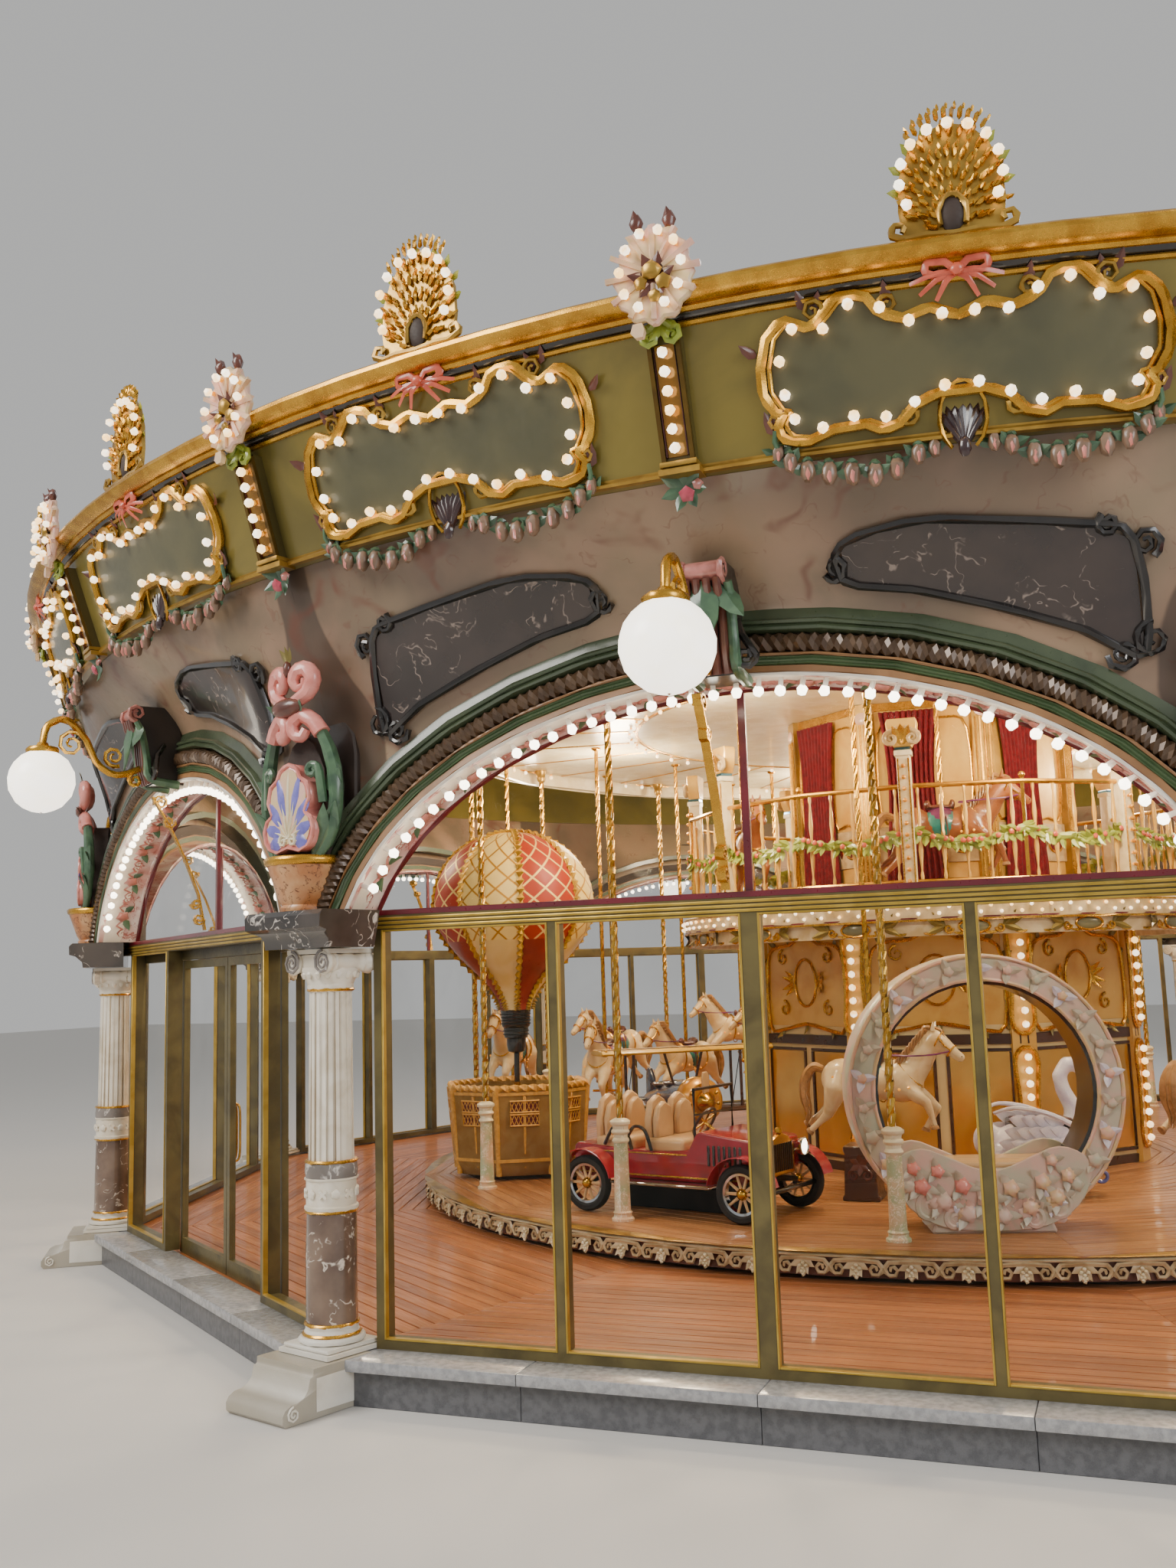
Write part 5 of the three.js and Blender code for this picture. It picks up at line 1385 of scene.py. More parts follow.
def make_columns():
    master = Piece("column")
    toe = [(7.80, 0.0), (8.380, 0.0), (8.398, 0.020), (8.399, 0.058), (8.382, 0.086), (8.345, 0.104),
           (8.300, 0.108),
           (8.262, 0.122), (8.236, 0.150), (8.226, 0.190), (8.222, 0.206), (8.200, 0.214), (8.200, 0.250),
           (7.80, 0.250)]
    master.add(side_cut(toe, 0.238, 0.006, 2), "white stone")
    for side in (-1, 1):
        coil = [Vector((side * 0.240, -p.x, p.y)) for p in spiral((8.330, 0.055), 0.040, 0.006, 90, -1.8, 24)]
        master.add(tube(coil, 0.006, 5), "white stone")
        master.add(block((side * 0.236 - 0.006, -8.18, 0.03), (side * 0.236 + 0.006, -7.84, 0.20), 0.004),
                   "white stone")
    master.add(block((-0.205, -8.082, 0.2495), (0.205, -7.668, 0.276), 0.006, 2), "white stone")
    master.add(block((-0.185, -8.062, 0.2755), (0.185, -7.688, 0.300), 0.008, 2), "white stone")
    make_column_shaft(master)
    make_crown(master)
    master.thin(KEPT_BAY)
    for i, turn in enumerate(around(BAYS, HALF_BAY)):
        Piece(f"corner_column_{i + 1}").join(master, turn).object("pavilion", "column_marble",
                                                                  (f"column_{i + 1}",))
    master.bm.free()


def cornice_line(z):
    """Distance out of the sloping face of the cornice."""
    low, high = CORNICE_FOOT, CORNICE_HEAD
    return low[0] + (z - low[1]) * (high[0] - low[0]) / (high[1] - low[1]) - 0.012


def on_cornice(x, z, proud=0.0):
    out = cornice_line(z) + proud
    return Vector((out * math.sin(x / 8.36), -out * math.cos(x / 8.36), z))


def make_cornice_band():
    piece = Piece("cornice_band")
    bands = (
        ("olive gold",
         ((8.102, 4.572), (8.236, 4.572), (8.242, 4.602), (8.452, 5.240), (8.470, 5.270), (8.360, 5.372),
                        (8.152, 4.682))),
        ("old gold",
         ((8.225, 4.5708), (8.258, 4.5712), (8.266, 4.584), (8.258, 4.596), (8.250, 4.598), (8.254, 4.608),
                      (8.238, 4.612))),
        ("gilding", ((8.440, 5.212), (8.458, 5.214), (8.468, 5.226), (8.460, 5.238), (8.450, 5.240))),
        ("black lacquer", ((8.450, 5.240), (8.470, 5.244), (8.486, 5.262), (8.470, 5.270))),
        ("gilding",
         ((8.462, 5.262), (8.500, 5.262), (8.516, 5.276), (8.512, 5.288), (8.540, 5.296), (8.572, 5.312),
                     (8.590, 5.334), (8.588, 5.350), (8.572, 5.358), (8.572, 5.366), (8.560, 5.379),
          (8.400, 5.379))),
    )
    for finish, profile in bands:
        piece.add(lathe(profile, 120, closed=True), finish)
    piece.object("pavilion", "gilded_olive", ("cornice",))


CARTOUCHE_RIGHT = (
    (0.00, 0.150), (0.12, 0.190), (0.24, 0.165), (0.34, 0.205), (0.40, 0.275), (0.52, 0.285), (0.60, 0.215),
    (0.66, 0.185), (0.76, 0.225), (0.84, 0.170), (0.88, 0.060), (0.885, -0.060), (0.84, -0.150),
                   (0.80, -0.170),
    (0.83, -0.220), (0.80, -0.275), (0.70, -0.295), (0.58, -0.262), (0.44, -0.255), (0.36, -0.285),
                   (0.28, -0.270),
    (0.20, -0.200), (0.10, -0.165), (0.0, -0.165),
)


def cartouche_points(steps=4):
    """Closed outline of the scrolled frame, about the middle of a panel."""
    left = [(-x, z) for x, z in CARTOUCHE_RIGHT[-2:0:-1]]
    return [(p.x, p.y) for p in curve([(x, z, 0) for x, z in list(CARTOUCHE_RIGHT) + left], steps,
                                      closed=True)]


def evenly(points, count):
    """Points spaced evenly round a closed outline."""
    loop = [Vector(p) for p in points] + [Vector(points[0])]
    runs = [0.0]
    for a, b in zip(loop, loop[1:]):
        runs.append(runs[-1] + (b - a).length)
    spots, k = [], 0
    for i in range(count):
        goal = runs[-1] * (i + 0.5) / count
        while runs[k + 1] < goal:
            k += 1
        spots.append(loop[k].lerp(loop[k + 1], (goal - runs[k]) / (runs[k + 1] - runs[k])))
    return spots


def bulb_rows(piece, places, radius, finish="bulb"):
    """Round bulbs, each on its short collar, at places whose +Z looks out."""
    piece.add(ball((0, 0, radius * 1.5), radius, 8, 6), finish, *places)
    # The collar has a faint painted glow
    piece.add(bar((0, 0, -0.004), (0, 0, radius * 0.9), radius * 0.62, radius * 0.5, 6), "glowing amber bead",
              *places)


def make_cartouches(sizes):
    middle = 4.925
    outline = cartouche_points()
    frame_piece, plates, lamps = Piece("frames"), Piece("plates"), Piece("lamps")
    for scale, radius, proud in ((1.0, 0.026, 0.020), (0.955, 0.011, 0.026)):
        path = [on_cornice(x * scale, middle + z * scale, proud) for x, z in outline]
        frame_piece.add(tube(path, radius, 6, closed=True), "gilding")
    columns = 36

    def edge(x, upper):
        values = [z for a, z in outline if abs(a - x) < 0.045 and (z > 0) == upper]
        return (max(values) if upper else min(values)) if values else 0.0

    def place(u, v):
        x = (u - 0.5) * 2 * 0.872
        return Vector((x, middle + 0.955 * blended(edge(x, False), edge(x, True), v), 0))

    sheet = bent_grid(columns, 6, place)
    made = bmesh.ops.extrude_face_region(sheet, geom=list(sheet.faces), use_keep_orig=True)["geom"]
    back = {g for g in made if isinstance(g, bmesh.types.BMVert)}
    for vert in sheet.verts:
        vert.co = on_cornice(vert.co.x, vert.co.y, 0.001 if vert in back else 0.010)
    plates.add(outward(sheet), "bare plate")
    spots = evenly([(x * 0.905, z * 0.86) for x, z in outline], 28)
    bulb_rows(lamps, [facing(on_cornice(p.x, middle + p.y, 0.010), (0, -1, -0.1)) for p in spots],
              sizes.bulb_radius)
    for side in (-1, 1):
        for centre, start, size, turns in (((0.63, 0.245), 200, 0.05, -1.4), ((0.30, 0.225), -20, 0.045, 1.4),
                                           ((0.845, -0.19), 90, 0.04, 1.4),
                                           ((0.24, -0.245), 160, 0.045, 1.3)):
            coil = spiral(centre, size, 0.010, start, turns, 16)
            frame_piece.add(tube([on_cornice(side * p.x, middle + p.y, 0.03) for p in coil], 0.013, 5,
                                 widths=tapering(0.5)), "old gold")
        for x, z, angle in ((0.66, 0.26, 25), (0.62, 0.24, -15), (0.30, 0.24, 10), (0.90, 0.10, 60)):
            blade = facing(on_cornice(side * x, middle + z, 0.02), (0, -1, 0),
                           (0, 0, 1)) @ turned("Z", -side * angle)
            frame_piece.add(leaf(0.09, 0.026, 0.5, 0.3, 5), "bud brown", blade)
    bow = Piece("bow")
    for side in (-1, 1):
        loop = [(0, 5.235), (side * 0.05, 5.275), (side * 0.12, 5.280), (side * 0.13, 5.240),
                (side * 0.07, 5.215),
                (0, 5.230)]
        path = [on_cornice(p.x, p.y, 0.06) for p in curve([(x, z, 0) for x, z in loop], 4)]
        bow.add(tube(path, 0.020, 6, flat=0.45), "coral")
        for dx, dz in ((0.16, 5.16), (0.09, 5.13), (0.20, 5.21)):
            tail = [on_cornice(0, 5.235, 0.05), on_cornice(side * dx * 0.5, blended(5.235, dz, 0.4), 0.07),
                    on_cornice(side * dx, dz, 0.04)]
            bow.add(tube(curve(tail, 4), 0.018, 6, flat=0.4, widths=tapering(0.5)), "coral")
    bow.add(ball(on_cornice(0, 5.235, 0.075), (0.032, 0.022, 0.028), 10, 6), "coral")
    shell = Piece("shell")
    for angle in (-30, -20, -10, 0, 10, 20, 30):
        size = 0.15 - abs(angle) * 0.0008
        turn = turned("Y", angle)
        point = on_cornice(0, 4.520, 0.03) + (turn @ Vector((0, 0, size)))
        shell.add(ball(point, (0.024, 0.030, size), 8, 7, turn), "shell violet")
    rim = [on_cornice(0.105 * math.cos(a), 4.655 + 0.15 * math.sin(a), 0.02) for a in
           [math.radians(-60 + 300 * i / 20) for i in range(21)]]
    shell.add(tube(rim, 0.010, 5), "gilding")
    shell.add(ball(on_cornice(0, 4.520, 0.045), (0.030, 0.026, 0.05), 8, 6), "shell violet")
    whole = Piece("cornice_cartouches")
    lights = Piece("cornice_bulbs")
    for turn in around(PANELS, 9):
        for part in (frame_piece, plates, bow, shell):
            whole.join(part, turn)
        lights.join(lamps, turn)
    for part in (frame_piece, plates, bow, shell, lamps):
        part.bm.free()
    whole.thin(KEPT_CARTOUCHES)
    whole.object("pavilion", "gilded_olive")
    lights.thin(KEPT_SMALL)
    lights.object("pavilion", "gilded_olive")


def make_garlands():
    """Swags of buds and leaves under each panel, with a cluster of roses under each pilaster."""
    part = Piece("swag")
    draw = random.Random(5)
    count = 9
    for side in (-1, 1):
        route = [(0.13, 4.540), (0.30, 4.470), (0.50, 4.452), (0.70, 4.500), (0.83, 4.585)]
        points = curve([(x, z, 0) for x, z in route], 6)
        for i in range(count):
            p = points[round(i * (len(points) - 1) / (count - 1))]
            out = Vector((side * p.x, -8.235 - 0.012 * math.sin(i * 2.1), p.y + 0.010 * math.sin(i * 1.7)))
            look = (draw.uniform(-0.4, 0.4), -1, draw.uniform(-0.5, 0.1))
            size = 0.036 + 0.010 * math.sin(math.pi * i / (count - 1))
            part.add(ball(out, (size * 0.85, size * 0.80, size * 1.35), 8, 6), "swag brown")
            part.add(ball(out + Vector((0, -size * 0.3, -size * 0.35)),
                          (size * 0.30, size * 0.62, size * 0.85), 6, 6), "petal pink")
            part.add(ball(out + Vector((0, 0, size * 1.15)), (size * 0.62, size * 0.62, size * 0.42), 8,
                          5), "leaf green")
            for tilt in (-60, 60):
                blade = facing(out + Vector((0, 0.012, 0.0)),
                               look) @ turned("Z", tilt + draw.uniform(-20, 20))
                part.add(leaf(0.085, 0.026, 0.3, 0.3, 4), "leaf green", blade)
        stalk = [on_cornice(side * 0.83, 4.585, 0.02), on_cornice(side * 0.85, 4.64, 0.035),
                 on_cornice(side * 0.845, 4.69, 0.03)]
        part.add(tube(curve(stalk, 4), 0.012, 6), "leaf green")
        for tilt in (-25, 0, 25):
            blade = facing(on_cornice(side * 0.845, 4.675, 0.03), (0, -1, 0), (0, 0, 1)) @ turned("Z", tilt)
            part.add(leaf(0.11, 0.030, 0.5, 0.4, 5), "bud brown", blade)
    cluster = Piece("cluster")
    cluster.add(rose(0.042), "rose deep", facing((0.02, -8.262, 4.470), (0, -1, -0.5)))
    cluster.add(rose(0.030), "rose pink", facing((0.07, -8.250, 4.515), (0.5, -1, 0)))
    for tilt in (-150, -100, -50, 0, 60, 110, 160):
        blade = facing((0, -8.235, 4.515), (0, -1, -0.3)) @ turned("Z", tilt)
        cluster.add(leaf(0.12, 0.034, 0.35, 0.3, 5), "leaf green", blade)
    piece = Piece("cornice_garlands")
    for turn in around(PANELS, 9):
        piece.join(part, turn)
    for turn in around(PANELS):
        piece.join(cluster, turn)
    part.bm.free()
    cluster.bm.free()
    piece.thin(KEPT_CORNICE)
    piece.object("pavilion", "gilded_olive")


def make_pilasters(sizes):
    """Gilt channel with six bulbs, a shell disc above it and a leaf between."""
    part = Piece("pilaster")

    def face(z, proud=0.0):
        return 8.300 + (z - 4.565) * 0.200 / 0.595 + proud

    def strip(half, low, high, back, front, finish, x=0.0, bevel=0.004):
        shape = side_cut([(face(low, back), low), (face(low, front), low), (face(high, front), high),
                          (face(high, back), high)], half, bevel)
        part.add(moulded(shape, moved(x, 0, 0)), finish)

    strip(0.084, 4.585, 5.17, -0.09, -0.018, "olive gold")
    strip(0.050, 4.640, 5.13, -0.03, -0.010, "amber panel")
    for x in (-0.070, 0.070):
        strip(0.013, 4.600, 5.16, -0.03, 0.006, "old gold", x, 0.005)
    for x in (-0.052, 0.052):
        strip(0.004, 4.640, 5.13, -0.02, -0.002, "burgundy", x, 0.001)
    part.add(block((-0.105, -8.318, 4.556), (0.105, -8.20, 4.592), 0.008, 2), "old gold")
    part.add(block((-0.094, -8.330, 4.592), (0.094, -8.22, 4.622), 0.010, 2), "old gold")
    places = [facing((0, -face(z, -0.012), z), (0, -1, -0.25)) for z in [4.675 + 0.083 * i for i in range(6)]]
    bulb_rows(part, places, sizes.bulb_radius)
    for side in (-1, 1):
        coil = spiral((side * 0.052, 5.150), 0.045, 0.010, 90, side * -1.5, 18)
        path = [Vector((0, -8.545, 5.235)),
                Vector((side * 0.03, -8.535, 5.215))] + [Vector((p.x, -8.520, p.y)) for p in coil]
        part.add(tube(path, 0.018, 6, widths=tapering(0.6)), "leaf bright")
        for tilt in (115, 150):
            blade = facing((side * 0.01, -8.52, 5.225), (0, -1, -0.1)) @ turned("Z", side * tilt)
            part.add(leaf(0.12, 0.030, 0.4, 0.3, 5), "leaf bright", blade)
    disc = [(0.195 * (1 + 0.055 * math.cos(12 * a)) * math.sin(a) * (0.94 if math.cos(a) > 0 else 1),
             5.425 + 0.240 * (1 + 0.055 * math.cos(12 * a)) * math.cos(a)) for a in
            [TURN * i / 72 for i in range(72)]]
    part.add(plate(disc, 8.560, 8.600, 0.010), "shell pink")
    rib = bar((0, -8.606, 5.48), (0, -8.602, 5.655), 0.013, 0.020, 6)
    hub = moved(0, 0, 5.425)
    part.add(rib, "shell pink",
             *[hub @ turned("Y", 30 * i) @ sized(0.86, 1, 1) @ hub.inverted() for i in range(12)])
    edge = [facing((0.150 * math.sin(a), -8.604, 5.425 + 0.190 * math.cos(a)), (0, -1, 0)) for a in
            [math.radians(-155 + 310 * i / 9) for i in range(10)]]
    bulb_rows(part, edge, radius=0.025)
    for x, z, size in ((0.0, 5.43, 0.050), (-0.055, 5.375, 0.036), (0.055, 5.365, 0.042),
                       (0.01, 5.305, 0.034)):
        part.add(rose(size), "old gold", facing((x, -8.615, z), (x, -1, -0.1)))
    for tilt in (20, 80, 150, 210, 280, 340):
        part.add(leaf(0.12, 0.034, 0.3, 0.3, 5), "bud brown",
                 facing((0, -8.605, 5.40), (0, -1, 0)) @ turned("Z", tilt))
    for x, z in ((-0.075, 5.690), (0.085, 5.675)):
        part.add(ball((x, -8.59, z), (0.034, 0.030, 0.045), 10, 7), "bud brown")
        part.add(leaf(0.07, 0.022, 0.3, 0.3, 4), "bud brown",
                 facing((x, -8.61, z - 0.02), (0, -1, 0), (0, 0, 1)))
    tail = [(-0.03, 5.20), (-0.045, 5.155), (-0.02, 5.125), (0.02, 5.125), (0.03, 5.16), (0.02, 5.20)]
    part.add(plate(tail, 8.562, 8.600, 0.008), "shell pink", moved(-0.08, 0, 0))
    piece = Piece("cornice_pilasters")
    for turn in around(PANELS):
        piece.join(part, turn)
    part.bm.free()
    piece.thin(KEPT_CORNICE)
    piece.object("pavilion", "gilded_olive")


def make_crests():
    """Fan of gilt wheat over each panel, edged with bulbs and leaf tips."""
    part = Piece("crest")
    arch = [(-0.215, 5.385), (0.215, 5.385), (0.235, 5.55), (0.225, 5.70), (0.175, 5.83), (0.10, 5.91),
            (0.0, 5.94),
            (-0.10, 5.91), (-0.175, 5.83), (-0.225, 5.70), (-0.235, 5.55)]
    part.add(plate(arch, 8.475, 8.505, 0.008), "old gold")
    root = Vector((0, -8.512, 5.43))
    grains = []
    for row, (reach, count) in enumerate(((0.17, 9), (0.25, 12), (0.33, 15), (0.41, 15), (0.47, 11))):
        for i in range(count):
            angle = blended(-88, 88, (i + 0.5 * (row % 2)) / (count - 0.5)) * (0.95 if row < 4 else 0.42)
            squeeze = 0.52 if row < 4 else 0.6
            point = root + Vector((math.sin(math.radians(angle)) * reach * squeeze * 1.02, 0,
                                   math.cos(math.radians(angle)) * reach + 0.02 * row))
            if point.z < 5.40:
                continue
            grains.append(facing(point, (0, -1, 0), (0, 0, 1)) @ turned("Z", -angle * 0.8))
    part.add(ball((0, 0.0, 0), (0.013, 0.034, 0.016), 6, 4), "gilding", *grains)
    part.add(ball((0.012, 0.028, 0.006), (0.009, 0.022, 0.012), 5, 4), "gilding", *grains)
    part.add(ball((0, -8.508, 5.50), (0.055, 0.020, 0.085), 14, 8), "niche")
    rim = [Vector((0.062 * math.cos(a), -8.518, 5.495 + 0.095 * math.sin(a))) for a in
           [math.radians(-30 + 240 * i / 16) for i in range(17)]]
    part.add(tube(rim, 0.014, 6), "old gold")
    for i in range(11):
        angle = math.radians(-118 + 236 * i / 10)
        out = Vector((0.222 * math.sin(angle), -8.508, 5.665 + 0.245 * math.cos(angle)))
        bulb_rows(part, [facing(out, (0, -1, 0))], radius=0.026)
    for i in range(9):
        angle = -95 + 190 * i / 8
        a = math.radians(angle)
        tip = facing((0.205 * math.sin(a), -8.49, 5.665 + 0.225 * math.cos(a)), (0, -1, 0),
                     (0, 0, 1)) @ turned("Z", -angle)
        part.add(leaf(0.075, 0.024, 0.3, 0.3, 4), "leaf bright", tip)
    for side in (-1, 1):
        neck = [(0.0, 5.395), (0.12, 5.405), (0.20, 5.400), (0.265, 5.425), (0.255, 5.470), (0.215, 5.465),
                (0.222, 5.435)]
        path = [Vector((side * p.x, -8.520, p.y)) for p in curve([(x, z, 0) for x, z in neck], 4)]
        part.add(tube(path, 0.022, 7, widths=tapering(0.55)), "old gold")
    piece = Piece("cornice_crests")
    for turn in around(PANELS, 9):
        piece.join(part, turn)
    part.bm.free()
    piece.thin(KEPT_CORNICE)
    piece.object("pavilion", "gilded_olive")


def make_roof():
    piece = Piece("seamed_roof")
    eave, apex = (8.415, 5.3805), (0.165, 6.995)
    piece.add(lathe([(8.300, 5.3805), eave, (8.418, 5.400), apex, (0.165, 6.922)], 120, closed=True),
              "roof sheet")
    slope = math.atan2(apex[1] - 5.400, 8.418 - apex[0])
    length = math.hypot(apex[1] - 5.400, 8.418 - apex[0])
    seam = block((-0.010, 0.15, -0.004), (0.010, length - 0.02, 0.028), 0.004)
    start = moved(0, -0.165, 6.995) @ turned("X", 180 + math.degrees(slope))
    lay = start @ sized(1, 1, -1)
    piece.add(seam, "roof sheet", *[t @ lay for t in around(40)])
    for radius, z in ((8.395, 5.405), (4.20, 6.228)):
        piece.add(lathe([(radius - 0.02, z), (radius + 0.012, z - 0.004), (radius + 0.016, z + 0.022),
                         (radius - 0.015, z + 0.026)], 120, closed=True), "roof sheet")
    finial = [(0, 6.88), (0.178, 6.88), (0.180, 7.035), (0.150, 7.050), (0.080, 7.085), (0.066, 7.115),
              (0.085, 7.140),
              (0.075, 7.160), (0.115, 7.195), (0.148, 7.250), (0.152, 7.290), (0.125, 7.345), (0.070, 7.385),
              (0.046, 7.415), (0.060, 7.440), (0.040, 7.465), (0.034, 7.60), (0.014, 7.74), (0, 7.798)]
    piece.add(lathe(finial, 36), "old gold")
    piece.object("pavilion", "roof_sheet", ("roof",))


# Carousel

def ring_places(count, radius, z, phase=0.0):
    """Places round a circle whose +Z looks outwards."""
    return [turn @ facing((0, -radius, z), (0, -1, 0)) for turn in around(count, phase)]


def make_platform(sizes):
    piece = Piece("riding_platform")
    piece.add(lathe([(0.302, 0.332), (5.105, 0.332), (5.108, 0.257), (5.128, 0.256), (5.128, 0.404),
                     (0.302, 0.404)],
                    112, closed=True), "bud brown")
    nosing = [(5.050, 0.402), (5.150, 0.402), (5.172, 0.406), (5.184, 0.414), (5.172, 0.4195),
              (5.050, 0.4195)]
    piece.add(lathe(nosing, 112, closed=True), "old gold")
    piece.add(lathe([(5.125, 0.378), (5.158, 0.380), (5.166, 0.390), (5.150, 0.402), (5.125, 0.402)], 112,
                    closed=True),
              "cream carved")
    part = Piece("scroll")
    for side in (-1, 1):
        coil = spiral((side * 0.095, 0.315), 0.044, 0.008, 90, side * -1.4, 16)
        path = [Vector((0, -5.150, 0.362))] + [Vector((p.x, -5.148, p.y)) for p in coil]
        part.add(tube(path, 0.014, 5, widths=tapering(0.5)), "carved tan")
        for angle in (150, 112):
            part.add(leaf(0.085, 0.022, 0.4, 0.3, 4), "carved tan",
                     facing((side * 0.01, -5.150, 0.350), (0, -1, 0)) @ turned("Z", side * angle))
    for x, z in ((0, 0.335), (-0.017, 0.318), (0.017, 0.318), (0, 0.302), (-0.010, 0.286), (0.010, 0.286),
                 (0, 0.272)):
        part.add(ball((x, -5.158, z), 0.013, 6, 4), "cream carved")
    wider = moved(0, 0, 0.322) @ sized(1.24, 1, 1.15) @ moved(0, 0, -0.322)
    for turn in around(93):
        piece.join(part, turn @ wider)
    part.bm.free()
    piece.thin(KEPT_DECKS)
    lay_boards(piece, "deck boards", POSTS, POST_PHASE, 1.50, 5.055, sizes.board_width, DECK_HEIGHT, 23)
    piece.object("carousel", "plank_floor", ("platform",))


def core_faces(radius, sides=8, phase=CORE_PHASE):
    """Turn to each flat face, and its distance out and half width."""
    step = 360 / sides
    apothem = radius * math.cos(math.pi / sides)
    return [spun(phase + (i + 0.5) * step) for i in range(sides)], apothem, radius * math.sin(math.pi / sides)


def lyre_frame(part, half, low, high, out, radius=0.012):
    """Closed carved frame that swells in the middle."""
    route = [(0, high), (half * 0.55, high - 0.02), (half, high - 0.12),
             (half * 0.80, (low + high) / 2 + 0.08),
             (half * 0.80, (low + high) / 2 - 0.08), (half, low + 0.12), (half * 0.55, low + 0.02), (0, low)]
    loop = route + [(-x, z) for x, z in route[-2:0:-1]]
    points = curve([(x, z, 0) for x, z in loop], 3, closed=True)
    part.add(tube([(p.x, -out, p.y) for p in points], radius, 6, closed=True), "gilding")


def make_lower_core():
    turns, apothem, half = core_faces(CORE_RADIUS)
    piece = Piece("lower_core_panels")
    part = Piece("face")
    part.add(block((-half + 0.01, -apothem, 0.4206), (half - 0.01, -apothem + 0.06, 2.6990)), "ceiling cream")
    part.add(block((-half + 0.02, -apothem - 0.018, 0.4206), (half - 0.02, -apothem, 0.50), 0.006), "walnut")
    part.add(block((-half + 0.02, -apothem - 0.028, 1.530), (half - 0.02, -apothem, 1.620), 0.010, 2),
             "walnut")
    part.add(block((-half + 0.02, -apothem - 0.022, 2.600), (half - 0.02, -apothem, 2.698), 0.008, 2),
             "gilding")
    for x in (-half * 0.46, half * 0.46):
        low, high, reach = 0.56, 1.47, half * 0.36
        part.add(block((x - reach, -apothem - 0.006, low), (x + reach, -apothem, high), 0.003), "amber panel")
        for a, b in (((x - reach - 0.03, low - 0.03), (x + reach + 0.03, low)),
                     ((x - reach - 0.03, high), (x + reach + 0.03, high + 0.03)),
                     ((x - reach - 0.03, low), (x - reach, high)),
                     ((x + reach, low), (x + reach + 0.03, high))):
            part.add(block((a[0], -apothem - 0.020, a[1]), (b[0], -apothem, b[1]), 0.005), "walnut")
    part.add(block((-half * 0.80, -apothem - 0.005, 1.70), (half * 0.80, -apothem, 2.54), 0.004),
             "panel gold")
    route = [(-0.80, 1.70), (-0.80, 2.30), (-0.62, 2.44), (-0.30, 2.46), (0, 2.55), (0.30, 2.46),
             (0.62, 2.44), (0.80, 2.30),
             (0.80, 1.70), (0.50, 1.66), (0, 1.72), (-0.50, 1.66)]
    points = curve([(x * half, z, 0) for x, z in route], 3, closed=True)
    part.add(tube([(p.x, -apothem - 0.016, p.y) for p in points], 0.018, 6, closed=True), "gilding")
    oval = [(0.16 * math.cos(a), 2.10 + 0.22 * math.sin(a)) for a in [TURN * i / 24 for i in range(24)]]
    part.add(tube([(x, -apothem - 0.014, z) for x, z in oval], 0.013, 6, closed=True), "gilding")
    for side in (-1, 1):
        for z, way in ((1.86, 1), (2.34, -1)):
            coil = spiral((side * 0.33, z), 0.075, 0.012, 90, side * way * 1.3, 18)
            part.add(tube([(p.x, -apothem - 0.016, p.y) for p in coil], 0.015, 6, widths=tapering(0.4)),
                     "gilding")
        for angle in (35, 65, 115, 145):
            part.add(leaf(0.15, 0.030, 0.35, 0.3, 5), "gilding",
                     facing((side * 0.17, -apothem - 0.008, 2.10), (0, -1, 0)) @ turned("Z", -side * angle))
    for i in range(12):
        p = points[i * len(points) // 12]
        part.add(leaf(0.10, 0.03, 0.4, 0.3, 4), "olive gold",
                 facing((p.x, -apothem - 0.02, p.y),
                        (0, -1, 0)) @ turned("Z", -math.degrees(math.atan2(p.x, p.y - 2.1))))
    for turn in turns:
        piece.join(part, turn)
    strip = Piece("strip")
    out = CORE_RADIUS + 0.012
    strip.add(block((-0.112, -out, 0.4206), (0.112, -CORE_RADIUS + 0.06, 2.6990), 0.006), "panel gold")
    for low, high in ((0.55, 1.50), (1.62, 2.60)):
        lyre_frame(strip, 0.105, low, high, out + 0.012, 0.020)
        bulb_rows(strip, [facing((0, -out, blended(low + 0.08, high - 0.08, i / 7)),
                                 (0, -1, 0)) for i in range(8)],
                  radius=0.032)
    for turn in around(8, CORE_PHASE):
        piece.join(strip, turn)
    part.bm.free()
    strip.bm.free()
    piece.thin(KEPT_CORE)
    piece.object("carousel", "cream_enamel", ("lower_core",))


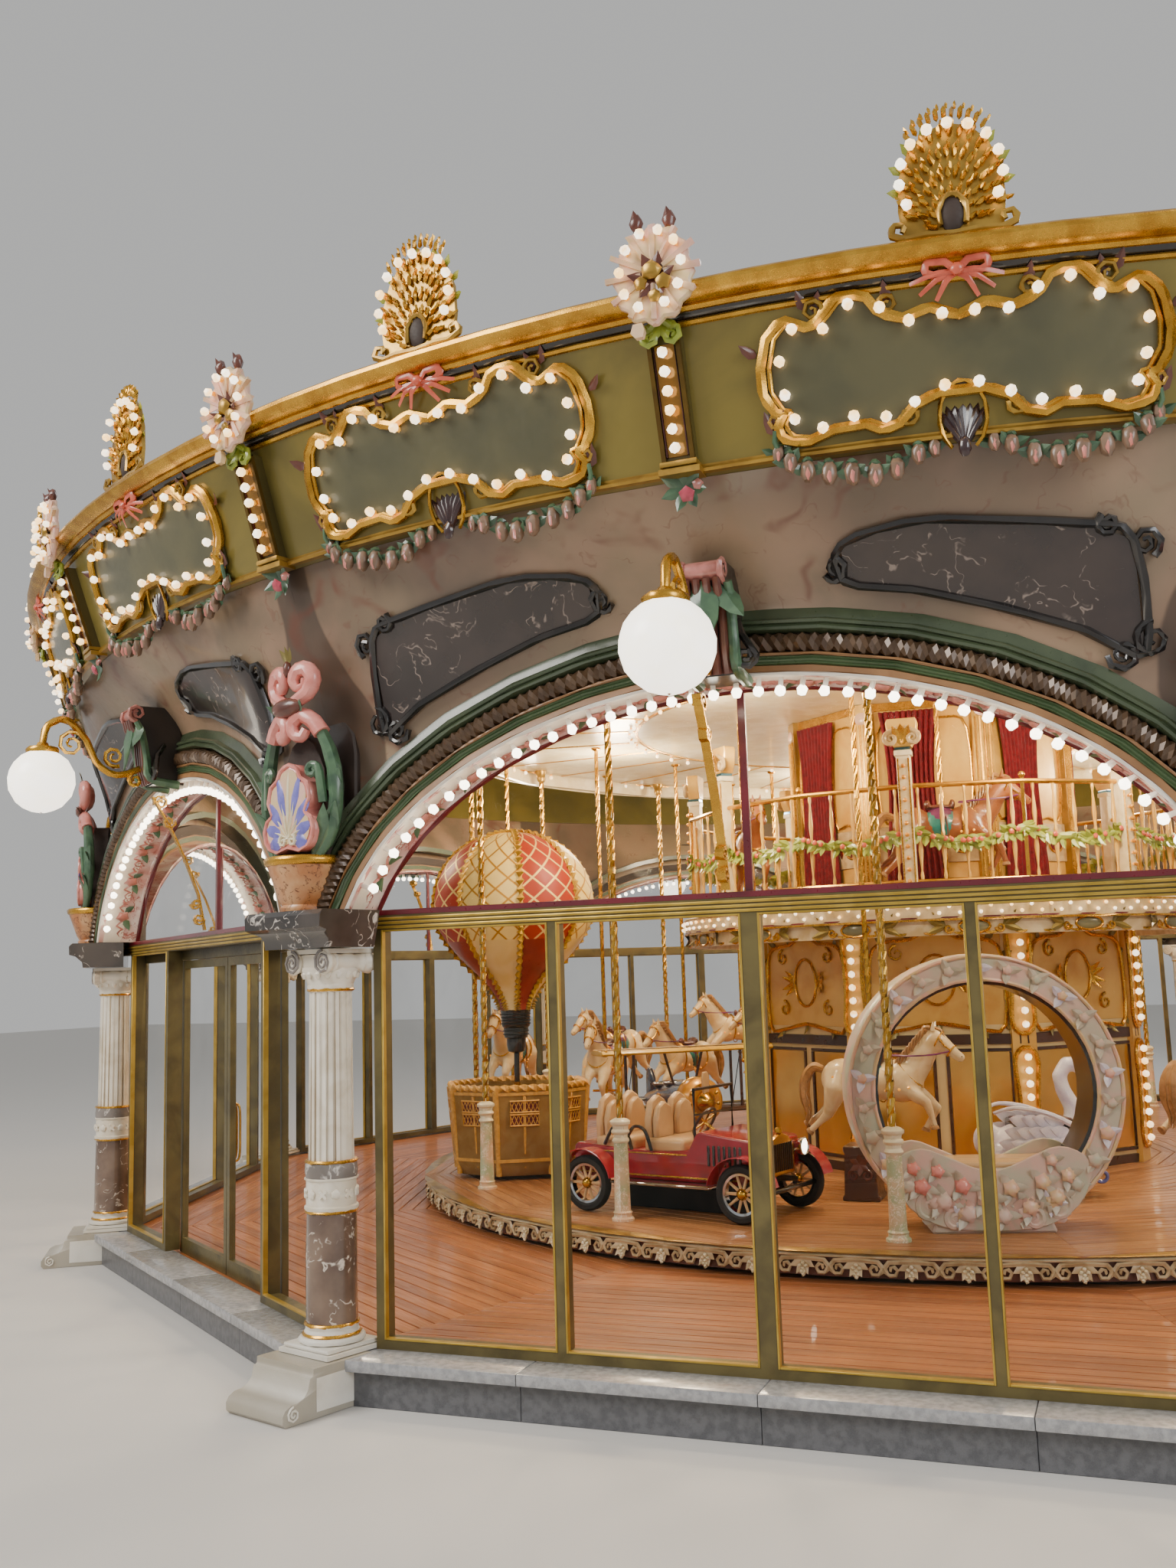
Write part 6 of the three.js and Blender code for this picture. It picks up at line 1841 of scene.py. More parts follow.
def make_upper_deck(sizes):
    piece = Piece("upper_deck_boards")
    profile = [(0.305, 2.702), (2.385, 2.702), (2.388, 2.520), (2.400, 2.472), (2.500, 2.472),
               (2.506, 2.500), (2.508, 2.590),
               (2.545, 2.600), (2.552, 2.615), (2.548, 2.735), (2.556, 2.748), (2.552, 2.7595),
               (0.305, 2.7595)]
    piece.add(lathe(profile, 96, closed=True), "cream carved")
    piece.add(lathe([(2.545, 2.610), (2.5535, 2.612), (2.5535, 2.624), (2.545, 2.626)], 96, closed=True),
              "burgundy")
    for z in (2.600, 2.742):
        piece.add(lathe([(2.540, z - 0.010), (2.560, z - 0.008), (2.5598, z + 0.008), (2.540, z + 0.010)],
                        96, closed=True),
                  "gilding")
    bulb_rows(piece, ring_places(96, 2.548, 2.655), radius=0.016)
    bulb_rows(piece, ring_places(96, 2.548, 2.708, 1.9), radius=0.016)
    part = Piece("medallion")
    part.add(ball((0, -2.508, 2.540), (0.120, 0.018, 0.052), 20, 8), "bare plate")
    part.add(tube([(0.128 * math.cos(a), -2.512, 2.540 + 0.058 * math.sin(a)) for a in
                   [TURN * i / 24 for i in range(24)]], 0.010, 6, closed=True), "gilding")
    for side in (-1, 1):
        coil = spiral((side * 0.21, 2.525), 0.040, 0.008, 180 if side > 0 else 0, side * 1.4, 14)
        part.add(tube([(p.x, -2.514, p.y) for p in coil], 0.013, 5, widths=tapering(0.5)), "gilding")
        for angle in (-70, -110, -40):
            part.add(leaf(0.16, 0.030, 0.2, 0.3, 5), "olive gold",
                     facing((side * 0.24, -2.510, 2.545), (0, -1, 0)) @ turned("Z", side * angle))
    for turn in around(16, 8.65):
        piece.join(part, turn)
    drop = [(-0.060, 2.50), (-0.045, 2.480), (0, 2.4705), (0.045, 2.480), (0.060, 2.50)]
    for turn in around(64):
        piece.add(moulded(plate(drop, 2.498, 2.510, 0.004), turn), "gilding")
    part.bm.free()
    piece.thin(KEPT_DECKS)
    lay_boards(piece, "deck boards", 16, -2.6, 1.30, 2.475, sizes.board_width, UPPER_FLOOR, 29)
    piece.object("carousel", "gilt_carving", ("upper_deck",))


def make_railing():
    piece = Piece("upper_railing_work")
    turns = around(16, -2.6)
    corners = [turn @ Vector((0, -RAIL_RADIUS, 0)) for turn in turns]
    for z, radius in ((RAILS[0], 0.020), (RAILS[1], 0.022)):
        piece.add(tube([(p.x, p.y, z) for p in corners], radius, 8, closed=True), "brass")
    baluster = lathe([(0, 2.945), (0.014, 2.946), (0.016, 2.975), (0.008, 3.02), (0.013, 3.10),
                      (0.021, 3.19), (0.012, 3.31),
                      (0.018, 3.335), (0.012, 3.36), (0.020, 3.48), (0.013, 3.58), (0.008, 3.66),
                      (0.015, 3.70),
                      (0.012, 3.735), (0, 3.736)], 8)
    spots = []
    draw = random.Random(3)
    for i, a in enumerate(corners):
        b = corners[(i + 1) % 16]
        spots += [moved(*a.lerp(b, (k + 0.5) / 5)) for k in range(5)]
        line = curve([a.lerp(b, s) + Vector((0, 0, z)) + a.normalized() * 0.028 for s, z in
                      ((0, 3.36), (0.25, 3.29), (0.5, 3.26), (0.75, 3.29), (1, 3.36))], 5)
        for p in line[:-1]:
            for _ in range(3):
                look = (p.x + draw.uniform(-0.5, 0.5), p.y + draw.uniform(-0.5, 0.5), draw.uniform(-0.6, 0.6))
                piece.add(leaf(0.11, 0.032, 0.3, 0.3, 4), "leaf bright",
                          facing(p, look) @ turned("Z", draw.uniform(60, 300)))
            if draw.random() < 0.4:
                piece.add(rose(0.026), "coral", facing(p + a.normalized() * 0.02, (p.x, p.y, 0.2)))
    piece.add(baluster, "panel gold", *spots)
    post = bar((0, -RAIL_RADIUS, 2.7603), (0, -RAIL_RADIUS, 3.79), 0.020, 0.018, 8)
    piece.add(post, "brass", *turns[1::2])
    piece.add(ball((0, -RAIL_RADIUS, 3.80), 0.030, 10, 6), "brass", *turns[1::2])
    column = Piece("column")
    out = RAIL_RADIUS + 0.060
    column.add(block((-0.058, -out, 2.7603), (0.058, -RAIL_RADIUS + 0.06, 4.06), 0.008), "cream carved")
    column.add(block((-0.070, -out - 0.012, 2.7603), (0.070, -RAIL_RADIUS + 0.065, 2.86), 0.010, 2), "cream")
    for x in (-0.045, 0.045):
        column.add(block((x - 0.008, -out - 0.010, 2.87), (x + 0.008, -out, 3.98), 0.003), "gilding")
    bulb_rows(column, [facing((0, -out, 2.93 + 0.098 * i), (0, -1, 0)) for i in range(11)], 0.020, "amber")
    column.add(block((-0.075, -out - 0.015, 4.000), (0.075, -RAIL_RADIUS + 0.065, 4.050), 0.010, 2), "cream")
    column.add(block((-0.066, -out - 0.004, 4.050), (0.066, -RAIL_RADIUS + 0.06, 4.075), 0.003),
               "blue mirror")
    cap = [(-0.075, 4.075), (0.075, 4.075), (0.115, 4.16), (0.135, 4.29), (0.120, 4.328), (-0.120, 4.328),
           (-0.135, 4.29),
           (-0.115, 4.16)]
    column.add(plate(cap, RAIL_RADIUS - 0.066, RAIL_RADIUS + 0.058, 0.010), "panel gold")
    for side in (-1, 1):
        coil = spiral((side * 0.092, 4.150), 0.060, 0.010, 90, side * -1.6, 22)
        path = [Vector((side * 0.03, -out - 0.012, 4.24))] + [Vector((p.x, -out - 0.016, p.y)) for p in coil]
        column.add(tube(path, 0.024, 7, widths=tapering(0.5)), "carved tan")
    for angle in (-25, 0, 25):
        column.add(leaf(0.17, 0.040, 0.4, 0.3, 6), "gilding",
                   facing((0, -out - 0.006, 4.10), (0, -1, 0)) @ turned("Z", angle))
    for turn in turns[0::2]:
        piece.join(column, turn)
    column.bm.free()
    piece.thin(KEPT_DECKS)
    piece.object("carousel", "railing_brass", ("upper_railing",))


def make_upper_core():
    turns, apothem, half = core_faces(UPPER_CORE_RADIUS)
    piece = Piece("upper_core_panels")
    part = Piece("face")
    part.add(block((-half + 0.01, -apothem, 2.7608), (half - 0.01, -apothem + 0.06, 4.6990)), "panel gold")
    part.add(block((-half + 0.02, -apothem - 0.020, 3.16), (half - 0.02, -apothem, 3.52), 0.010, 2),
             "carved tan")
    part.add(block((-half + 0.02, -apothem - 0.016, 2.7608), (half - 0.02, -apothem, 2.84), 0.006), "gilding")
    part.add(block((-half + 0.02, -apothem - 0.016, 4.62), (half - 0.02, -apothem, 4.698), 0.006), "gilding")
    for x in (-0.30, 0.0, 0.30):
        part.add(ball((x, -apothem - 0.022, 3.34), (0.085, 0.020, 0.085), 16, 6), "burgundy")
        part.add(tube([(x + 0.092 * math.cos(a), -apothem - 0.024, 3.34 + 0.092 * math.sin(a)) for a in
                       [TURN * i / 20 for i in range(20)]], 0.010, 6, closed=True), "gilding")
    for x in (-0.15, 0.15):
        part.add(plate([(x - 0.045, 3.34), (x, 3.25), (x + 0.045, 3.34), (x, 3.43)], apothem + 0.018,
                       apothem + 0.028, 0.003),
                 "mirror")
    for x in (-half * 0.45, half * 0.45):
        lyre = [(x - 0.17, 3.62), (x - 0.17, 4.40), (x, 4.52), (x + 0.17, 4.40), (x + 0.17, 3.62), (x, 3.58)]
        points = curve([(a, z, 0) for a, z in lyre], 3, closed=True)
        part.add(tube([(p.x, -apothem - 0.010, p.y) for p in points], 0.012, 6, closed=True), "gilding")
    for turn in turns:
        piece.join(part, turn)
    strip = Piece("strip")
    out = UPPER_CORE_RADIUS + 0.030
    strip.add(block((-0.098, -out, 2.7608), (0.098, -UPPER_CORE_RADIUS + 0.06, 4.6990), 0.006), "old gold")
    for x in (-0.066, -0.022, 0.022, 0.066):
        strip.add(bar((x, -out, 2.88), (x, -out, 4.50), 0.011, 0.011, 6), "gilding")
    strip.add(ball((0, -out - 0.004, 4.56), (0.08, 0.02, 0.06), 14, 6), "shell pink")
    for turn in around(8, CORE_PHASE):
        piece.join(strip, turn)
    part.bm.free()
    strip.bm.free()
    piece.thin(KEPT_SMALL)
    piece.object("carousel", "cream_enamel", ("upper_core",))


def make_curtains():
    """Red drapes gathered on the faces of the upper core, hung from its top rail."""
    apothem = UPPER_CORE_RADIUS * math.cos(math.pi / 8)
    width, depth, folds = 1.03, 1.70, 10
    for i, turn in enumerate(core_faces(UPPER_CORE_RADIUS)[0]):

        def place(u, v):
            narrow = 1 - 0.25 * math.sin(math.pi * min(v * 1.15, 1)) * (1 - 0.3 * v)
            x = -0.12 + (u - 0.5) * 0.54 * narrow
            y = -apothem - 0.060 - 0.022 * math.sin(u * folds * TURN)
            return turn @ Vector((x, y, 4.60 - v * 1.70))
        piece = Piece("drape_%d" % (i + 1))
        sheet = bent_grid(120, 14, place)
        piece.add(sheet, "curtain")
        made = piece.object("carousel", "cream_enamel", angle=80)


def make_post():
    """Twisted brass pole in a ringed capital over a marbled sleeve."""
    part = Piece("post")
    lobes = [(0.0285 * (1 + 0.13 * math.cos(3 * a)) * math.cos(a),
              0.0285 * (1 + 0.13 * math.cos(3 * a)) * math.sin(a))
             for a in [TURN * i / 15 for i in range(15)]]
    path = [(0, 0, blended(1.10, 4.700, i / 70)) for i in range(71)]
    part.add(sweep(lobes, path, twist=11), "brass")
    part.add(lathe([(0, 0.4206), (0.085, 0.4206), (0.085, 0.440), (0.070, 0.450), (0.066, 0.470),
                    (0.072, 0.482),
                    (0.061, 0.495), (0.052, 0.985), (0, 0.985)], 20), "sleeve marble")
    rings = [(0, 0.985), (0.056, 0.985), (0.066, 1.000), (0.060, 1.015), (0.052, 1.022), (0.052, 1.045),
             (0.064, 1.052),
             (0.071, 1.066), (0.064, 1.080), (0.056, 1.086), (0.060, 1.110), (0.076, 1.122),
             (0.078, 1.140), (0.060, 1.155),
             (0.034, 1.165), (0, 1.165)]
    part.add(lathe(rings, 20), "cream")
    part.add(lathe([(0, 4.560), (0.040, 4.560), (0.055, 4.600), (0.048, 4.630), (0.070, 4.680),
                    (0.070, 4.702), (0, 4.702)],
                   20), "old gold")
    return part


def make_canopy():
    """Rim, ribs, lamps and posts round the carried-over canopy."""
    finish_node("canopy", "cream")
    piece = Piece("canopy_rim")
    face = [(4.985, 4.558), (5.004, 4.560), (5.012, 4.578), (5.006, 4.596), (5.004, 4.770), (5.014, 4.786),
            (5.012, 4.804),
            (4.990, 4.815), (4.985, 4.800)]
    piece.add(lathe(face, 112, closed=True), "cream carved")
    for z in (4.590, 4.780):
        piece.add(lathe([(4.998, z - 0.012), (5.016, z - 0.006), (5.016, z + 0.006), (4.998, z + 0.012)],
                        112, closed=True),
                  "gilding")
    bulb_rows(piece, [turn @ facing((0, -4.860, 4.698), (0, 0, -1),
                                    (0, 1, 0)) for turn in around(112, 1.6)], radius=0.022)
    bulb_rows(piece, [turn @ facing((0, -3.05, 4.698), (0, 0, -1), (0, 1, 0)) for turn in around(56)],
              radius=0.022)
    for radius in (2.98, 4.905):
        piece.add(lathe([(radius - 0.02, 4.704), (radius - 0.015, 4.688), (radius + 0.015, 4.688),
                         (radius + 0.02, 4.704)],
                        112, closed=True), "gilding")
    piece.add(block((-0.014, -4.89, 4.690), (0.014, -2.98, 4.703), 0.004), "gilding",
              *around(28, POST_PHASE + 360 / 56))
    part = Piece("board")
    leafy = [(-0.30, 4.62), (-0.26, 4.700), (-0.10, 4.735), (0, 4.765), (0.10, 4.735), (0.26, 4.700),
             (0.30, 4.62),
             (0.14, 4.600), (0, 4.585), (-0.14, 4.600)]
    points = curve([(x, z, 0) for x, z in leafy], 3, closed=True)
    part.add(tube([(p.x, -5.004, p.y) for p in points], 0.009, 5, closed=True), "gilding")
    part.add(ball((0, -5.002, 4.680), (0.10, 0.012, 0.050), 16, 6), "bare plate")
    for turn in around(28, 3.8):
        piece.join(part, turn)
    part.bm.free()
    piece.thin(KEPT_SMALL)
    piece.object("carousel", "gilt_carving")
    posts = Piece("canopy_posts")
    part = make_post()
    for turn in around(POSTS, POST_PHASE):
        posts.join(part, turn @ moved(0, -POST_RADIUS, 0))
    part.bm.free()
    bush = [(0.0262, 4.698), (0.052, 4.698), (0.052, 4.688), (0.044, 4.680), (0.034, 4.672), (0.0275, 4.672)]
    spots = [spun(azimuth) @ moved(0, -radius, 0) for azimuth, radii, _ in HORSE_ROWS for radius in radii]
    posts.add(lathe(bush, 20, closed=True), "brass", *spots)
    posts.thin(KEPT_SMALL)
    posts.object("carousel", "railing_brass")


# Riders

def chain(points, sides=10):
    """Balls of given radii joined by tapered bars: (x, y, z, radius) each."""
    shape = bmesh.new()
    for i, (x, y, z, radius) in enumerate(points):
        bmesh.ops.create_uvsphere(shape, u_segments=sides, v_segments=6, radius=radius, matrix=moved(x, y, z))
        if i:
            a, b = Vector(points[i - 1][:3]), Vector((x, y, z))
            turn = Vector((0, 0, 1)).rotation_difference(b - a).to_matrix().to_4x4()
            bmesh.ops.create_cone(shape, cap_ends=True, cap_tris=False, segments=sides,
                                  radius1=points[i - 1][3],
                                  radius2=radius, depth=(b - a).length,
                                  matrix=Matrix.Translation((a + b) / 2) @ turn)
    return shape


def fused(shapes, voxel, smooth=6, faces=0.5):
    """Joins overlapping shapes in one smooth skin."""
    mesh = bpy.data.meshes.new("mass")
    whole = bmesh.new()
    for shape in shapes:
        part = bpy.data.meshes.new("part")
        shape.to_mesh(part)
        shape.free()
        whole.from_mesh(part)
        bpy.data.meshes.remove(part)
    whole.to_mesh(mesh)
    whole.free()
    return through(mesh, ("REMESH", {"mode": "VOXEL", "voxel_size": voxel}),
                   ("SMOOTH", {"factor": 0.5, "iterations": smooth}), ("DECIMATE", {"ratio": faces}))


def hoop(centre, across, up, radius, forward=(1, 0, 0), count=22):
    """Closed strap round a limb, square to a direction."""
    frame_turn = facing(centre, forward, (0, 0, 1))
    path = [frame_turn @ Vector((across * math.cos(TURN * i / count), up * math.sin(TURN * i / count), 0))
            for i in range(count)]
    return tube(path, radius, 5, closed=True)


def make_horse(coat):
    """One galloping horse, nose along +X, its belly line at height 0."""
    flat = sized(1, 0.66, 1)
    trunk = [ball((0.27, 0, 0.20), (0.205, 0.160, 0.200), 16, 10),
             ball((0, 0, 0.185), (0.34, 0.165, 0.170), 16, 10),
             ball((-0.30, 0, 0.215), (0.20, 0.170, 0.190), 16, 10),
             ball((0.20, 0, 0.31), (0.14, 0.070, 0.085), 12, 8)]
    neck = moulded(chain([(0.32, 0, 0.24, 0.165), (0.43, 0, 0.37, 0.135), (0.52, 0, 0.49, 0.108),
                          (0.585, 0, 0.585, 0.088)],
                         14), flat)
    head = moulded(chain([(0.60, 0, 0.59, 0.082), (0.675, 0, 0.525, 0.074), (0.76, 0, 0.455, 0.052),
                          (0.82, 0, 0.408, 0.046)],
                         12), sized(1, 0.78, 1))
    jaw = moulded(chain([(0.625, 0, 0.52, 0.070), (0.70, 0, 0.475, 0.052)], 10), sized(1, 0.70, 1))
    legs = []
    for side in (-1, 1):
        y = side * 0.088
        fore = (((0.34, 0.13, 0.078), (0.46, 0.03, 0.066), (0.555, -0.05, 0.047), (0.50, -0.15, 0.030),
                 (0.452, -0.228, 0.032))
                if side > 0 else
                ((0.34, 0.13, 0.078), (0.44, 0.06, 0.066), (0.51, 0.01, 0.047), (0.545, -0.10, 0.030),
                 (0.567, -0.190, 0.032)))
        hind = (((-0.33, 0.14, 0.125), (-0.42, 0.03, 0.082), (-0.48, -0.08, 0.052), (-0.585, -0.15, 0.033),
                 (-0.672, -0.208, 0.034)) if side > 0 else
                ((-0.33, 0.14, 0.125), (-0.38, 0.01, 0.082), (-0.42, -0.10, 0.052), (-0.51, -0.18, 0.033),
                 (-0.592, -0.252, 0.034)))
        for leg in (fore, hind):
            legs.append(chain([(x, y, z, r) for x, z, r in leg], 10))
    part = Piece("horse")
    skin = fused(trunk + [neck, head, jaw] + legs, 0.017, 5, 0.17)
    part.add(skin, coat)
    for side in (-1, 1):
        y = side * 0.088
        for a, b in ((((0.452, -0.228), (0.440, -0.262)), ((-0.672, -0.208), (-0.705, -0.225)))
                     if side > 0 else (((0.567, -0.190), (0.572, -0.226)),
                                       ((-0.592, -0.252), (-0.618, -0.278)))):
            part.add(bar((a[0], y, a[1]), (b[0], y, b[1]), 0.034, 0.043, 10, 0.006), "horse mane")
        part.add(bar((0.588, side * 0.034, 0.655), (0.600, side * 0.046, 0.735), 0.024, 0.004, 8), coat)
        part.add(ball((0.662, side * 0.056, 0.558), (0.016, 0.008, 0.013), 8, 6), "black lacquer")
        part.add(ball((0.836, side * 0.022, 0.418), (0.009, 0.008, 0.007), 6, 5), "black lacquer")
        for i in range(9):
            share = i / 8
            root = Vector((blended(0.315, 0.575, share) - 0.02, side * 0.012, blended(0.385, 0.675, share)))
            path = [root, root + Vector((-0.045, side * 0.050, 0.005)),
                    root + Vector((-0.060, side * 0.078, -0.065)),
                    root + Vector((-0.085, side * 0.082, -0.135 + 0.02 * (i % 2)))]
            part.add(tube(curve(path, 3), 0.024, 5, widths=tapering(0.25), flat=0.6), "horse mane")
    for i in range(3):
        lock = [(0.60, 0, 0.672), (0.655, 0.012 * (i - 1), 0.655), (0.692, 0.022 * (i - 1), 0.595)]
        part.add(tube(curve(lock, 3), 0.020, 5, widths=tapering(0.2)), "horse mane")
    for i in range(7):
        a = TURN * i / 7
        dy, dz = 0.030 * math.cos(a), 0.022 * math.sin(a)
        route = [(-0.48, dy * 0.6, 0.300 + dz), (-0.575, dy, 0.320 + dz), (-0.655, dy * 1.8, 0.215 + dz),
                 (-0.675, dy * 2.2, 0.060 + dz), (-0.640, dy * 1.6, -0.090 + dz * 2),
                 (-0.665, dy, -0.180 + dz)]
        part.add(tube(curve(route, 3), 0.030, 5,
                      widths=lambda s: 0.55 + 0.7 * math.sin(math.pi * min(s * 1.15, 1)) - 0.3 * s),
                 "horse mane")
    part.add(ball((-0.02, 0, 0.200), (0.215, 0.176, 0.178), 20, 12), "horse teal")
    part.add(ball((-0.02, 0, 0.225), (0.170, 0.172, 0.172), 18, 12), "horse plum")
    seat = fused([ball((-0.02, 0, 0.385), (0.135, 0.095, 0.030), 14, 8),
                  ball((-0.145, 0, 0.415), (0.034, 0.088, 0.050), 12, 8),
                  ball((0.10, 0, 0.415), (0.030, 0.048, 0.052), 12, 8)], 0.012, 3, 0.5)
    part.add(seat, "bud brown")
    for centre, across, up, radius, forward in (
            ((-0.235, 0, 0.205), 0.168, 0.168, 0.012, (1, 0, 0)),
                                                ((0.190, 0, 0.215), 0.160, 0.185, 0.012, (1, 0, 0)),
            ((-0.02, 0, 0.205), 0.181, 0.181, 0.010, (1, 0, 0)),
                                                ((0.350, 0, 0.270), 0.118, 0.165, 0.013, (1, 0, 0.9)),
            ((0.742, 0, 0.470), 0.050, 0.060, 0.009, (1, 0, -0.8)),
                                                ((0.630, 0, 0.565), 0.066, 0.088, 0.009, (1, 0, -0.6))):
        part.add(hoop(centre, across, up, radius, forward), "gilding")
    for side in (-1, 1):
        rein = [(0.745, side * 0.048, 0.470), (0.60, side * 0.10, 0.44), (0.40, side * 0.12, 0.43),
                (0.16, side * 0.035, 0.43)]
        part.add(tube(curve(rein, 4), 0.008, 5, flat=0.6), "horse plum")
        cheek = [(0.745, side * 0.046, 0.475), (0.690, side * 0.062, 0.520), (0.640, side * 0.062, 0.60)]
        part.add(tube(curve(cheek, 3), 0.008, 5), "gilding")
        stirrup = [(0.02, side * 0.170, 0.28), (0.03, side * 0.192, 0.16), (0.03, side * 0.192, 0.05)]
        part.add(tube(curve(stirrup, 3), 0.007, 5), "bud brown")
        loop = [(0.03 + 0.032 * math.cos(TURN * i / 12), side * 0.192,
                 0.020 + 0.036 * math.sin(TURN * i / 12)) for i in range(12)]
        part.add(tube(loop, 0.006, 5, closed=True), "brass")
        for x, z in ((-0.20, 0.12), (-0.08, 0.07), (0.05, 0.07), (0.16, 0.12), (0.28, 0.13), (0.37, 0.15),
                     (-0.34, 0.24)):
            out = 0.160 if abs(x) > 0.25 else 0.172
            # Amber studs with a faint painted glow
            part.add(ball((x, side * out, z), (0.014, 0.008, 0.014), 8, 5), "glowing amber bead")
    part.thin(KEPT_SMALL)
    return part


def horse_pole(low, high):
    lobes = [(0.0225 * (1 + 0.06 * math.cos(3 * a)) * math.cos(a),
              0.0225 * (1 + 0.06 * math.cos(3 * a)) * math.sin(a))
             for a in [TURN * i / 12 for i in range(12)]]
    steps = max(int((high - low) / 0.07), 2)
    return sweep(lobes, [(0, 0, blended(low, high, i / steps)) for i in range(steps + 1)],
                 twist=(high - low) * 2.6)


def make_horses():
    cream = make_horse("horse cream")
    brown = make_horse("horse chestnut")
    for i, (azimuth, radii, belly) in enumerate(HORSE_ROWS):
        piece = Piece("horses_row_%d" % (i + 1))
        for k, radius in enumerate(radii):
            height = belly + (0.13 if len(radii) == 2 and k == 1 else 0.0)
            at = spun(azimuth) @ moved(0, -radius, 0)
            piece.join(cream, at @ moved(0, 0, height) @ sized(HORSE_SCALE))
            piece.add(horse_pole(height - 0.24, POLE_TOP - 0.01), "brass", at)
            piece.add(ball((0, 0, 0), 0.034, 10, 6), "brass", at @ moved(0, 0, height - 0.24))
            piece.add(bar((0, -0.15, height - 0.14), (0, 0.15, height - 0.14), 0.013, 0.013, 8), "brass", at)
        if len(radii) == 2:
            low, high = min(radii) - 0.04, max(radii) + 0.04
            piece.add(block((-0.03, -high, 5.00), (0.03, -low, POLE_TOP), 0.006), "iron", spun(azimuth))
        piece.object("horses_%d" % (i + 1), "horse_paint", ("horse_row_%d" % (i + 1),))
    for i, azimuth in enumerate(UPPER_HORSES):
        piece = Piece("chestnut_horse_%d" % (i + 1))
        at = spun(azimuth) @ moved(0, -UPPER_HORSE_RADIUS, 0)
        piece.join(brown, at @ moved(0, 0, 3.26) @ sized(HORSE_SCALE))
        piece.add(horse_pole(UPPER_FLOOR + 0.0004, CANOPY_BOTTOM - 0.0004), "brass", at)
        piece.add(lathe([(0, UPPER_FLOOR + 0.0004), (0.06, UPPER_FLOOR + 0.0004), (0.055, UPPER_FLOOR + 0.02),
                         (0.03, UPPER_FLOOR + 0.035), (0, UPPER_FLOOR + 0.035)], 16), "brass", at)
        piece.object("carousel", "chestnut_paint", ("upper_horse_%d" % (i + 1),))
    cream.bm.free()
    brown.bm.free()


def banded(piece, shape, choose, chart, place):
    """Takes in a shape with a finish and a stretch of the map for each face."""
    layer = shape.loops.layers.uv.new("UVMap")
    for face in shape.faces:
        middle = face.calc_center_median()
        face.material_index = piece.index(choose(middle))
        for loop in face.loops:
            loop[layer].uv = chart(loop.vert.co, middle)
    mesh = bpy.data.meshes.new("shape")
    shape.to_mesh(mesh)
    shape.free()
    piece.take(mesh, (place,))


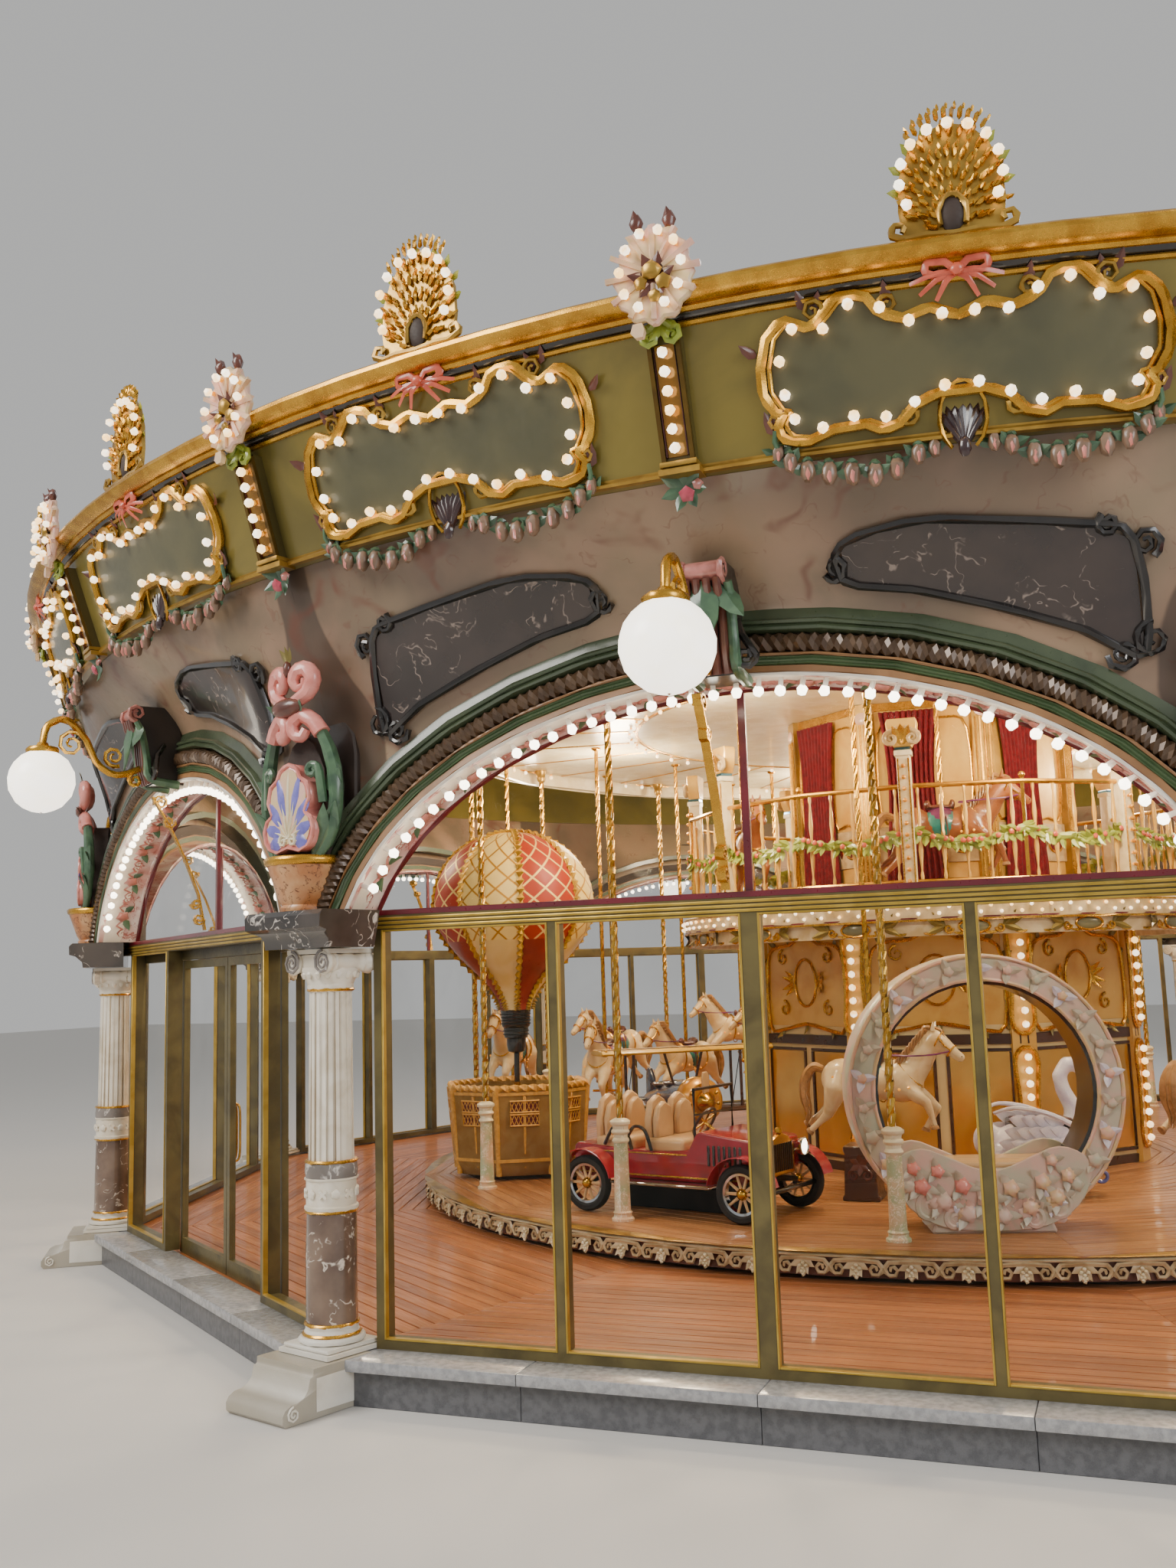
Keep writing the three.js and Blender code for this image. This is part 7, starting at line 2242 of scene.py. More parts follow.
def make_balloon():
    place = spun(BALLOON[0]) @ moved(0, -BALLOON[1], 0)
    piece = Piece("balloon_gores")
    profile = curve([(0.150, 0, 1.93), (0.175, 0, 2.02), (0.30, 0, 2.20), (0.56, 0, 2.45),
                     (0.735, 0, 2.70), (0.785, 0, 2.88),
                     (0.735, 0, 3.18), (0.56, 0, 3.43), (0.30, 0, 3.585), (0.0, 0, 3.635)], 4)
    profile = [(max(p.x, 0), p.z) for p in profile]
    shape = lathe([(0, 1.93)] + profile, 64)
    for vert in shape.verts:
        angle = math.atan2(vert.co.y, vert.co.x)
        reach = 1 - 0.030 * (abs(math.cos(4 * angle)) ** 6)
        vert.co.x *= reach
        vert.co.y *= reach

    def choose(p):
        names = ("gore brick", "gore cream") if p.z > 2.58 else ("gore red", "gore plain")
        return names[int((math.atan2(p.y, p.x) + math.pi) / TURN * 8 - 1e-6) % 2]

    def chart(p, middle):
        angle = math.atan2(p.y, p.x)
        near = math.atan2(middle.y, middle.x)
        angle += TURN * round((near - angle) / TURN)
        return (angle / TURN * 8, p.z * 1.7)
    banded(piece, shape, choose, chart, place)
    seam = [Vector((r * 0.972 + 0.006, 0, z)) for r, z in profile[:-1]]
    braid = [(0.036 * (1 + 0.2 * math.cos(3 * a)) * math.cos(a),
              0.036 * (1 + 0.2 * math.cos(3 * a)) * math.sin(a))
             for a in [TURN * i / 9 for i in range(9)]]
    for i in range(8):
        turn = place @ turned("Z", 45 * i)
        piece.add(sweep(braid, seam, twist=12), "yellow enamel", turn)
    piece.add(lathe([(0, 3.61), (0.10, 3.61), (0.10, 3.628), (0.03, 3.64), (0, 3.64)], 24), "old gold", place)
    burner = [(0, 1.256), (0.026, 1.256), (0.026, 1.52), (0.080, 1.54), (0.092, 1.60), (0.092, 1.66),
              (0.112, 1.67), (0.118, 1.72),
              (0.118, 1.76), (0.135, 1.78), (0.140, 1.90), (0.150, 1.935), (0, 1.935)]
    piece.add(lathe(burner, 24), "black lacquer", place)
    for z in (1.70, 1.735, 1.80, 1.83, 1.86, 1.89):
        r = 0.121 if z < 1.77 else 0.140
        piece.add(lathe([(r - 0.01, z - 0.007), (r + 0.004, z - 0.004), (r + 0.004, z + 0.004),
                         (r - 0.01, z + 0.007)], 24,
                        closed=True), "iron", place)
    piece.object("balloon", "cream_envelope", ("balloon_envelope",))
    basket = Piece("balloon_wicker")
    wall = [(0.0, 0.462), (0.585, 0.462), (0.600, 0.480), (0.645, 0.560), (0.682, 1.225), (0.628, 1.225),
            (0.586, 0.626), (0, 0.620)]
    shape = lathe(wall, 8, start=math.radians(22.5))
    banded(basket, shape, lambda p: "basket weave", lambda p, m: (math.atan2(p.y, p.x) * 4.2, p.z * 6.0),
           place)
    corners = [Vector((0.668 * math.cos(TURN * (i + 0.5) / 8), 0.668 * math.sin(TURN * (i + 0.5) / 8),
                       1.238)) for i in range(8)]
    ring = [a.lerp(corners[(i + 1) % 8], k / 6) for i, a in enumerate(corners) for k in range(6)]
    strand = [(0.030 * (1 + 0.22 * math.cos(3 * a)) * math.cos(a),
               0.030 * (1 + 0.22 * math.cos(3 * a)) * math.sin(a)) for a in
              [TURN * i / 12 for i in range(12)]]
    fine = [ring[i].lerp(ring[(i + 1) % len(ring)], k / 3) for i in range(len(ring)) for k in range(3)]
    basket.add(sweep(strand, fine, closed=True, twist=16), "wicker gold", place)
    for i in range(8):
        a = TURN * (i + 0.5) / 8
        foot = Vector((0.612 * math.cos(a), 0.612 * math.sin(a), 0.47))
        head = Vector((0.684 * math.cos(a), 0.684 * math.sin(a), 1.22))
        basket.add(bar(foot, head, 0.026, 0.026, 10), "wicker gold", place)
        middle = TURN * i / 8
        out = Vector((math.cos(middle), math.sin(middle), 0))
        at = place @ facing(out * 0.612 + Vector((0, 0, 0.93)), out + Vector((0, 0, -0.10)))
        for low in (-0.02, 0.10):
            window = [(-0.13, low), (0.13, low), (0.13, low + 0.10), (-0.13, low + 0.10)]
            basket.add(prism(window, -0.02, 0.008, 0.003), "burgundy", at)
            basket.add(tube([(x, y, 0.012) for x, y in window], 0.010, 5, closed=True), "wicker gold", at)
            for k in range(-3, 4):
                for slant in (-0.02, 0.02):
                    a, b = (0.038 * k - slant, low, 0.012), (0.038 * k + slant, low + 0.10, 0.012)
                    basket.add(bar(a, b, 0.004, 0.004, 5), "wicker gold", at)
        basket.add(block((-0.012, -0.40, -0.03), (0.012, 0.24, 0.016), 0.005), "wicker gold", at)
    for z, r in ((0.600, 0.652), (1.190, 0.682)):
        basket.add(lathe([(r - 0.02, z - 0.018), (r + 0.004, z - 0.014), (r + 0.004, z + 0.014),
                          (r - 0.02, z + 0.018)], 8,
                         closed=True, start=math.radians(22.5)), "wicker gold", place)
    basket.add(lathe([(0, 0.4206), (0.24, 0.4206), (0.24, 0.465), (0, 0.465)], 32), "iron", place)
    basket.add(lathe([(0, 0.61), (0.045, 0.61), (0.045, 1.02), (0.030, 1.03), (0.030, 1.2545),
                      (0, 1.2545)], 16), "brass", place)
    basket.add(lathe([(0.150, 1.00), (0.170, 1.00), (0.176, 1.01), (0.170, 1.02), (0.150, 1.02)], 24,
                     closed=True), "brass", place)
    basket.add(bar((-0.16, 0, 1.01), (0.16, 0, 1.01), 0.009, 0.009, 6), "brass", place,
               place @ turned("Z", 90))
    basket.object("balloon", "wicker", ("balloon_basket",))


def make_car():
    piece = Piece("tourer_car_body")
    at = placed(*CAR_PLACE)
    side = [(-0.82, 0.67), (0.62, 0.67), (0.76, 0.75), (0.765, 0.97), (0.74, 0.99), (0.27, 1.045),
            (0.235, 1.02), (0.17, 0.905),
            (-0.10, 0.885), (-0.50, 0.90), (-0.86, 0.925), (-0.895, 0.90), (-0.90, 0.76)]
    tub = prism(side, -0.32, 0.32, 0.028, 3)
    piece.add(moulded(tub, Matrix(((1, 0, 0, 0), (0, 0, 1, 0), (0, 1, 0, 0), (0, 0, 0, 1)))), "red enamel",
              at)
    for x in [0.34 + 0.045 * i for i in range(7)]:
        for y in (-0.324, 0.324):
            piece.add(block((x, y - 0.006, 0.80), (x + 0.022, y + 0.006, 0.95), 0.004), "black lacquer", at)
    for y in (-0.325, 0.325):
        for a, b in (((-0.84, 0.70), (0.60, 0.712)), ((-0.86, 0.865), (0.16, 0.875))):
            piece.add(block((a[0], y - 0.004, a[1]), (b[0], y + 0.004, b[1]), 0.002), "gilding", at)
    for x in (-0.64, -0.18):
        piece.add(block((x - 0.06, -0.305, 0.872), (x + 0.30, 0.305, 0.980), 0.035, 4), "pale wood", at)
        for s in (-1, 1):
            hump = [(0, 0.90), (0.29, 0.90), (0.295, 1.12), (0.25, 1.25), (0.15, 1.298), (0.05, 1.25),
                    (0.005, 1.12)]
            panel = plate([(s * a, z) for a, z in hump], 0.0, 0.055, 0.014)
            piece.add(moulded(panel, turned("Z", -90)), "pale wood", at @ moved(x - 0.005, 0, 0))
            cushion = [(0.03, 0.97), (0.265, 0.97), (0.27, 1.11), (0.235, 1.21), (0.15, 1.25),
                       (0.065, 1.21), (0.03, 1.11)]
            panel = plate([(s * a, z) for a, z in cushion], -0.035, 0.02, 0.016)
            piece.add(moulded(panel, turned("Z", -90)), "pale wood", at @ moved(x + 0.015, 0, 0))
    screen = [(0.2125, -0.28, 0.97), (0.2125, -0.28, 1.35), (0.2125, 0.28, 1.35), (0.2125, 0.28, 0.97)]
    piece.add(tube(screen, 0.014, 8, closed=True), "black lacquer", at)
    piece.add(block((0.208, -0.275, 0.975), (0.214, 0.275, 1.345)), "glass", at)
    piece.add(bar((0.2125, -0.28, 1.16), (0.2125, 0.28, 1.16), 0.008, 0.008, 6), "black lacquer", at)
    wheel = at @ moved(0.13, 0.0, 1.08) @ turned("Y", -58)
    rim = [(0.125 * math.cos(TURN * i / 28), 0.125 * math.sin(TURN * i / 28), 0) for i in range(28)]
    piece.add(tube(rim, 0.012, 8, closed=True), "walnut", wheel)
    piece.add(bar((-0.12, 0, 0), (0.12, 0, 0), 0.008, 0.008, 6), "brass", wheel, wheel @ turned("Z", 60),
              wheel @ turned("Z", 120))
    piece.add(bar((0.13, 0, 1.08), (0.27, 0, 0.99), 0.012, 0.012, 8), "brass", at)
    grille = [(-0.20, 0.72), (0.20, 0.72), (0.20, 0.93), (0.12, 1.00), (0, 1.03), (-0.12, 1.00),
              (-0.20, 0.93)]
    piece.add(moulded(plate(grille, 0.755, 0.790, 0.010), turned("Z", 90)), "brass", at)
    for y in [-0.15 + 0.03 * i for i in range(11)]:
        piece.add(block((0.786, y - 0.006, 0.75), (0.796, y + 0.006, 0.95), 0.002), "iron", at)
    piece.add(lathe([(0, 1.03), (0.030, 1.03), (0.026, 1.06), (0, 1.07)], 14), "brass",
              at @ moved(0.77, 0, 0))
    piece.add(bar((0.845, -0.44, 0.63), (0.845, 0.44, 0.63), 0.020, 0.020, 10, 0.004), "black lacquer", at)
    for y in (-0.25, 0.25):
        piece.add(block((0.74, y - 0.015, 0.62), (0.845, y + 0.015, 0.645), 0.004), "black lacquer", at)
        lamp = [(0, -0.06), (0.035, -0.055), (0.062, -0.010), (0.070, 0.020), (0.062, 0.026),
                (0.055, 0.012), (0, 0.010)]
        lamp_at = at @ moved(0.815, y * 1.12, 0.90) @ turned("Y", 90)
        piece.add(lathe(lamp, 20), "chrome", lamp_at)
        piece.add(ball((0, 0, 0.014), (0.056, 0.056, 0.010), 14, 5), "cool bulb", lamp_at)
        piece.add(bar((0.78, y * 1.12, 0.90), (0.76, y * 0.8, 0.86), 0.012, 0.012, 8), "chrome", at)
    tyre = [(0.150, -0.030), (0.165, -0.042), (0.195, -0.040), (0.210, -0.020), (0.210, 0.020),
            (0.195, 0.040), (0.165, 0.042),
            (0.150, 0.030)]
    for x in (-0.69, 0.69):
        for y in (-0.43, 0.43):
            hub = at @ moved(x, y, 0.635) @ turned("X", 90)
            piece.add(lathe(tyre, 32, closed=True), "tyre", hub)
            piece.add(lathe([(0.132, -0.026), (0.154, -0.030), (0.158, 0), (0.154, 0.030), (0.132, 0.026)],
                            32, closed=True),
                      "chrome", hub)
            piece.add(bar((0.03, 0, 0), (0.140, 0, 0), 0.013, 0.010, 6), "pale wood",
                      *[hub @ turned("Z", 36 * i) for i in range(10)])
            piece.add(ball((0, 0, 0), (0.045, 0.045, 0.050), 14, 8), "brass", hub)
            piece.add(bar((x, y, 0.635), (x, 0, 0.70), 0.020, 0.030, 8), "iron", at)
            guard = [Vector((x + 0.262 * math.cos(a), y, 0.635 + 0.262 * math.sin(a))) for a in
                     [math.radians(12 + 156 * i / 14) for i in range(15)]]
            section = [(-0.075, -0.004), (0.075, -0.004), (0.078, 0.002), (0.0, 0.012), (-0.078, 0.002)]
            piece.add(sweep(section, guard, normal=(0, 1, 0)), "red enamel", at)
    for y in (-1, 1):
        piece.add(block((-0.44, y * 0.42 - 0.07, 0.655), (0.44, y * 0.42 + 0.07, 0.675), 0.006), "chrome", at)
        piece.add(block((-0.42, min(y * 0.31, y * 0.42), 0.640), (0.42, max(y * 0.31, y * 0.42), 0.656),
                        0.003), "iron", at)
        for arc_x in (-0.33, -0.15):
            line = [(arc_x, y * 0.335, 0.89), (arc_x - 0.05, y * 0.345, 1.04),
                    (arc_x - 0.16, y * 0.335, 1.06), (arc_x - 0.26, y * 0.33, 0.92)]
            piece.add(tube(curve(line, 4), 0.014, 6), "black lacquer", at)
    piece.add(block((-0.60, -0.10, 0.4206), (0.60, 0.10, 0.675), 0.010), "iron", at)
    piece.object("carousel", "red_enamel", ("tourer_car",))


def make_biplane():
    piece = Piece("biplane_body")
    at = placed(*PLANE_PLACE)
    hull = [(-0.83, 0.060, 1.075), (-0.60, 0.105, 1.085), (-0.30, 0.145, 1.105), (0, 0.172, 1.125),
            (0.30, 0.186, 1.145)]
    path = [Vector((x, 0, z)) for x, _, z in hull]
    widths = [r for _, r, _ in hull]
    piece.add(sweep(circle(1.0, 24, 1.08), curve(path, 3), widths=lambda s: blended(
        widths[min(int(s * 4), 3)], widths[min(int(s * 4) + 1, 4)], s * 4 - min(int(s * 4), 3))),
              "navy enamel", at)
    nose = at @ moved(0, 0, 1.15) @ turned("Y", 90)
    piece.add(lathe([(0, 0.27), (0.180, 0.27), (0.192, 0.30), (0.192, 0.40), (0.180, 0.435),
                     (0.150, 0.463), (0.060, 0.4635),
                     (0.055, 0.445), (0.0225, 0.445), (0.0225, 0.40), (0, 0.40)], 36), "amber", nose)
    for i in range(9):
        piece.add(ball((0.130, 0, 0.455), (0.026, 0.022, 0.012), 10, 6), "brass", nose @ turned("Z", 40 * i))
    piece.add(lathe([(0.188, 0.285), (0.197, 0.288), (0.197, 0.302), (0.188, 0.305)], 36, closed=True),
              "brass", nose)
    for x0, x1, reach, low, high, finish in ((-0.13, 0.19, 0.80, 1.540, 1.590, "yellow planks"),
                                             (-0.13, 0.19, 0.76, 1.020, 1.070, "walnut"),
                                             (-0.86, -0.68, 0.30, 1.072, 1.108, "navy enamel")):
        section = [(x0, low + 0.012), (x0 + 0.05, low), (x1 - 0.02, low + 0.004), (x1, low + 0.02),
                   (x1 - 0.03, high - 0.006),
                   (x0 + 0.20 * (x1 - x0), high), (x0 + 0.02, high - 0.014)]
        wing = prism(section, -reach, reach, 0.005, 2)
        wing = moulded(wing, Matrix(((1, 0, 0, 0), (0, 0, 1, 0), (0, 1, 0, 0), (0, 0, 0, 1))))
        layer = wing.loops.layers.uv.new("UVMap")
        for face in wing.faces:
            for loop in face.loops:
                loop[layer].uv = (loop.vert.co.y, loop.vert.co.x)
        piece.add(wing, finish, at)
        if reach > 0.5:
            for k in range(1, 4):
                x = blended(x0, x1, k / 4)
                piece.add(block((x - 0.003, -reach + 0.01, low + 0.004),
                                (x + 0.003, reach - 0.01, high - 0.0005)), "walnut", at)
            for y in (-reach + 0.04, reach - 0.04):
                piece.add(block((x0 + 0.02, y - 0.012, low - 0.003), (x1 - 0.02, y + 0.012, high + 0.002),
                                0.003), "gilding", at)
    for y in (-0.5, 0.5):
        for x in (-0.08, 0.13):
            piece.add(bar((x, y, 1.06), (x, y, 1.55), 0.014, 0.014, 8), "walnut", at)
        piece.add(bar((-0.08, y, 1.07), (0.13, y, 1.54), 0.004, 0.004, 5), "iron", at)
    for y in (-0.10, 0.10):
        piece.add(bar((0.03, y, 1.27), (0.03, y * 1.8, 1.55), 0.012, 0.012, 8), "walnut", at)
    fin = [(-0.88, 1.04), (-0.69, 1.06), (-0.66, 1.14), (-0.70, 1.28), (-0.77, 1.36), (-0.84, 1.365),
           (-0.87, 1.30)]
    blade = prism(fin, -0.016, 0.016, 0.006, 2)
    piece.add(moulded(blade, Matrix(((1, 0, 0, 0), (0, 0, 1, 0), (0, 1, 0, 0), (0, 0, 0, 1)))),
              "navy enamel", at)
    for x, radius in ((-0.10, 0.125), (-0.42, 0.105)):
        piece.add(ball((x, 0, 1.26 - (0.03 if x < -0.2 else 0)), (radius * 1.2, radius, 0.040), 18, 8),
                  "black lacquer", at)
        rim = [(x + radius * 1.2 * math.cos(TURN * i / 24), radius * math.sin(TURN * i / 24),
                1.272 - (0.03 if x < -0.2 else 0))
               for i in range(24)]
        piece.add(tube(rim, 0.013, 6, closed=True), "bud brown", at)
    for y in (-0.187, 0.187):
        star = [(0.055 * math.cos(TURN * i / 28), 0.055 * math.sin(TURN * i / 28)) for i in range(28)]
        piece.add(moulded(plate(star, -0.006, 0.006, 0.002), moved(-0.18, y * 0.88, 1.13)), "amber", at)
    piece.add(lathe([(0, 0.4206), (0.11, 0.4206), (0.10, 0.440), (0.075, 0.455), (0.068, 0.70),
                     (0.055, 1.05), (0, 1.06)], 24),
              "brass", at)
    for y in (-0.20, 0.20):
        piece.add(bar((0.12, y * 0.6, 1.02), (0.16, y, 0.80), 0.010, 0.010, 6), "walnut", at)
        piece.add(lathe([(0, -0.02), (0.075, -0.02), (0.085, 0), (0.075, 0.02), (0, 0.02)], 20), "tyre",
                  at @ moved(0.16, y, 0.79) @ turned("X", 90))
    piece.object("carousel", "navy_enamel", ("biplane",))
    screw = Piece("propeller_blades")
    screw.add(lathe([(0, 0.412), (0.0195, 0.412), (0.0195, 0.469), (0.085, 0.471), (0.090, 0.485),
                     (0.080, 0.520), (0.055, 0.560),
                     (0.028, 0.588), (0, 0.591)], 24), "brass", nose)
    blade = [(-0.020, 0.0), (-0.040, 0.10), (-0.045, 0.19), (-0.030, 0.245), (0.012, 0.25), (0.038, 0.21),
             (0.032, 0.08), (0.020, 0.0)]
    for turn in (0, 180):
        vane = plate(blade, -0.011, 0.011, 0.006)
        for vert in vane.verts:
            angle = math.radians(28 - 60 * vert.co.z)
            x, y = vert.co.x, vert.co.y
            vert.co.x = x * math.cos(angle) - y * math.sin(angle)
            vert.co.y = x * math.sin(angle) + y * math.cos(angle)
        screw.add(vane, "pale wood", at @ moved(0.506, 0, 1.15) @ turned("X", turn) @ turned("Z", 90))
    screw.object("propeller", "railing_brass", ("propeller",))


def make_ring_coach():
    piece = Piece("ring_coach_carving")
    at = placed(*RING_PLACE)
    middle = 1.365
    wheel = at @ moved(0, 0, middle) @ turned("X", 90)
    hoop_profile = [(0.745, -0.235), (0.760, -0.250), (0.900, -0.250), (0.930, -0.215), (0.936, 0),
                    (0.930, 0.205), (0.900, 0.240),
                    (0.760, 0.240), (0.745, 0.225)]
    piece.add(lathe(hoop_profile, 72, closed=True), "hoop stone", wheel)
    piece.add(lathe([(0.722, -0.225), (0.7455, -0.235), (0.7455, 0.225), (0.722, 0.215)], 72, closed=True),
              "black lacquer", wheel)
    for y in (-0.250, 0.240):
        for radius in (0.755, 0.915):
            rim = [(radius * math.cos(TURN * i / 72), radius * math.sin(TURN * i / 72), y) for i in range(72)]
            piece.add(tube(rim, 0.014, 6, closed=True), "shell pink", wheel)
    draw = random.Random(11)
    for face_y, direction in ((-0.258, -1), (0.248, 1)):
        for i in range(26):
            a = TURN * (i + 0.5) / 26
            out = Vector((0.835 * math.cos(a), face_y, middle + 0.835 * math.sin(a)))
            low = math.sin(a) < -0.35
            size = 0.048 if low else 0.034
            piece.add(rose(size), "shell pink" if i % 3 == 0 else "hoop stone",
                      at @ facing(out, (0, direction, 0)))
            for tilt in (40, 160, 280):
                blade = facing(out, (draw.uniform(-0.2, 0.2), direction,
                                     0)) @ turned("Z", tilt + draw.uniform(-20, 20))
                piece.add(leaf(0.10, 0.030, 0.3, 0.3, 4), "grey carved" if i % 3 else "swan white",
                          at @ blade)
        for side in (-1, 1):
            for cx, cz, size in ((0.42, 0.60, 0.10), (0.26, 0.52, 0.07)):
                coil = spiral((side * cx, cz), size, 0.012, 90, side * -1.5, 22)
                piece.add(tube([(p.x, face_y * 0.97, p.y) for p in coil], 0.026, 7, widths=tapering(0.5)),
                          "hoop stone", at)
            for k in range(6):
                blade = facing((side * (0.12 + 0.07 * k), face_y * 0.98, 0.50),
                               (0, direction, 0)) @ turned("Z", -side * direction * (k * 14 - 20))
                piece.add(leaf(0.17, 0.045, 0.3, 0.3, 5), "hoop stone", at @ blade)
    base = [(-0.42, 0.4206), (0.42, 0.4206), (0.38, 0.52), (0.27, 0.655), (-0.27, 0.655), (-0.38, 0.52)]
    piece.add(plate(base, -0.235, 0.235, 0.015), "hoop stone", at)
    piece.add(block((-0.685, -0.225, 0.755), (0.685, 0.225, 0.850), 0.020, 3), "hoop stone", at)
    piece.add(block((-0.655, -0.215, 0.845), (0.655, 0.215, 0.888), 0.020, 4), "pale wood", at)
    apron = [(-0.66, 0.80), (-0.62, 0.93), (-0.46, 0.99), (-0.28, 0.93), (-0.12, 0.86), (0, 0.84),
             (0.12, 0.86), (0.28, 0.93),
             (0.46, 0.99), (0.62, 0.93), (0.66, 0.80), (0.56, 0.60), (0.34, 0.47), (0, 0.44),
             (-0.34, 0.47), (-0.56, 0.60)]
    board = [(p.x, p.y) for p in curve([(x, z, 0) for x, z in apron], 3, closed=True)]
    for near, far, direction in ((0.232, 0.262, -1), (-0.252, -0.226, 1)):
        piece.add(plate(board, near, far, 0.006), "hoop stone", at)
        face_y = direction * (0.268 if direction < 0 else 0.256)
        for x, z, size in ((-0.52, 0.86, 0.045), (-0.47, 0.74, 0.055), (-0.36, 0.84, 0.045),
                           (-0.33, 0.64, 0.060), (-0.20, 0.74, 0.055),
                           (-0.17, 0.56, 0.060), (-0.05, 0.66, 0.065), (0.06, 0.54, 0.055),
                           (0.12, 0.72, 0.055), (0.24, 0.60, 0.060),
                           (0.33, 0.76, 0.055), (0.42, 0.66, 0.055), (0.50, 0.80, 0.050),
                           (0.40, 0.90, 0.040)):
            piece.add(rose(size), "shell pink" if x > 0.1 else "petal pink" if z > 0.7 else "hoop stone",
                      at @ facing((x, face_y, z), (0.3 * x, direction, 0.2)))
            for tilt in (30, 150, 270):
                blade = facing((x, face_y, z), (0, direction, 0)) @ turned("Z", tilt + 40 * x)
                piece.add(leaf(size * 2.2, size * 0.60, 0.3, 0.3, 5), "grey carved", at @ blade)
    piece.thin(KEPT_COACH)
    piece.object("carousel", "rose_carving", ("ring_coach",))


def make_swan():
    piece = Piece("swan_carving")
    at = placed(*SWAN_PLACE)
    hull = ball((0, 0, 0.75), (0.50, 0.27, 0.27), 28, 16)
    neck = chain([(0.22, 0, 0.84, 0.130), (0.245, 0, 0.98, 0.085), (0.235, 0, 1.10, 0.068),
                  (0.170, 0, 1.23, 0.060),
                  (0.150, 0, 1.34, 0.056), (0.210, 0, 1.43, 0.056), (0.290, 0, 1.420, 0.062),
                  (0.340, 0, 1.375, 0.050)], 12)
    tail = ball((-0.44, 0, 0.86), (0.12, 0.10, 0.14), 14, 8)
    body = fused([hull, neck, tail], 0.020, 5, 0.5)
    piece.add(body, "swan white", at)
    piece.add(block((-0.255, -0.175, 0.925), (0.205, 0.175, 1.018), 0.020, 3), "black lacquer", at)
    piece.add(block((-0.235, -0.160, 0.98), (0.185, 0.160, 1.030), 0.020, 4), "bud brown", at)
    piece.add(bar((0.370, 0, 1.355), (0.450, 0, 1.270), 0.026, 0.006, 10), "beak orange", at)
    for side in (-1, 1):
        piece.add(ball((0.320, side * 0.056, 1.420), (0.010, 0.006, 0.010), 8, 5), "black lacquer", at)
        for row in range(5):
            for i in range(8 - row):
                x = 0.24 - 0.085 * i - 0.035 * row
                z = 0.66 + 0.085 * row
                y = side * (0.272 * math.sqrt(max(1 - (x / 0.52) ** 2 - ((z - 0.75) / 0.36) ** 2,
                                                  0.05)) + 0.006)
                out = facing((x, y, z), (x * 0.4, side, 0.25), (-1, 0, 0.25))
                piece.add(leaf(0.17, 0.052, 0.18, 0.25, 5), "swan white", at @ out)
        crest = [(0.16, side * 0.21, 0.98), (-0.05, side * 0.235, 1.08), (-0.28, side * 0.21, 1.12),
                 (-0.42, side * 0.14, 1.08)]
        piece.add(tube(curve(crest, 4), 0.024, 7, widths=tapering(0.5)), "swan white", at)
        coil = spiral((0.36, 0.60), 0.075, 0.010, 60, 1.4, 18)
        piece.add(tube([(p.x, side * 0.20, p.y) for p in coil], 0.020, 6, widths=tapering(0.5)), "violet", at)
    foot = [(-0.24, 0.4206), (0.24, 0.4206), (0.20, 0.47), (0.16, 0.56), (-0.16, 0.56), (-0.20, 0.47)]
    piece.add(plate(foot, -0.15, 0.15, 0.012), "cream carved", at)
    piece.object("carousel", "white_paint", ("swan_coach",))


def make_step():
    piece = Piece("carved_step_work")
    at = placed(*STEP_PLACE)
    side = [(-0.145, 0.4206), (0.145, 0.4206), (0.150, 0.445), (0.132, 0.47), (0.118, 0.79), (0.128, 0.80),
            (0.128, 0.838),
            (-0.128, 0.838), (-0.128, 0.80), (-0.118, 0.79), (-0.132, 0.47), (-0.150, 0.445)]
    piece.add(plate(side, -0.155, 0.155, 0.008), "walnut", at)
    for face_y in (-0.157, 0.157):
        direction = 1 if face_y > 0 else -1
        for s in (-1, 1):
            coil = spiral((s * 0.052, 0.62), 0.042, 0.008, 90, -s * 1.4, 16)
            piece.add(tube([(p.x, face_y, p.y) for p in coil], 0.012, 5, widths=tapering(0.5)),
                      "bud brown", at)
        for tilt in (0, 60, 120, 180, 240, 300):
            piece.add(leaf(0.085, 0.026, 0.3, 0.3, 4), "bud brown",
                      at @ facing((0, face_y, 0.70), (0, direction, 0)) @ turned("Z", tilt))
    piece.object("carousel", "walnut", ("carved_step",))


# Stage, sizes and the panel

class PavilionSizes(bpy.types.PropertyGroup):
    board_width: FloatProperty(name="Board width", description="Width of a board of the floors",
                               default=0.12, min=0.05, max=0.3, unit="LENGTH")
    bulb_radius: FloatProperty(name="Bulb radius", description="Radius of a round bulb on the cornice",
                               default=0.027, min=0.01, max=0.05, unit="LENGTH")


class StageSettings(bpy.types.PropertyGroup):
    floor_colour: FloatVectorProperty(name="Floor colour", description="Colour of the pale floor",
                                      subtype="COLOR",
                                      size=3, default=(0.62, 0.60, 0.57), min=0, max=1)
    sky_strength: FloatProperty(name="Sky strength", description="Strength of the soft light from all round",
                                default=0.58, min=0, max=5)
    lens: FloatProperty(name="Lens", description="Focal length of the camera in millimetres",
                        default=31.64, min=10, max=200, unit="CAMERA")


CAMERA_PLACE = (1.823, -14.299, 2.22)
CAMERA_ANGLES = (-21.29, 7.957, -1.76)


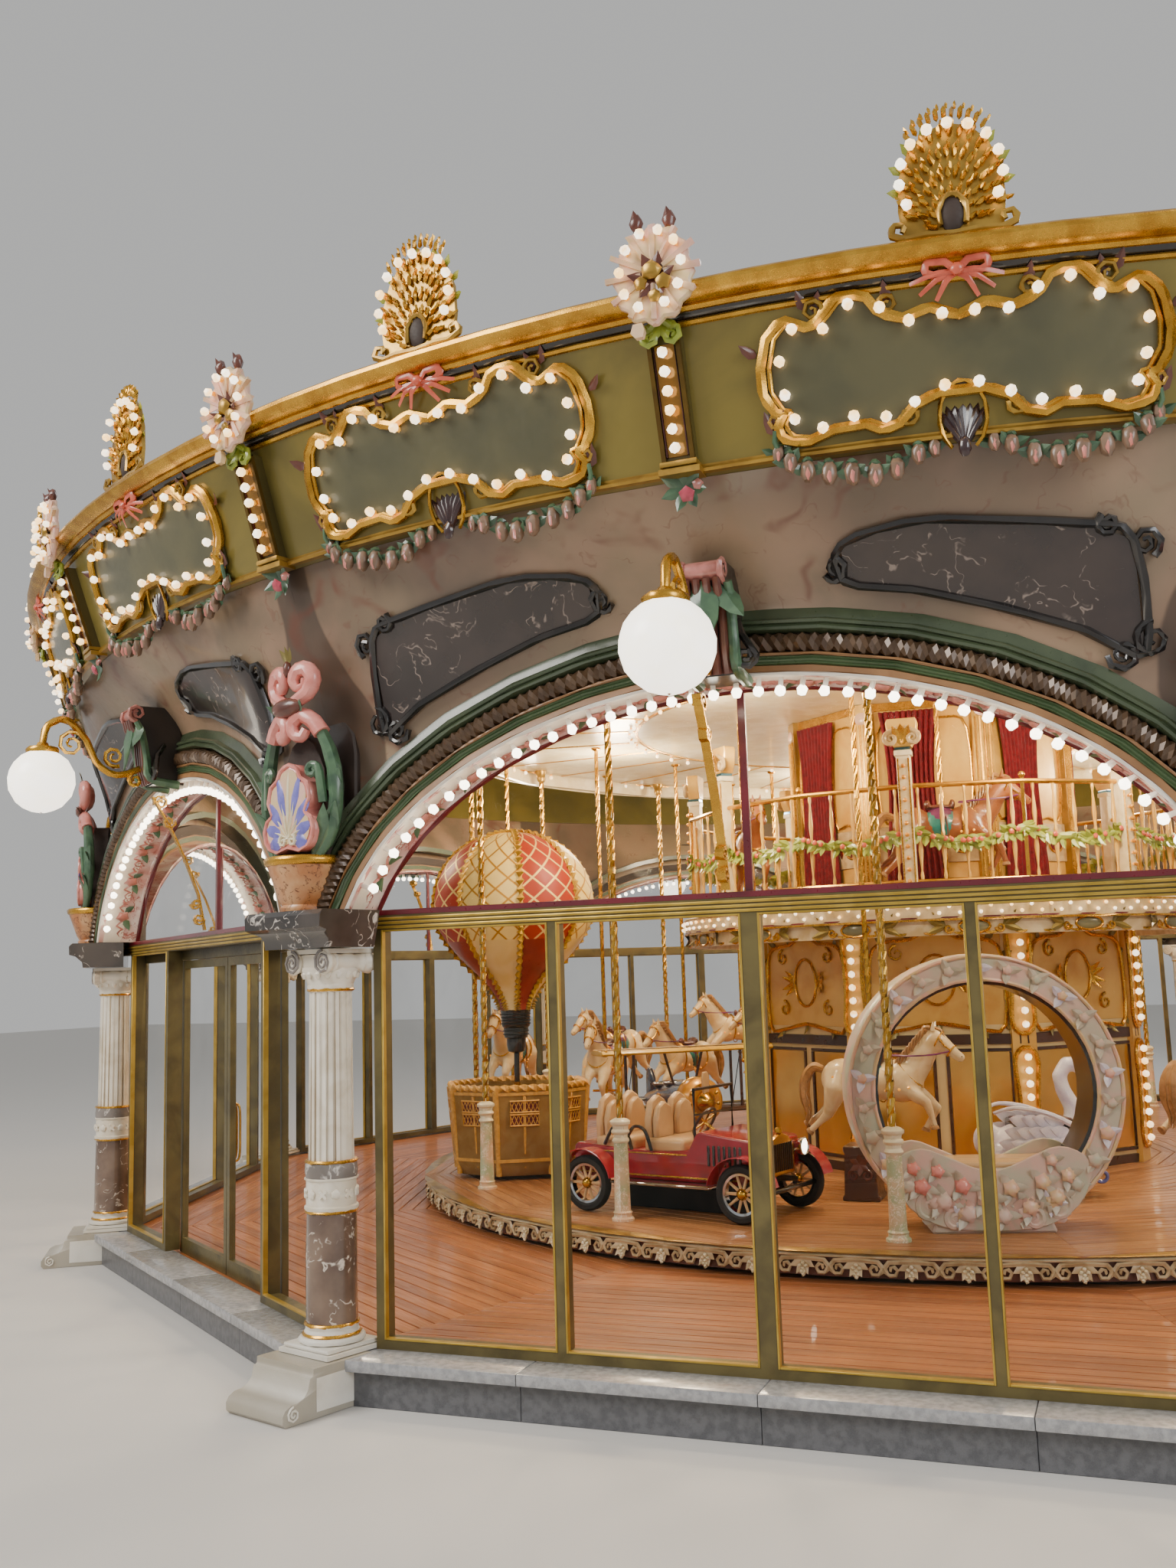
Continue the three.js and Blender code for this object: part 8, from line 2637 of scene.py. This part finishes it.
def make_camera(settings):
    """Camera at the photograph's viewing angle."""
    yaw, pitch, roll = (math.radians(a) for a in CAMERA_ANGLES)
    ahead = Vector((math.sin(yaw) * math.cos(pitch), math.cos(yaw) * math.cos(pitch), math.sin(pitch)))
    right = Vector((math.cos(yaw), -math.sin(yaw), 0))
    above = right.cross(ahead)
    across = math.cos(roll) * right + math.sin(roll) * above
    upward = -math.sin(roll) * right + math.cos(roll) * above
    data = bpy.data.cameras.new("camera")
    data.lens = settings.lens
    data.sensor_width = 36
    data.clip_end = 200
    camera = bpy.data.objects.new("camera", data)
    turn = Matrix((across, upward, -ahead)).transposed().to_4x4()
    camera.matrix_world = Matrix.Translation(CAMERA_PLACE) @ turn
    bpy.context.scene.collection.objects.link(camera)
    bpy.context.scene.camera = camera


def soft_light(name, place, target, power, size, tint=(1, 1, 1)):
    data = bpy.data.lights.new(name, "AREA")
    data.energy = power
    data.size = size
    data.color = tint
    lamp = bpy.data.objects.new(name, data)
    away = Vector(place) - Vector(target)
    lamp.matrix_world = Matrix.Translation(place) @ away.to_track_quat("Z", "Y").to_matrix().to_4x4()
    bpy.context.scene.collection.objects.link(lamp)


def glow(name, place, power, radius, tint=(1.0, 0.82, 0.58)):
    data = bpy.data.lights.new(name, "POINT")
    data.energy = power
    data.shadow_soft_size = radius
    data.color = tint
    lamp = bpy.data.objects.new(name, data)
    lamp.matrix_world = Matrix.Translation(place)
    bpy.context.scene.collection.objects.link(lamp)


def make_stage(settings):
    shape = bmesh.new()
    bmesh.ops.create_grid(shape, x_segments=2, y_segments=2, size=60)
    mesh = bpy.data.meshes.new("stage_floor")
    shape.to_mesh(mesh)
    shape.free()
    ground = bpy.data.objects.new("stage_floor", mesh)
    mesh.transform(moved(0, 0, -0.0005))
    bpy.context.scene.collection.objects.link(ground)
    material = bpy.data.materials.new("pale floor")
    material.use_nodes = True
    shader = material.node_tree.nodes["Principled BSDF"]
    shader.inputs["Base Color"].default_value = (*settings.floor_colour, 1)
    shader.inputs["Roughness"].default_value = 0.7
    mesh.materials.append(material)
    world = bpy.data.worlds.new("soft sky")
    world.use_nodes = True
    backdrop = world.node_tree.nodes["Background"]
    backdrop.inputs["Color"].default_value = (0.90, 0.90, 0.89, 1)
    backdrop.inputs["Strength"].default_value = settings.sky_strength
    bpy.context.scene.world = world
    soft_light("key light", (-11, -17, 13), (0, -5, 3.0), 2600, 8, (1.0, 0.96, 0.90))
    soft_light("fill light", (14, -16, 9), (1, -5, 3.0), 1300, 8, (0.93, 0.96, 1.0))
    soft_light("back light", (4, 16, 15), (0, 0, 4), 1200, 9)
    for i in range(6):
        angle = TURN * (i + 0.5) / 6
        glow("canopy glow %d" % (i + 1), (3.4 * math.sin(angle), -3.4 * math.cos(angle), 4.25), 190, 0.25)
    for i in range(8):
        angle = TURN * (i + 0.5) / 8
        glow("walk glow %d" % (i + 1), (6.2 * math.sin(angle), -6.2 * math.cos(angle), 4.30), 170, 0.30)


class OBJECT_OT_stage(bpy.types.Operator):
    """Camera, pale floor and soft lights"""
    bl_idname = "carousel.stage"
    bl_label = "Stage"

    def execute(self, context):
        settings = context.scene.stage_settings
        make_camera(settings)
        make_stage(settings)
        return {"FINISHED"}


class OBJECT_OT_ground_work(bpy.types.Operator):
    """Plank floor and granite curb"""
    bl_idname = "carousel.ground_work"
    bl_label = "Floor and curb"

    def execute(self, context):
        sizes = context.scene.pavilion_sizes
        make_floor(sizes)
        make_curb()
        return {"FINISHED"}


class OBJECT_OT_glazing(bpy.types.Operator):
    """Bronze frames, glass and sliding doors"""
    bl_idname = "carousel.glazing"
    bl_label = "Glazing"

    def execute(self, context):
        make_glazing()
        return {"FINISHED"}


class OBJECT_OT_bays(bpy.types.Operator):
    """Marbled arches, plaques, keystones and globe lamps"""
    bl_idname = "carousel.bays"
    bl_label = "Arched bays"

    def execute(self, context):
        make_bays()
        return {"FINISHED"}


class OBJECT_OT_columns(bpy.types.Operator):
    """Corner columns with gilt capitals and urns"""
    bl_idname = "carousel.columns"
    bl_label = "Columns"

    def execute(self, context):
        make_columns()
        return {"FINISHED"}


class OBJECT_OT_cornice(bpy.types.Operator):
    """Cornice with cartouches, garlands, bulb pilasters and crests"""
    bl_idname = "carousel.cornice"
    bl_label = "Cornice"

    def execute(self, context):
        sizes = context.scene.pavilion_sizes
        make_cornice_band()
        make_cartouches(sizes)
        make_garlands()
        make_pilasters(sizes)
        make_crests()
        return {"FINISHED"}


class OBJECT_OT_roof(bpy.types.Operator):
    """Seamed metal roof and its finial"""
    bl_idname = "carousel.roof"
    bl_label = "Roof"

    def execute(self, context):
        make_roof()
        return {"FINISHED"}


class OBJECT_OT_platform(bpy.types.Operator):
    """Turning platform with its carved rim"""
    bl_idname = "carousel.platform"
    bl_label = "Riding platform"

    def execute(self, context):
        make_platform(context.scene.pavilion_sizes)
        return {"FINISHED"}


class OBJECT_OT_centre(bpy.types.Operator):
    """Panelled centre, upper deck, railing and drapes"""
    bl_idname = "carousel.centre"
    bl_label = "Centre and upper deck"

    def execute(self, context):
        sizes = context.scene.pavilion_sizes
        make_lower_core()
        make_upper_deck(sizes)
        make_railing()
        make_upper_core()
        make_curtains()
        return {"FINISHED"}


class OBJECT_OT_canopy(bpy.types.Operator):
    """Canopy rim, lamps and twisted posts"""
    bl_idname = "carousel.canopy"
    bl_label = "Canopy"

    def execute(self, context):
        make_canopy()
        return {"FINISHED"}


class OBJECT_OT_horses(bpy.types.Operator):
    """Galloping horses on their twisted poles"""
    bl_idname = "carousel.horses"
    bl_label = "Horses"

    def execute(self, context):
        make_horses()
        return {"FINISHED"}


class OBJECT_OT_balloon(bpy.types.Operator):
    """Balloon with its wicker basket"""
    bl_idname = "carousel.balloon"
    bl_label = "Balloon"

    def execute(self, context):
        make_balloon()
        return {"FINISHED"}


class OBJECT_OT_coaches(bpy.types.Operator):
    """Touring car, biplane, ring coach, swan coach and carved step"""
    bl_idname = "carousel.coaches"
    bl_label = "Car, biplane and coaches"

    def execute(self, context):
        make_car()
        make_biplane()
        make_ring_coach()
        make_swan()
        make_step()
        return {"FINISHED"}


OPERATORS = (
    OBJECT_OT_stage, OBJECT_OT_ground_work, OBJECT_OT_glazing, OBJECT_OT_bays, OBJECT_OT_columns,
             OBJECT_OT_cornice,
    OBJECT_OT_roof, OBJECT_OT_platform, OBJECT_OT_centre, OBJECT_OT_canopy, OBJECT_OT_horses,
             OBJECT_OT_balloon,
    OBJECT_OT_coaches,
)


class VIEW3D_PT_carousel(bpy.types.Panel):
    """Lists the sizes and the makers of each part"""
    bl_idname = "VIEW3D_PT_carousel"
    bl_label = "Fairground carousel"
    bl_space_type = "VIEW_3D"
    bl_region_type = "UI"
    bl_category = "Carousel"

    def draw(self, context):
        column = self.layout.column()
        for name in ("board_width", "bulb_radius"):
            column.prop(context.scene.pavilion_sizes, name)
        for name in ("floor_colour", "sky_strength", "lens"):
            column.prop(context.scene.stage_settings, name)
        for operator in OPERATORS:
            column.operator(operator.bl_idname)


CLASSES = (PavilionSizes, StageSettings, *OPERATORS, VIEW3D_PT_carousel)


def register():
    for each in CLASSES:
        bpy.utils.register_class(each)
    bpy.types.Scene.pavilion_sizes = PointerProperty(type=PavilionSizes)
    bpy.types.Scene.stage_settings = PointerProperty(type=StageSettings)


def unregister():
    del bpy.types.Scene.stage_settings
    del bpy.types.Scene.pavilion_sizes
    for each in reversed(CLASSES):
        bpy.utils.unregister_class(each)


def main():
    register()
    for name in ("stage", "ground_work", "glazing", "bays", "columns", "cornice", "roof", "platform",
                 "centre", "canopy",
                 "horses", "balloon", "coaches"):
        getattr(bpy.ops.carousel, name)()


if __name__ == "__main__":
    main()
